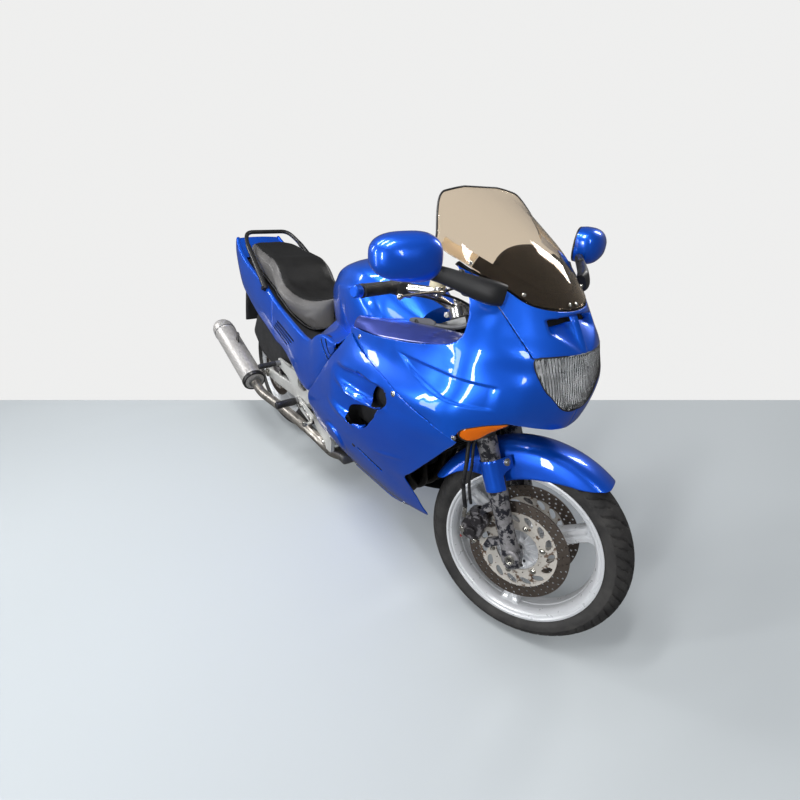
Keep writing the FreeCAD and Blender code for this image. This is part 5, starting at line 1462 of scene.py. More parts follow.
def screw(shape, socket_shade, place, out, size):
    """Round head with a rim, and the black hexagon on the floor of its socket, which is painted shade."""
    shape.lathe([(size * 1.45, -1.5), (size * 1.45, 0.7), (size * 1.1, 1.2), (size, 2.6),
                 (size * 0.8, 3.2), (size * 0.42, 3.2), (size * 0.42, 1.6), (0, 1.6)],
                place, out, 28)
    # black hexagon on the floor of the socket: painted shade
    socket_shade.rod(place + out * 1.5, place + out * 1.9, size * 0.4, count=6)


def build_lamp():
    """Fluted lens in the nose, with its bowl, inner shade and rim."""
    lens = Shape().grid(NOSE_NET).clipped(lambda p: -lamp_distance(p) - 1.6)
    lens = lens.shifted(lambda p: np.array((-2.0, 0, 0)))
    piece(lens, "headlight_lens", fluted_glass, ("headlight",), wall=3.0, outward=(1300, 0, 850))
    rows = []
    for z in np.linspace(786, 912, 30):
        row = []
        for y in np.linspace(-128, 128, 60):
            reach = min(1.0, math.hypot(y / 128, (z - 862) / 84))
            flute = 1.6 * math.sin(y * 0.9)
            row.append((nose_x(y, z) - 9 - 44 * (1 - reach ** 2) + flute, y, z))
        rows.append(row)
    bowl = Shape().grid(np.array(rows)).clipped(lambda p: -lamp_distance(p) - 3.0)
    piece(bowl, "headlight_bowl", lamp_bowl, wall=1.5, outward=(1300, 0, 850))
    bulb = Shape()
    for y in (-46, 46):
        spot = np.array((nose_x(y, 862) - 50, y, 862))
        bulb.lathe([(0, 28), (9, 27), (12, 22), (12, 6), (17, 4), (18, 0)], spot, (1, 0, 0), 24)
    piece(bulb, "headlight_bulb_caps", chrome)
    ring = [(nose_x(y, z) - 1.6, y, z) for y, z in rounded(LAMP_LOOP, 16, 7)]
    ring = np.array(ring + ring[:1])
    piece(Shape().tube(ring, 2.1, 8), "headlight_rim", plastic)
    case = Shape()
    rows = [[(nose_x(y * k, 862 + (z - 862) * k) - d, y * k, 862 + (z - 862) * k)
             for y, z in LAMP_OUTLINE] for d, k in ((7, 1.0), (30, 1.0), (66, 0.82), (72, 0.55))]
    case.loft(rows, cap=False)
    case.faces.append(tuple(range(len(case.points) - len(rows[0]), len(case.points))))
    piece(case, "headlight_case", liner)


SIGNAL_OUTLINE = ((-172, 752), (-196, 749), (-226, 738), (-249, 722), (-249, 706), (-236, 696),
                  (-216, 700), (-196, 718), (-180, 738))


def build_signals():
    """Turn signals let into the lower edge of the side cowls."""
    lens, rims = Shape(), Shape()
    outline = smooth_loop(SIGNAL_OUTLINE, 48)
    middle = outline.mean(axis=0)
    rings = []
    for share, depth in ((1.0, 9.0), (1.0, 2.0), (0.96, -0.5), (0.8, -2.6), (0.5, -4.0), (0.2, -4.6)):
        ring = middle + (outline - middle) * share
        rings.append([(nose_x(y, z) - depth, y, z) for y, z in ring])
    lens.loft(rings)
    loop = [(nose_x(y, z) - 1.5, y, z) for y, z in middle + (outline - middle) * 1.03]
    rims.tube(np.array(loop + loop[:1]), 2.0, 8)
    piece(lens.both(), "turn_signal_lenses", amber, ("turn_signals",))
    piece(rims.both(), "turn_signal_rims", plastic)


def build_screen_fittings():
    """Hood, lower band and screws seen through and on the screen."""
    half = [[(1496, 0, 1006), (1487, 52, 1006), (1461, 104, 1006), (1428, 140, 1010),
             (1392, 168, 1030), (1340, 196, 1078)],
            [(1436, 0, 1062), (1430, 48, 1060), (1409, 94, 1052), (1384, 130, 1046),
             (1360, 160, 1050), (1326, 190, 1082)],
            [(1384, 0, 1104), (1380, 44, 1101), (1368, 84, 1086), (1356, 118, 1070),
             (1342, 150, 1064), (1306, 186, 1086)],
            [(1330, 0, 1128), (1330, 42, 1124), (1332, 80, 1108), (1334, 112, 1086),
             (1326, 146, 1072), (1288, 184, 1092)],
            [(1304, 0, 1120), (1305, 40, 1116), (1310, 76, 1100), (1316, 106, 1076),
             (1312, 142, 1060), (1276, 182, 1084)]]
    rows = [[(x, -y, z) for x, y, z in reversed(row)] + [tuple(p) for p in row[1:]] for row in half]
    hood = Shape().grid(patch(rows, 71, 40))
    piece(hood, "dash_hood", soft_black, wall=3.0, outward=(1380, 0, 960))
    net = SCREEN_NET.copy()
    net[:, :, 0] -= 5.0
    net[:, :, 1] *= 0.978
    band = Shape().grid(net).clipped(lambda p: p[:, 2] - side_line(SCREEN_LINE, p) - 1)
    band = band.clipped(lambda p: side_line(SCREEN_LINE, p) + 24 - p[:, 2]).clipped(screen_corner)
    piece(band.clipped(lambda p: p[:, 0] - 1322), "screen_foot_band", soft_black, wall=2.0,
          outward=(1200, 0, 900))
    plates = band.clipped(lambda p: np.minimum(1320 - p[:, 0], p[:, 0] - 1236))
    piece(plates, "screen_side_plates", dial_marks, wall=2.0, outward=(1200, 0, 900))
    screws, socket_shades = Shape(), Shape()
    line = np.asarray(SCREEN_LINE, float)
    outer = SCREEN_NET.reshape(-1, 3)
    for y in (-180, -112, -14, 14, 112, 180):
        near = outer[np.abs(outer[:, 1] - y) < 5]
        height = near[:, 2] - np.interp(near[:, 0], line[:, 0], line[:, 1])
        spot = near[np.argmin(np.abs(height - 9))]
        out = unit(np.array((0.85, 1.35 * y / 200, 0.62)))
        screw(screws, socket_shades, spot + out * 0.6, out, 3.4)
    piece(screws, "screen_screws", zinc)
    piece(socket_shades, "screen_screw_socket_shades", liner)


def build_fairing_screws():
    """Screws and plugs of the fairing, and the black walls behind its openings, whose black is painted
    shade.
    """
    screws, socket_shades = Shape(), Shape()
    for x, z, size in ((969, 819, 5.6), (1219, 748, 5.6), (1412, 700, 5.0), (1096, 158 + 62, 5.0),
                       (760, 184, 5.0)):
        net = NOSE_NET[:, :MIDDLE + 1] if z > 790 else LOWER_NET
        place, out = side_spot(net, x, z)
        if out[1] > 0:
            out = -out
        screw(screws, socket_shades, place, out, size)
    piece(screws.both(), "fairing_screws", zinc)
    piece(socket_shades.both(), "fairing_screw_socket_shades", liner)
    plug, out = side_spot(LOWER_NET, 965, 437)
    plugs = Shape().lathe([(0, 2.5), (5, 2.2), (7, 1.2), (8, 0), (8, -3)], plug, out, 20)
    piece(plugs.both(), "fairing_plugs", plastic)
    # black walls behind the openings of the ducts and vents: they close the ducts, and their black is
    # painted shade for the dark inside
    shade_backs = Shape()
    rows = [[(nose_x(y, z) - 44, y, z) for y in np.linspace(-112, 112, 24)] for z in (930, 975, 1008)]
    shade_backs.grid(np.array(rows))
    for low, high in (((1040, 650), (1205, 748)), ((944, 530), (1150, 652))):
        rows = [[(x, -side_w(LOWER_NET, x, z) + 62, z) for x in np.linspace(low[0], high[0], 10)]
                for z in np.linspace(low[1], high[1], 8)]
        wall = Shape().grid(np.array(rows))
        shade_backs.join(wall).join(wall.mirrored())
    piece(shade_backs, "duct_shade_walls", liner, wall=2.0)


# ------------------------------------------------------------------- mirrors
MIRROR = np.array((1296.0, -348.0, 1111.0))
# Sections of the right mirror's arm: (place, half height, half width)
ARM = (((1410, -154, 1036), 24, 12), ((1402, -174, 1040), 27, 16), ((1384, -202, 1048), 26, 15),
       ((1356, -234, 1060), 22, 13), ((1330, -262, 1071), 19, 12), ((1310, -286, 1078), 17, 12),
       ((1298, -306, 1083), 16, 12))


def build_mirrors():
    """Mirrors on their arms."""
    turn = Matrix.Translation(Vector(MIRROR)) @ Matrix.Rotation(math.radians(-20), 4, "Z")
    shell, rim, glass = Shape(), Shape(), Shape()
    rings = []
    across, up = Y * -1, np.array((0, 0, 1.0))
    shape = egg(64, 2.7)
    shape[:, 1] *= 1 - 0.10 * shape[:, 0]
    for share in np.linspace(0, 1, 22):
        x = -27 + 72 * share ** 0.9
        size = 0.955 + 0.045 * min(1, share / 0.12)
        if share > 0.25:
            size *= (1 - ((share - 0.25) / 0.757) ** 2.5) ** 0.5
        low = 4.0 * share
        rings.append([np.array((x, 0, -low)) + a * 80 * size * across + b * 50 * size * up
                      for a, b in shape])
    shell.loft(rings)
    rings = [[np.array((x, 0, 0)) + a * 80 * k * across + b * 50 * k * up for a, b in shape]
             for x, k in ((-26, 0.962), (-31, 0.95), (-31, 0.90), (-28, 0.885), (-26, 0.885))]
    rim.loft(rings, cap=False)
    rings = [[np.array((x, 0, 0)) + a * 80 * k * across + b * 50 * k * up for a, b in shape]
             for x, k in ((-26, 0.89), (-29.2, 0.89), (-29.4, 0.5), (-29.6, 0.1))]
    glass.loft(rings)
    arm = Shape()
    route = np.array([spot for spot, _, _ in ARM], float)
    spots = smooth(route, 26)
    knots = chords(route)
    sizes = hermite([(a, b) for _, a, b in ARM], knots, np.linspace(0, knots[-1], 26))
    ahead = unit(spots[-1] - spots[0])
    tall = unit(np.array((-0.35, 0.05, 0.94)) - ahead * np.dot((-0.35, 0.05, 0.94), ahead))
    wide = np.cross(ahead, tall)
    arm.loft(sections(spots, tall, wide, sizes, 2.6, 30))
    arm.ball(spots[14] + tall * sizes[14][0] * 0.9, 8, 16)
    parts = ((shell.moved(turn), "shell", paint), (rim.moved(turn), "rim", plastic),
             (glass.moved(turn), "glass", mirror_glass), (arm, "arm", plastic))
    for side in range(2):
        for part, label, look in parts:
            name, made = sides(part)[side]
            piece(made, f"mirror_{label}_{name}", look, (f"mirror_{name}",) if label == "shell" else (),
                  crease=50)


# -------------------------------------------------------------- handlebars
BAR_END = np.array((1026.0, -348.0, 947.0))
GRIP_START = np.array((1043.0, -226.0, 962.0))
BAR_BEND = np.array((1115.0, -128.0, 950.0))
POT = (1140, -176, 974)       # foot of the fluid pot
LEVER = ((1150, -190, 972), (1172, -200, 975), (1176, -218, 975), (1160, -262, 970),
         (1146, -300, 963), (1134, -340, 956))


def build_bars():
    """Clip-on bars with grips, end weights and switch boxes."""
    bars, grips, ends, boxes = Shape(), Shape(), Shape(), Shape()
    post = on_fork(1019, FORK_OFFSET, -FORK_HALF)
    bars.tube(smooth([post + np.array((-26, 8, 4)), BAR_BEND, (GRIP_START + BAR_BEND) / 2 + (-6, 4, 4),
                      GRIP_START, BAR_END], 60), 11, 20)
    bars.lathe([(20.7, 1004), (27, 1004), (29.5, 1006), (29.5, 1032), (27, 1034), (20.7, 1034),
                (20.7, 1004)], on_fork(0, FORK_OFFSET, -FORK_HALF), HEAD_DIR, 40)
    lug = on_fork(1019, FORK_OFFSET - 32, -FORK_HALF)
    bars.rod(lug - Y * 16, lug + Y * 16, 8, count=18)
    run = BAR_END - GRIP_START
    length = np.linalg.norm(run)
    profile = [(12, 0), (19, 1), (20, 4), (17, 7)]
    for step in np.arange(9, length - 12, 3.4):
        profile += [(15.6, step), (16.6, step + 0.8), (16.6, step + 2.2), (15.6, step + 3.0)]
    profile += [(17.5, length - 8), (17.5, length - 3), (12, length - 1)]
    grips.lathe(profile, GRIP_START, run, 36)
    ends.lathe([(0, 24), (12, 24), (15.5, 21), (16, 4), (13, 0), (0, 0)], BAR_END, run, 32)
    ahead = unit(GRIP_START - BAR_BEND)
    up = unit(np.array((0, 0, 1.0)) - ahead * ahead[2])
    side = np.cross(ahead, up)
    spots = [GRIP_START - ahead * d for d in (4, 8, 30, 46, 52)]
    boxes.loft(sections(spots, side, up, ((17, 17), (20, 21), (20, 21), (19, 19), (15, 15)), 3.4, 32))
    for lift, along in ((21, 14), (21, 30)):
        spot = GRIP_START - ahead * along + up * lift
        boxes.rod(spot, spot + up * 4, 6, count=16)
    piece(bars.both(), "handlebar_tubes", alloy, ("handlebars",), **STEERING)
    piece(grips.both(), "handlebar_grips", hose_rubber, crease=25, **STEERING)
    piece(ends.both(), "handlebar_ends", paint, **STEERING)
    piece(boxes.both(), "switch_boxes", plastic, crease=45, **STEERING)


def build_levers():
    """Hand levers with their fluid pots."""
    levers, pots, lids = Shape(), Shape(), Shape()
    path = smooth(LEVER, 50)
    levers.tube(path, np.linspace(7.5, 4.6, 50), 16, 0.8)
    levers.ball(path[-1], 8.2, 20)
    levers.rod((1066, -206, 964), (1150, -186, 972), 12.5, 10.5, count=28)
    pivot = np.array((1152.0, -190.0, 960.0))
    levers.rod(pivot, pivot + (0, 0, 24), 11, count=20)
    spot = BAR_BEND + (GRIP_START - BAR_BEND) * 0.72
    levers.rod(spot, spot + (GRIP_START - BAR_BEND) * 0.18, 17.5, count=26)
    pots.lathe([(14, -6), (20, -3), (21.5, 2), (21.5, 20), (20.5, 22)], POT, UP, 32)
    lids.lathe([(22.5, 22), (22.5, 27), (20, 28.5), (0, 28.5)], POT, UP, 32)
    for turn in (45, 225):
        a = math.radians(turn)
        base = np.array((POT[0] + 15 * math.cos(a), POT[1] + 15 * math.sin(a), 1002.0))
        levers.rod(base, base + (0, 0, 1.6), 2.8, count=12)
    piece(levers.both(), "brake_and_clutch_levers", alloy, ("hand_levers",), **STEERING)
    piece(pots.both(), "fluid_pots", pot_look, **STEERING)
    piece(lids.both(), "fluid_pot_lids", plastic, **STEERING)


def build_cables():
    """Cables from the levers and switches to the upper yoke."""
    cables = Shape()
    for start, out, end in (((1146, -186, 962), (1206, -144, 992), (1248, -92, 940)),
                            ((1062, -213, 949), (1128, -164, 948), (1200, -98, 925)),
                            ((1072, -205, 951), (1146, -176, 966), (1226, -98, 934))):
        cables.tube(smooth([start, out, end, on_fork(960, 62, -58)], 50), 3.4, 10)
    piece(cables.both(), "bar_cables", hose_rubber, **STEERING)


def build_dash():
    """Instrument housing facing the rider, with three dials."""
    case, dials, marks, dial_rings = Shape(), Shape(), Shape(), Shape()
    outline = rounded([(-124, 962), (124, 962), (112, 1036), (64, 1056), (-64, 1056), (-112, 1036)],
                      18, 5)
    rings = []
    for x, grow in ((1404, 0.94), (1392, 1.0), (1356, 1.0), (1342, 0.97)):
        rings.append([(x - (z - 1000) * 0.12, y * grow, 1006 + (z - 1006) * grow) for y, z in outline])
    case.loft(rings)
    case.loft([[(x, y, z) for x, y in ((1350, -20), (1392, -20), (1392, 20), (1350, 20))]
               for z in (880, 970)])
    piece(case, "instrument_case", plastic, ("instrument_panel",), edge=2)
    out = unit(np.array((-1.0, 0, 0.12)))
    for y, radius in ((-66, 34), (6, 44), (78, 28)):
        spot = np.array((1340.28, y, 1006.0))
        dial_rings.lathe([(radius, 0), (radius + 3, 1), (radius + 3, 5), (radius, 6),
                          (radius - 1, 3)], spot, out, 48)
        dials.lathe([(0, 1.4), (radius - 1, 1.4), (radius, 0)], spot, out, 40)
        for turn in np.linspace(-130, 130, 14):
            a = math.radians(turn)
            tip = np.array((0, math.sin(a), math.cos(a)))
            base = spot + out * 1.8
            marks.rod(base + tip * radius * 0.78, base + tip * radius * 0.92, 0.9, count=6)
        needle = np.array((0, -0.75, -0.66))
        marks.rod(spot + out * 3, spot + out * 3 + needle * radius * 0.7, 1.1, 0.5, count=6)
        marks.rod(spot + out * 1.5, spot + out * 4, 3.0, count=14)
    piece(dial_rings, "dial_rings", chrome)
    piece(dials, "dial_faces", dial_look)
    piece(marks, "dial_marks", dial_marks)


# x, outer edge, its height, inner edge, its height of the panels beside the steering
COCKPIT = ((900, 222, 829, 190, 858), (960, 232, 838, 190, 868), (1049, 244, 850, 162, 884),
           (1160, 246, 870, 162, 900), (1270, 242, 895, 162, 914), (1320, 235, 908, 162, 920),
           (1352, 228, 922, 162, 928))


def build_cockpit():
    """Panels beside the steering with the brackets that hold them."""
    rows = [[(x, -edge + 4, z - 2), (x, -(edge * 0.75 + inner * 0.25), z + (rise - z) * 0.5),
             (x, -(edge + inner) / 2, rise - 2), (x, -inner, rise), (x, -inner + 1, rise - 16)]
            for x, edge, z, inner, rise in COCKPIT]
    deck = Shape().grid(patch(rows, 20, 50))
    piece(deck.both(), "cockpit_deck", pale_blue, ("cockpit_panels",), wall=2.5)
    bracket, screws, dark = Shape(), Shape(), Shape()
    outline = rounded([(1096, 884), (1196, 898), (1206, 918), (1182, 922), (1120, 909), (1100, 902)],
                      6, 4)
    bracket.prism([(x, -161, z) for x, z in outline], (0, 4, 0))
    # dark takes the black hexagon painted as shade in the screw's socket
    screw(screws, dark, np.array((1130.0, -161.0, 898.0)), -Y, 6)
    bracket.tube(smooth([(1200, -154, 908), (1290, -138, 930), (1344, -100, 985)], 20), 6, 12)
    piece(bracket.both(), "cockpit_brackets", grey_plastic)
    piece(screws.both(), "cockpit_screws", black_steel)
    piece(dark.both(), "cockpit_screw_socket_shades", liner)


# ------------------------------------------------------------ tank and seat
# x, half width, top, shoulder and bottom of the tank sections
TANK = ((518, 62, 862, 847, 800), (560, 92, 925, 884, 762), (640, 132, 974, 916, 742),
        (740, 166, 1000, 936, 742), (850, 183, 1004, 936, 768), (905, 176, 997, 900, 777),
        (945, 163, 978, 858, 785), (990, 150, 950, 838, 792), (1070, 118, 908, 842, 816))
CAP = np.array((800.0, 0.0, 1006.0))
# x, outer and inner edge, height of the outer edge and rise of the inner one
TANK_SKIRT = ((604, 208, 104, 690, 62), (628, 212, 112, 704, 52), (660, 218, 122, 722, 38),
              (720, 222, 140, 747, 18), (800, 232, 152, 752, 18), (840, 241, 156, 758, 18),
              (880, 238, 160, 788, 18), (905, 222, 160, 814, 18))


def build_tank():
    """Fuel tank, the well below the seat's nose and the skirts beside the tank."""
    rows = []
    for x, half, top, shoulder, bottom in TANK:
        widest = max(shoulder - 44, (shoulder + bottom) / 2)
        right = [(half * 0.90, bottom), (half * 0.97, (bottom + widest) / 2), (half, widest),
                 (half * 0.975, widest + (shoulder - widest) * 0.6), (half * 0.87, shoulder + 3),
                 (half * 0.72, shoulder + (top - shoulder) * 0.62), (half * 0.45, top - 8),
                 (half * 0.2, top - 1.5), (0, top)]
        rows.append([(x, -y, z) for y, z in right] + [(x, y, z) for y, z in reversed(right[:-1])])
    piece(Shape().loft(patch(rows, 97, 100)), "fuel_tank_shell", paint, ("fuel_tank",), crease=50)
    well = [(472, 40, 700), (540, 70, 716), (600, 96, 738)]
    wall = [[(x, y * k, z + h * (1 - k * k)) for k in np.linspace(-1, 1, 13)] for (x, y, z), h in
            zip(well, (86, 66, 30))]
    piece(Shape().grid(patch(wall, 31, 20)), "seat_front_well", liner, wall=2.5)
    skirt = [[(x, -outer, z - 1), (x, -(outer + inner) / 2, z + rise * 0.45), (x, -inner, z + rise)]
             for x, outer, inner, z, rise in TANK_SKIRT]
    piece(Shape().grid(patch(skirt, 24, 60)).both(), "tank_skirts", paint, wall=2.5)


def build_filler():
    """Bolted ring round the filler neck, and the lid that turns on it."""
    ring, bolts, dark = Shape(), Shape(), Shape()
    ring.lathe([(22, -14), (22, 0), (60, 0), (63, -2), (64, -8), (64, -16)], CAP, UP, 64)
    for index in range(5):
        a = math.radians(72 * index + 30)
        # dark takes the black hexagons painted as shade in the screws' sockets
        screw(bolts, dark, CAP + (56.5 * math.cos(a), 56.5 * math.sin(a), 0.2), np.array(UP), 3.0)
    for side in (-1, 1):
        ring.box(CAP + (-57, side * 15 - 2.5, -5), CAP + (-49, side * 15 + 2.5, 13))
    ring.rod(CAP + (-53, -15, 9), CAP + (-53, 15, 9), 2.0, count=12)
    piece(ring, "tank_filler_ring", dull_alloy)
    piece(bolts, "tank_filler_screws", zinc)
    piece(dark, "tank_filler_socket_shades", liner)
    cap, lid, key = Shape(), Shape(), Shape()
    cap.lathe([(0, 0.6), (49, 0.6), (50, 2), (50, 7), (48, 9), (40, 9.4), (38, 7.5), (0, 7.5)],
              CAP, UP, 64)
    cap.rod(CAP + (-53, -12, 9), CAP + (-53, 12, 9), 4.8, count=20)
    cap.box(CAP + (-52, -11.5, 5.5), CAP + (-40, 11.5, 8.8))
    lid.lathe([(0, 8), (37.5, 8), (36, 9.2), (0, 9.6)], CAP, UP, 48)
    key.loft([[CAP + (8 + a * 15, b * 8, z) for a, b in egg(24, 2.4)] for z in (9, 12.4, 13)])
    piece(cap, "fuel_cap_ring", alloy, ("fuel_cap",), body="fuel_cap")
    piece(lid, "fuel_cap_lid", plastic, body="fuel_cap")
    piece(key, "fuel_cap_key_cover", chrome, body="fuel_cap")


SEAT_BORDER = 0.78            # share of the half width where the sides begin, which take the lighter painted sheen
# x, half width, top, bottom, dish of the seat sections
SEAT = ((-234, 84, 908, 846, 0), (-222, 96, 913, 843, 1), (-180, 112, 916, 838, 2),
        (-60, 130, 905, 815, 3), (50, 142, 894, 794, 2), (100, 147, 886, 783, 0),
        (140, 150, 862, 774, 2), (180, 153, 814, 757, 8), (230, 155, 792, 738, 12),
        (290, 155, 783, 710, 12), (360, 145, 780, 685, 8), (415, 126, 786, 667, 4),
        (450, 104, 796, 668, 1), (476, 80, 805, 680, 0), (488, 60, 810, 688, 0))


def seat_rings():
    """Closed sections along the seat."""
    rows = []
    for x, half, top, bottom, dish in SEAT:
        right = [(0, top - dish), (half * 0.3, top - dish * 0.8), (half * 0.6, top - 2),
                 (half * 0.84, top - 7), (half * 0.97, top - 24), (half, top - 42),
                 (half * 0.985, (top + bottom) / 2 - 14), (half * 0.95, bottom + 2),
                 (half * 0.6, bottom), (0, bottom)]
        rows.append([(x, -y, z) for y, z in right] + [(x, y, z) for y, z in reversed(right[1:-1])])
    rows = np.array(rows, float)
    knots = rows[:, 0, 0]
    return hermite(rows, knots, np.concatenate((np.linspace(knots[0], knots[2], 8)[:-1],
                                               np.linspace(knots[2], knots[-1], 70))))


def build_seat():
    """Seat cover, swollen by a cloth simulation, with a lighter grey painted sheen on its sides."""
    cover = piece(Shape().loft(seat_rings()), "seat_cover", seat_skin, ("seat",), crease=60)
    inflate(cover, 5.0, 4.0, 0.006)
    build_seat_seams(seat_rings())
    cover.data.materials.append(seat_side_sheen)
    back = np.array(PARK.inverted())
    widths = np.array([(x, half) for x, half, _, _, _ in SEAT], float)
    for face in cover.data.polygons:
        spot = back[:3, :3] @ np.array(face.center) + back[:3, 3]
        half = np.interp(spot[0], widths[:, 0], widths[:, 1])
        # faces beyond the border take the lighter vinyl: painted sheen on the seat's sides
        face.material_index = int(abs(spot[1]) > half * SEAT_BORDER)


def build_seat_seams(rings):
    """Welt along the lower edge of the seat and the seam where its sides begin."""
    welt, seams = Shape(), Shape()
    for side in (-1, 1):
        line = []
        for ring in rings[4:]:
            foot = ring[:, 2].min()
            line.append(min((p for p in ring if p[1] * side >= 0),
                            key=lambda p: (p[2] - foot) * 0.5 - abs(p[1])))
        welt.tube(smooth(np.array(line)[::3], 90), 3.2, 10)
        line = []
        for ring in rings[6:-3]:
            edge = np.abs(ring[:, 1]).max() * SEAT_BORDER
            middle = (ring[:, 2].max() + ring[:, 2].min()) / 2
            upper = ring[(ring[:, 1] * side >= 0) & (ring[:, 2] > middle)]
            order = np.argsort(np.abs(upper[:, 1]))
            height = np.interp(edge, np.abs(upper[order, 1]), upper[order, 2])
            line.append((ring[0, 0], side * edge, height + 1.0))
        seams.tube(smooth(np.array(line)[::3], 120), 2.2, 8)
    piece(welt, "seat_welt", hose_rubber)
    piece(seams, "seat_seams", hose_rubber)


SWELL_FRAMES = 20


def inflate(obj, pressure, cap, voxel):
    """Swell a soft piece by a short cloth simulation, and keep the result as its mesh.

    No point moves by more than cap, in millimetres; voxel is the size of the remesh in metres.
    """
    scene = bpy.context.scene
    work = obj.copy()
    work.data = obj.data.copy()
    work.name = obj.name + "_swelling"
    work.modifiers.clear()
    scene.collection.objects.link(work)
    add_modifier(work, "remesh", "REMESH", mode="VOXEL", voxel_size=voxel, use_smooth_shade=True)
    bake(work)
    rest = np.array([v.co for v in work.data.vertices])
    cloth = work.modifiers.new("cloth", "CLOTH")
    settled(cloth.settings, {
        "quality": 5, "mass": 0.3, "use_pressure": True, "uniform_pressure_force": pressure,
        "tension_stiffness": 15, "compression_stiffness": 15, "shear_stiffness": 5})
    cloth.settings.effector_weights.gravity = 0
    cloth.collision_settings.use_collision = False
    for number in range(1, SWELL_FRAMES + 1):
        scene.frame_set(number)
    graph = bpy.context.evaluated_depsgraph_get()
    shift = np.array([v.co for v in work.evaluated_get(graph).data.vertices]) - rest
    size = np.linalg.norm(shift, axis=1, keepdims=True)
    shift *= np.minimum(1.0, cap * MM / np.maximum(size, 1e-9))
    work.modifiers.clear()
    for vertex, place in zip(work.data.vertices, rest + shift):
        vertex.co = place
    add_modifier(work, "round", "SUBSURF", levels=1, render_levels=1)
    bake(work)
    scene.frame_set(1)
    looks = list(obj.data.materials)
    mesh = work.data
    bpy.data.objects.remove(work)
    obj.data = mesh
    obj.modifiers.clear()
    mesh.materials.clear()
    for look in looks:
        mesh.materials.append(look)
    mesh.shade_smooth()


def bake(obj):
    """Apply the modifiers of an object to its mesh."""
    graph = bpy.context.evaluated_depsgraph_get()
    graph.update()
    mesh = bpy.data.meshes.new_from_object(obj.evaluated_get(graph))
    obj.modifiers.clear()
    obj.data = mesh


# ------------------------------------------------------ side covers and tail
# x, half width, z low, z high
SIDE_COVER = ((832, 243, 722, 755), (806, 240, 694, 750), (770, 236, 650, 750), (720, 233, 598, 747),
              (660, 227, 532, 724), (610, 220, 497, 692), (560, 214, 464, 684), (480, 206, 462, 690),
              (400, 196, 495, 700), (330, 186, 518, 708), (250, 176, 536, 719), (170.6, 168, 540, 738))
TAIL = ((169.4, 168, 540, 738), (60, 161, 572, 780), (-60, 152, 602, 806), (-180, 142, 646, 834),
        (-280, 132, 694, 876), (-352, 116, 778, 922))
# Slots as (start, end, half width), in the side view
VENT_SLOTS = (((722, 733), (780, 680), 4.6), ((752, 743), (798, 703), 4.6))
LOUVRES = tuple(((182 + 18 * i, 617 + 13 * i), (362 + 27 * i, 590 + 15 * i), 5.2) for i in range(4))


def cover_net(table, along, up):
    """Bulged right-hand cover through the sections of a table."""
    rows = []
    for x, half, low, high in table:
        tall = high - low
        rows.append([(x, -half + 15, high + 1), (x, -half + 7, high + 3), (x, -half, high - 1),
                     (x, -half - 3.5, high - 14), (x, -half - 6.5, high - tall * 0.25),
                     (x, -half - 8, (low + high) / 2 + 12), (x, -half - 5.5, low + tall * 0.25),
                     (x, -half + 1, low + 10), (x, -half + 6, low)])
    return patch(rows, up, along)


def slot_distance(slots, points):
    """Distance from each point to the nearest slot, negative inside it."""
    best = np.full(len(points), FAR)
    spots = points[:, (0, 2)]
    for start, end, half in slots:
        start, end = np.asarray(start, float), np.asarray(end, float)
        run = end - start
        share = np.clip((spots - start) @ run / (run @ run), 0, 1)
        best = np.minimum(best, np.linalg.norm(spots - start - share[:, None] * run, axis=1) - half)
    return best


# x, half width and height of the shelf that closes the bike below the seat
SHELF = ((-266, 119, 852), (-246, 121, 838), (-180, 123, 820), (-60, 132, 792), (60, 141, 764),
         (170, 149, 726), (330, 165, 684), (400, 172, 664), (480, 180, 652), (540, 190, 656),
         (610, 196, 664))
# The same of the deck behind the seat
TAIL_DECK = ((-237, 134, 843), (-268, 131, 862), (-300, 127, 884), (-330, 118, 904),
             (-352, 110, 919))
TAIL_REAR = -352.5


def build_covers():
    """Side covers with their slots, black patches just inside the slots as painted shade, and the black
    panels behind the covers.
    """
    cover = Shape().grid(cover_net(SIDE_COVER, 190, 84))
    cover = cover.clipped(lambda p: slot_distance(VENT_SLOTS + LOUVRES, p))
    for name, shape in sides(cover):
        painted(shape, f"side_cover_{name}_skin", (f"side_cover_{name}",), wall=COVER_WALL,
                outward=(480, 0, 600))
    # black patches just inside the slots and louvres: painted shade
    shade_backs = Shape()
    under = Shape().grid(cover_net(SIDE_COVER, 140, 84)).shifted(lambda p: Y * 9)
    for slots in (VENT_SLOTS, LOUVRES):
        shade_backs.join(under.clipped(lambda p: 12 - slot_distance(slots, p)))
    piece(shade_backs.both(), "cover_slot_shade_backs", liner)
    inner = Shape()
    outline = rounded([(-60, 610), (-130, 500), (-40, 420), (80, 396), (270, 410), (420, 440),
                       (560, 520), (560, 620), (330, 640), (120, 650)], 22, 5)
    inner.prism([(x, -150, z) for x, z in outline], (0, 3, 0))
    inner = inner.both()
    shelf = [[(x, half * k, z) for k in (-1, -0.5, 0, 0.5, 1)] for x, half, z in SHELF]
    inner.grid(patch(shelf, 21, 60))
    piece(inner, "tail_inner_panels", liner)


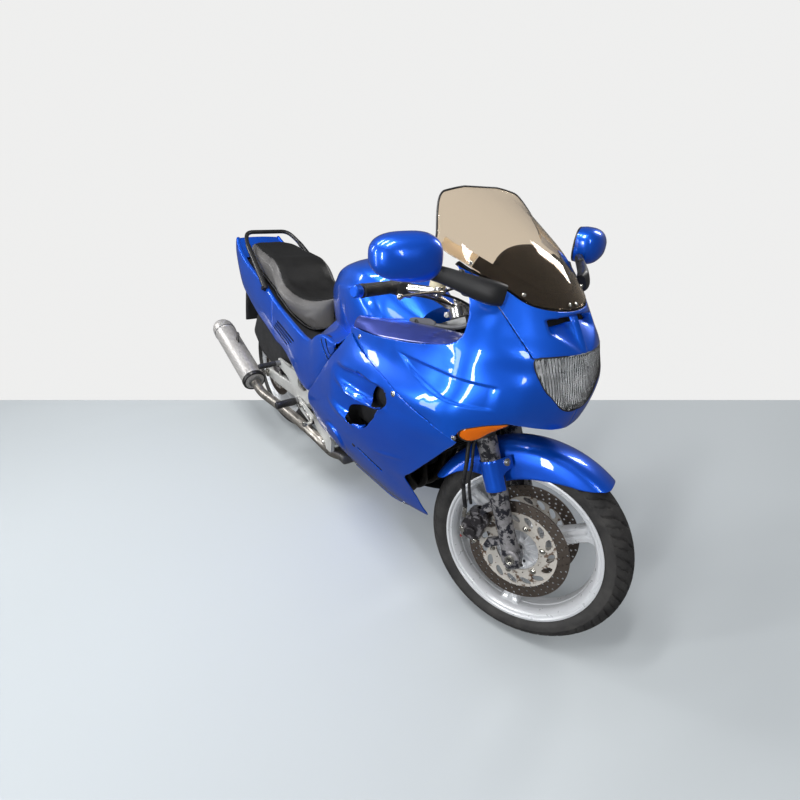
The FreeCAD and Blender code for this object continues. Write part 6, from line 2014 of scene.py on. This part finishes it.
def build_tail():
    """Tail cowl with its deck, and the tail light."""
    half = Shape().grid(cover_net(TAIL, 90, 50))
    deck = [[(x, y * k, z + 5 * (1 - k * k)) for k in np.linspace(-1, 1, 15)]
            for x, y, z in TAIL_DECK]
    tail = half.join(half.mirrored()).join(Shape().grid(patch(deck, 41, 24)))
    painted(tail, "tail_cowl_skin", ("tail_cowl",), wall=COVER_WALL, outward=(-80, 0, 720))
    lens = Shape()
    rings = []
    for share, k in ((0.0, 0.985), (0.35, 1.0), (0.75, 0.95), (1.0, 0.82)):
        low_x, top_x = TAIL_REAR - 42 * share, TAIL_REAR - 20 * share
        half_y = 112 - 26 * share
        rings.append([(low_x + (top_x - low_x) * (b + 1) / 2, a * half_y * k,
                       857 + b * (57 - 10 * share) * k) for a, b in egg(44, 4.0)])
    lens.loft(rings)
    piece(lens, "tail_light_lens", red_lens, ("tail_light",))
    bars = Shape()
    for z in (838, 876):
        bars.tube([(-396 + (z - 816) * 0.26, y, z) for y in np.linspace(-74, 74, 12)], 1.8, 8)
    piece(bars, "tail_light_ribs", liner)


def filleted(points, radius, steps=7):
    """Open path with its corners rounded, read at close spacing."""
    points = np.asarray(points, float)
    out = [points[0]]
    for before, corner, after in zip(points, points[1:], points[2:]):
        a, b = before - corner, after - corner
        reach = min(radius, np.linalg.norm(a) * 0.46, np.linalg.norm(b) * 0.46)
        enter, leave = corner + unit(a) * reach, corner + unit(b) * reach
        out += [(1 - t) ** 2 * enter + 2 * t * (1 - t) * corner + t * t * leave
                for t in np.linspace(0, 1, steps)]
    return np.array(out + [points[-1]])


def build_grab_rail():
    """Hoop behind the seat, thicker where it is held."""
    path = filleted([(100, -166, 764), (-176, -132, 925), (-236, -106, 962), (-236, 106, 962),
                     (-176, 132, 925), (100, 166, 764)], 42, 9)
    radii = [13.5 if point[0] > -150 else 9.6 for point in path]
    radii = np.convolve(np.pad(radii, 2, mode="edge"), np.ones(5) / 5, mode="valid")
    knots = chords(path)
    fine = np.linspace(0, knots[-1], 130)
    spots = np.stack([np.interp(fine, knots, path[:, i]) for i in range(3)], axis=1)
    rail = Shape().tube(spots, np.interp(fine, knots, radii), 18)
    for side in (-1, 1):
        rail.box((44, side * 158 - 5, 747), (74, side * 158 + 5, 772))
        rail.rod((92, side * 157, 768), (92, side * 183, 768), 9, count=20)
    piece(rail, "grab_rail_bar", black_steel, ("grab_rail",))


def build_rear_mudguard():
    """Black guard over the rear wheel, hanging down behind it."""
    line = ((240, 638.5), (150, 670), (60, 698), (-60, 707), (-150, 712), (-250, 717), (-338, 720),
            (-360, 690), (-404, 560), (-422, 470))
    spots = smooth(line, 60)
    headings = unit(np.gradient(spots, axis=0))
    rows = []
    for (x, z), (dx, dz) in zip(spots, headings):
        row = []
        for y, drop in ((-74, 14), (-73, 6), (-69, 1.5), (-60, 0), (-30, -1), (0, -1.5), (30, -1),
                        (60, 0), (69, 1.5), (73, 6), (74, 14)):
            row.append((x + dz * drop, y, z + dx * drop))
        rows.append(row)
    piece(Shape().grid(np.array(rows)), "rear_mudguard_skin", plastic, ("rear_mudguard",),
          wall=COVER_WALL, outward=(-100, 0, 500))


# --------------------------------------------------------- exhaust and chassis
# Link pipes from the collector: points before the silencer's foot, as (x, |y|, z)
LINK_ROUTES = {-1: ((652, 96, 162), (626, 136, 176), (590, 168, 224), (500, 186, 250),
                    (380, 200, 262), (300, 208, 266)),
               1: ((652, 96, 162), (600, 158, 165), (500, 174, 172), (300, 192, 208))}


def silencer_axis(side):
    """Foot of a silencer, its direction and its length."""
    front = np.array((44.0, side * 232, 304))
    rear = np.array((-402.0, side * 226, 462))
    return front, unit(rear - front), np.linalg.norm(rear - front)


def build_pipes():
    """Headers, collector and link pipes."""
    pipes, boxes = Shape(), Shape()
    for y in (-150.0, -55.0, 55.0, 150.0):
        inner = y * 0.34
        path = filleted([(1052, y, 462), (1094, y, 462), (1098, y * 0.85, 345),
                         (1088, inner * 1.25, 262), (950, inner, 164), (660, inner, 162)], 55)
        pipes.tube(path, 16, 20)
        pipes.lathe([(16, 0), (24, 0), (24, 7), (16, 9)], (1051, y, 462), (1, 0, 0), 24)
    outline = rounded([(-122, 140), (122, 140), (122, 182), (-122, 182)], 16, 5)
    boxes.loft([[(x, y * k, 161 + (z - 161) * k) for y, z in outline]
                for x, k in ((602, 0.9), (606, 1.0), (684, 1.0), (690, 0.9))])
    for side in (-1, 1):
        front, run, _ = silencer_axis(side)
        route = [(x, side * y, z) for x, y, z in LINK_ROUTES[side]] + [front - run * 80, front]
        pipes.tube(filleted(route, 70), 22, 24)
    piece(pipes, "exhaust_pipe_runs", heat_tint, ("exhaust_pipes",))
    piece(boxes, "exhaust_collector", dull_alloy)


def build_silencers():
    """Silencers with their bands, rivets and straps."""
    cans, ends, straps = Shape(), Shape(), Shape()
    for side in (-1, 1):
        front, run, length = silencer_axis(side)
        across, up = square_to(run)
        cans.lathe([(25, 2), (46, 3), (50, 8), (53.6, 18), (54.6, 24), (54.6, 34),
                    (53.2, 36), (53.2, length - 74), (54.6, length - 72), (54.6, length - 38),
                    (52, length - 20), (45, length - 5), (40, length), (31, length - 1),
                    (28, length - 4), (27, length - 20), (27, length - 60), (0.1, length - 60)],
                   front, run, 72)
        ends.lathe([(55, length - 70), (55.6, length - 68), (55.6, length - 64), (55, length - 62)],
                   front, run, 72)
        ends.lathe([(28, -8), (31, -6), (31, 2), (28, 3), (27, -4)], front, run, 40)
        straps.lathe([(47, 1), (53, 2), (56, 6), (56.5, 20), (54.8, 22), (54.8, 16), (52, 7),
                      (47, 1)], front, run, 60)
        for turn in range(12):
            a = math.radians(30 * turn)
            out = across * math.cos(a) + up * math.sin(a)
            spot = front + run * (length - 54) + out * 54.4
            ends.rod(spot, spot + out * 1.6, 2.6, count=10)
        middle = front + run * 250 + np.array((0, -side * 6, 48))
        straps.prism([middle + (x, 0, z) for x, z in ((-18, 0), (18, 0), (40, 52), (22, 58))],
                     (0, -side * 5, 0))
    piece(cans, "silencer_cans", brushed, ("silencers",), crease=30)
    piece(ends, "silencer_bands", dull_alloy)
    piece(straps, "silencer_straps", black_steel)


def build_swingarm():
    """Box-section swingarm with the rear axle and its adjusters."""
    arms, bits, pads = Shape(), Shape(), Shape()
    for side in (-1, 1):
        spots = [(592, side * 124, 350), (560, side * 124, 350), (500, side * 124, 346),
                 (420, side * 124, 337), (230, side * 124, 326), (40, side * 124, 318),
                 (-20, side * 124, 318), (-42, side * 124, 318)]
        halves = ((17, 26), (18, 31), (18, 33), (17.5, 35), (17.5, 31), (17.5, 27), (17, 26), (15, 22))
        arms.loft(sections(spots, Y, np.array((0, 0, 1.0)), halves, 5.0, 36))
        bits.rod((0, side * 143, 318), (0, side * 151, 318), 21, count=40)
        bits.rod((0, side * 150, 318), (0, side * 164, 318), 14, count=6)
        bits.rod((-40, side * 124, 318), (-62, side * 124, 318), 5, count=14)
        bits.rod((-44, side * 124, 318), (-52, side * 124, 318), 9, count=6)
        pads.lathe([(0, 3), (14, 3), (17, 0)], (560, side * 142, 350), Y * side, 28)
    arms.loft(sections([(x, 0, 336) for x in (352, 360, 422, 430)], Y, np.array((0, 0, 1.0)),
                       ((136, 26), (138, 30), (138, 30), (136, 26)), 8.0, 48))
    bits.rod((0, -140, 318), (0, 140, 318), 9.8, count=20)
    arms.rod((560, -149, 350), (560, 149, 350), 25.5, count=36)
    piece(arms, "swingarm_beams", silver, ("swingarm",), crease=45)
    piece(bits, "rear_axle_and_adjusters", zinc, ("rear_axle",))
    piece(pads, "swingarm_caps", plastic)


def build_shock():
    """Rear shock with its spring."""
    low, top = np.array((440.0, 0, 388)), np.array((500.0, 0, 564))
    run = top - low
    spring = Shape()
    across, up = square_to(run)
    turns = np.linspace(0, 7.5 * 2 * math.pi, 260)
    share = np.linspace(0.2, 0.86, 260)[:, None]
    coil = low + run * share + 26 * (np.cos(turns)[:, None] * across + np.sin(turns)[:, None] * up)
    spring.tube(coil, 5.2, 10)
    piece(spring, "shock_spring", red_rubber, slot="black_steel")
    body = Shape()
    body.lathe([(11, 6), (11, 30), (30, 34), (31, 38), (21, 42), (21, 110), (12, 114), (12, 156),
                (30, 158), (31, 165), (14, 172), (12, 182)], low, run, 36)
    for end in (low, top):
        body.rod(end - Y * 20, end + Y * 20, 20.5, count=32)
    piece(body, "shock_body", black_steel, ("rear_shock",))


def winding(loop):
    """Twice the area inside an outline, negative if it runs the other way round."""
    return sum(a[0] * b[1] - b[0] * a[1] for a, b in zip(np.roll(loop, 1, axis=0), loop))


def build_footrests():
    """Hangers with one large opening, and the pegs and levers they carry."""
    plates, pegs, rubbers, pedals = Shape(), Shape(), Shape(), Shape()
    outline = [(519, 520), (519, 380), (440, 330), (380, 330), (380, 372), (300, 420), (212, 440),
               (212, 480), (330, 470), (450, 540)]
    ring = rounded(outline, 16, 5)
    hole = rounded([(500, 500), (496, 430), (440, 400), (400, 420), (410, 470), (460, 505)], 24,
                   len(ring) // 6 + 1)
    hole = smooth_loop(hole, len(ring))
    start = int(np.argmin(np.linalg.norm(hole - ring[0], axis=1)))
    hole = np.roll(hole, -start, axis=0)
    if winding(ring) * winding(hole) < 0:
        hole = np.roll(hole[::-1], 1, axis=0)
    rings = [[(x, y, z) for x, z in loop] for loop, y in
             ((ring, -178), (hole, -178), (hole, -169), (ring, -169), (ring, -178))]
    plates.grid(np.array(rings), closed=True)
    plates.box((505, -177, 405), (528, -167, 508))
    plates.box((519.5, -178, 424), (556, -166.5, 496))
    for x, z, size in ((510, 418, 9), (510, 495, 9), (400, 352, 12), (232, 460, 11)):
        plates.rod((x, -177, z), (x, -184, z), size, count=20)
    outline = [(430, 372), (556, 340), (560, 318), (520, 296), (440, 318), (396, 338)]
    plates.prism([(x, -190, z) for x, z in rounded(outline, 9, 4)], (0, 6, 0))
    for x, z, far, radius in ((420, 352, 290, 16), (232, 460, 280, 12)):
        pegs.rod((x, -178, z), (x, -200, z), radius, count=24)
        rubbers.rod((x, -198, z), (x, -far + 1, z), radius - 1, count=24)
        for y in np.arange(-206, -far + 4, -8.0):
            rubbers.lathe([(radius - 1, 0), (radius + 0.6, 0.8), (radius + 0.6, 3.6),
                           (radius - 1, 4.4)], (x, y, z), -Y, 24)
    pedals.tube(filleted([(452, -186, 345), (520, -188, 322), (575, -205, 322), (590, -246, 330)],
                         26), 7, 16)
    pedals.rod((452, -178.5, 345), (452, -197, 345), 12, count=28)
    pedals.rod((588, -238, 330), (590, -251, 331), 9.5, count=20)
    piece(plates.both(), "footrest_plates", silver, ("footrest_hangers",), edge=1.5)
    piece(pegs.both(), "footrest_pegs", dull_alloy)
    piece(rubbers.both(), "footrest_rubbers", hose_rubber, crease=25)
    piece(pedals.both(), "foot_levers", alloy, ("foot_pedals",))


def build_radiator():
    """Radiator core with fins, end tanks and filler."""
    core, tanks, grille = Shape(), Shape(), Shape()
    core.box((1124, -150, 414), (1142, 150, 650))
    for z in np.arange(420, 646, 9.0):
        grille.box((1141, -150, z), (1147, 150, z + 2.6))
    for y in np.arange(-144, 146, 9.0):
        grille.box((1142, y, 414), (1145, y + 1.4, 650))
    outline = rounded([(1119, 410), (1150, 410), (1150, 655), (1119, 655)], 9, 4)
    for side in (-1, 1):
        tanks.prism([(x, side * 149, z) for x, z in outline], (0, side * 16, 0))
    tanks.rod((1136, 148, 648), (1136, 148, 668), 15, count=28)
    tanks.box((1051, -29, 561), (1120, 29, 599))
    piece(core, "radiator_core", engine_look, ("radiator",))
    piece(grille, "radiator_fins", black_steel, slot="radiator_black")
    piece(tanks, "radiator_tanks", dull_alloy)


def build_rear_caliper():
    """Rear caliper over its disc."""
    caliper, bolts = Shape(), Shape()
    outline = rounded([(52, 349), (150, 355), (150, 372), (118, 408), (70, 440), (38, 408)], 14, 5)
    for y0, y1 in ((-136, -102), (-87, -67)):
        caliper.prism([(x, y0, z) for x, z in outline], (0, y1 - y0, 0))
    bridge = rounded([(120, 400), (70, 440), (46, 418), (62, 452), (84, 452), (132, 410)], 5, 3)
    caliper.prism([(x, -104, z) for x, z in bridge], (0, 20, 0))
    for x, z in ((84, 398), (112, 378)):
        caliper.lathe([(0, 6), (14, 6), (17, 3), (19, 0)], (x, -136, z), -Y, 28)
    for x, z in ((62, 420), (132, 366)):
        bolts.rod((x, -136, z), (x, -143, z), 6, count=6)
    piece(caliper, "rear_caliper_body", peeling_dark, ("rear_caliper",), edge=1.2)
    piece(bolts, "rear_caliper_bolts", zinc)


def build_pivot_plates():
    """Bolt heads, and a flat black patch on each pivot plate as painted shade of its recess."""
    heads, hollow_shades = Shape(), Shape()
    for x, z, size in ((560, 350, 17), (600, 226, 11), (548, 610, 12), (632, 470, 8), (540, 560, 8)):
        heads.lathe([(0, 5), (size * 0.5, 5), (size * 0.55, 7), (size, 7), (size * 1.15, 4),
                     (size * 1.2, 0)], (x, -166, z), -Y, 28)
    # flat black egg on the plate: painted shade of the plate's recess
    loop = [(592 + a * 22, 420 + b * 42) for a, b in egg(32, 2.3)]
    hollow_shades.prism([(x, -166.6, z) for x, z in loop], (0, 0.5, 0))
    piece(heads.both(), "pivot_plate_bolts", zinc)
    piece(hollow_shades.both(), "pivot_plate_hollow_shades", liner)


def build_engine_covers():
    """Round covers and fins that show from below and through the vents."""
    covers = Shape()
    for side in (-1, 1):
        clutch = np.array((770, side * 168, 392))
        covers.lathe([(0, 16), (40, 15), (58, 10), (64, 0), (64, -4)], clutch, Y * side, 48)
        covers.lathe([(0, 10), (30, 10), (38, 6), (40, 0)], (930, side * 168, 420), Y * side, 40)
        for turn in range(8):
            spot = polar(clutch, 58, 45 * turn)
            covers.rod(spot, spot + Y * side * 10, 5, count=6)
    for z in np.arange(470, 632, 13.0):
        covers.box((880, -172, z), (1052, 172, z + 3))
    piece(covers, "engine_covers_and_fins", engine_look, slot="engine_grey", crease=30)


def build_ignition_lock():
    """Lock in the middle of the upper yoke."""
    lock = Shape()
    spot = on_fork(1001, -26, 0)
    lock.rod(spot, spot + HEAD_DIR * 22, 17, count=32)
    lock.rod(spot + HEAD_DIR * 22, spot + HEAD_DIR * 24, 9, count=24)
    piece(lock, "ignition_lock", black_steel, **STEERING)


for build in (build_upper, build_lower, build_screen, build_lamp, build_signals,
              build_screen_fittings, build_fairing_screws, build_mirrors, build_bars,
              build_levers, build_cables, build_dash, build_cockpit, build_tank, build_filler,
              build_seat, build_covers, build_tail, build_grab_rail, build_rear_mudguard,
              build_pipes, build_silencers, build_swingarm, build_shock, build_footrests,
              build_radiator, build_rear_caliper, build_pivot_plates, build_engine_covers,
              build_ignition_lock, build_fork_legs, build_front_axle, build_mudguard,
              build_front_calipers, build_hoses):
    build()
build_tyre("front_tyre_tread", FRONT_WHEEL, FRONT_SIZES, around=900, across=53, node="front_tyre")
build_tyre("rear_tyre_tread", REAR_WHEEL, REAR_SIZES, around=780, across=53, node="rear_tyre")
build_rim("front_rim_cast", FRONT_WHEEL, FRONT_SIZES, first_spoke=35, hub_half=62.0, node="front_rim")
build_rim("rear_rim_cast", REAR_WHEEL, REAR_SIZES, first_spoke=90, hub_half=91.5, node="rear_rim")
for label, direction in (("right", -1), ("left", 1)):
    build_disc(f"front_disc_{label}", FRONT_WHEEL, FRONT_AXLE, y=direction * 64.5, outer=148,
               inner=112, width=4.5, node="front_discs", outward=direction)
build_disc("rear_disc_right", REAR_WHEEL, REAR_AXLE, y=-94.5, outer=128, inner=92, width=5,
           node="rear_disc", outward=-1)
build_sprocket()
build_chain()


# ------------------------------------------------------ finish of CAD nodes
CAD_LOOKS = {
    "frame": silver, "subframe": black_steel, "engine": engine_look, "belly_pan": paint,
    "fork_yokes": dull_alloy, "side_stand": black_steel, "centre_stand": black_steel,
}
for node_name, look in CAD_LOOKS.items():
    node = frame["nodes"][node_name]
    node.data.materials.clear()
    node.data.materials.append(look)

# ------------------------------------------------------------ stage and light
WALL = (0.86, 0.86, 0.855)
FLOOR = (0.47, 0.50, 0.515)
DIM = 0.10                    # what glossy paint and metal see of the room
CAMERA_SPOT = PARK @ Vector((2052.9, -969.9, 1266.1))
CAMERA_TURNS = (2.447, 0.4637, 0.07)     # yaw, pitch down and roll, in the bike's frame
SENSOR = 36.0                 # width of the camera's sensor, in millimetres
FOCAL = 0.56635               # focal length over the width of the picture
FLOOR_HALF = 60.0             # half the size of the floor, in metres


def camera_axes():
    """Right, up and backward axes of the camera, in the row's frame."""
    yaw, pitch, roll = CAMERA_TURNS
    ahead = np.array((math.cos(yaw) * math.cos(pitch), math.sin(yaw) * math.cos(pitch),
                      -math.sin(pitch)))
    right = unit(np.cross(ahead, (0, 0, 1)))
    up = np.cross(right, ahead)
    right, up = (right * math.cos(roll) + up * math.sin(roll),
                 up * math.cos(roll) - right * math.sin(roll))
    return TURN.to_3x3() @ Matrix((right, up, -ahead)).transposed()


def seen_or_lit(tree, seen, lit, dim):
    """Mix three shaders: to the camera and through glass, to light, and to reflections."""
    path = tree.nodes.new("ShaderNodeLightPath")
    either = tree.nodes.new("ShaderNodeMath")
    either.operation = "MAXIMUM"
    tree.links.new(path.outputs["Is Camera Ray"], either.inputs[0])
    tree.links.new(path.outputs["Is Transmission Ray"], either.inputs[1])
    first, second = (tree.nodes.new("ShaderNodeMixShader") for _ in range(2))
    tree.links.new(path.outputs["Is Glossy Ray"], first.inputs["Fac"])
    tree.links.new(lit, first.inputs[1])
    tree.links.new(dim, first.inputs[2])
    tree.links.new(either.outputs[0], second.inputs["Fac"])
    tree.links.new(first.outputs[0], second.inputs[1])
    tree.links.new(seen, second.inputs[2])
    return second.outputs[0]


def plain(tree, kind, colour, strength=1.0):
    """Emission or background shader of one colour."""
    made = tree.nodes.new(kind)
    made.inputs["Color"].default_value = (*colour, 1)
    made.inputs["Strength"].default_value = strength
    return made.outputs[0]


def floor_look():
    """Pale grey floor that ends at a level line, where the wall begins."""
    m = Finish("studio_floor", roughness=0.6, specular_ior_level=0.2)
    m.put("Base Color", m.ramp(m.noise(0.4, 2.0), (0.3, FLOOR), (0.8, tuple(c * 1.05 for c in FLOOR))))
    position = m.node("ShaderNodeNewGeometry").outputs["Position"]
    up = camera_axes().col[1]
    rise = m.node("ShaderNodeVectorMath", operation="DOT_PRODUCT")
    m.feed(rise.inputs[0], position)
    rise.inputs[1].default_value = up
    beyond = m.math("GREATER_THAN", rise.outputs["Value"], CAMERA_SPOT.dot(up))
    wall = plain(m.tree, "ShaderNodeEmission", WALL)
    dim = plain(m.tree, "ShaderNodeEmission", (DIM, DIM, DIM))
    body = m.shader.outputs[0]
    floor = seen_or_lit(m.tree, body, body, dim)
    split = m.node("ShaderNodeMixShader")
    m.feed(split.inputs["Fac"], beyond)
    m.tree.links.new(floor, split.inputs[1])
    m.tree.links.new(seen_or_lit(m.tree, wall, body, dim), split.inputs[2])
    m.tree.links.new(split.outputs[0], m.tree.nodes["Material Output"].inputs["Surface"])
    return m.material


def build_stage():
    """Floor and world."""
    floor = bpy.data.meshes.new("studio_floor")
    half = FLOOR_HALF
    floor.from_pydata([(-half, -half, 0), (half, -half, 0), (half, half, 0), (-half, half, 0)], [],
                      [(0, 1, 2, 3)])
    floor.materials.append(floor_look())
    obj = bpy.data.objects.new("studio_floor", floor)
    bpy.context.scene.collection.objects.link(obj)
    world = bpy.data.worlds.new("studio")
    world.use_nodes = True
    bpy.context.scene.world = world
    tree = world.node_tree
    tree.nodes.remove(tree.nodes["Background"])
    lit = plain(tree, "ShaderNodeBackground", (0.80, 0.82, 0.85), 0.45)
    dim = plain(tree, "ShaderNodeBackground", (0.9, 0.95, 1.0), DIM)
    mixed = seen_or_lit(tree, plain(tree, "ShaderNodeBackground", WALL), lit, dim)
    tree.links.new(mixed, tree.nodes["World Output"].inputs["Surface"])


def area_light(name, place, target, size, power, colour):
    """Rectangular lamp turned to a target."""
    data = bpy.data.lights.new(name, "AREA")
    data.shape = "RECTANGLE"
    data.size, data.size_y = size
    data.energy = power
    data.color = colour
    obj = bpy.data.objects.new(name, data)
    obj.location = place
    obj.rotation_euler = (Vector(target) - Vector(place)).to_track_quat("-Z", "Y").to_euler()
    bpy.context.scene.collection.objects.link(obj)


# name, place, target, (width, height), watts, colour
LIGHTS = (
    ("overhead_front", (0.9, -0.7, 3.0), (0.8, -0.1, 0.6), (0.22, 1.0), 19, (1, 1, 1)),
    ("overhead_mid", (0.1, -0.7, 3.1), (0.1, -0.1, 0.6), (0.22, 1.0), 22, (1, 1, 1)),
    ("overhead_rear", (-0.8, -0.7, 3.1), (-0.6, -0.1, 0.6), (0.22, 1.0), 22, (1, 1, 1)),
    ("right_front", (1.5, -3.3, 1.9), (0.4, 0, 0.6), (0.25, 1.4), 34, (0.97, 0.99, 1)),
    ("right_rear", (-0.9, -3.3, 2.1), (-0.2, 0, 0.6), (0.25, 1.4), 36, (0.97, 0.99, 1)),
    ("right_low", (-0.5, -3.6, 1.0), (-0.2, 0, 0.6), (0.4, 1.8), 18, (0.97, 0.99, 1)),
    ("rear_side", (-3.0, -1.8, 2.4), (0, 0, 0.7), (0.5, 1.2), 26, (1, 1, 1)),
    ("left_side", (0.6, 3.4, 2.4), (0.2, 0, 0.7), (0.5, 1.4), 34, (1, 0.99, 0.97)),
    ("front", (3.4, -1.0, 2.6), (0.8, -0.1, 0.5), (0.35, 1.1), 17, (1, 1, 1)),
)
build_stage()
for light in LIGHTS:
    area_light(*light)


def build_camera():
    """Camera at the place and turn that the fit to the photograph gave."""
    data = bpy.data.cameras.new("camera")
    data.sensor_width = SENSOR
    data.lens = SENSOR * FOCAL
    data.clip_start, data.clip_end = 0.05, 60
    obj = bpy.data.objects.new("camera", data)
    obj.matrix_world = Matrix.Translation(CAMERA_SPOT) @ camera_axes().to_4x4()
    bpy.context.scene.collection.objects.link(obj)
    bpy.context.scene.camera = obj


build_camera()
bpy.context.scene.view_settings.view_transform = "Standard"
bpy.context.view_layer.update()
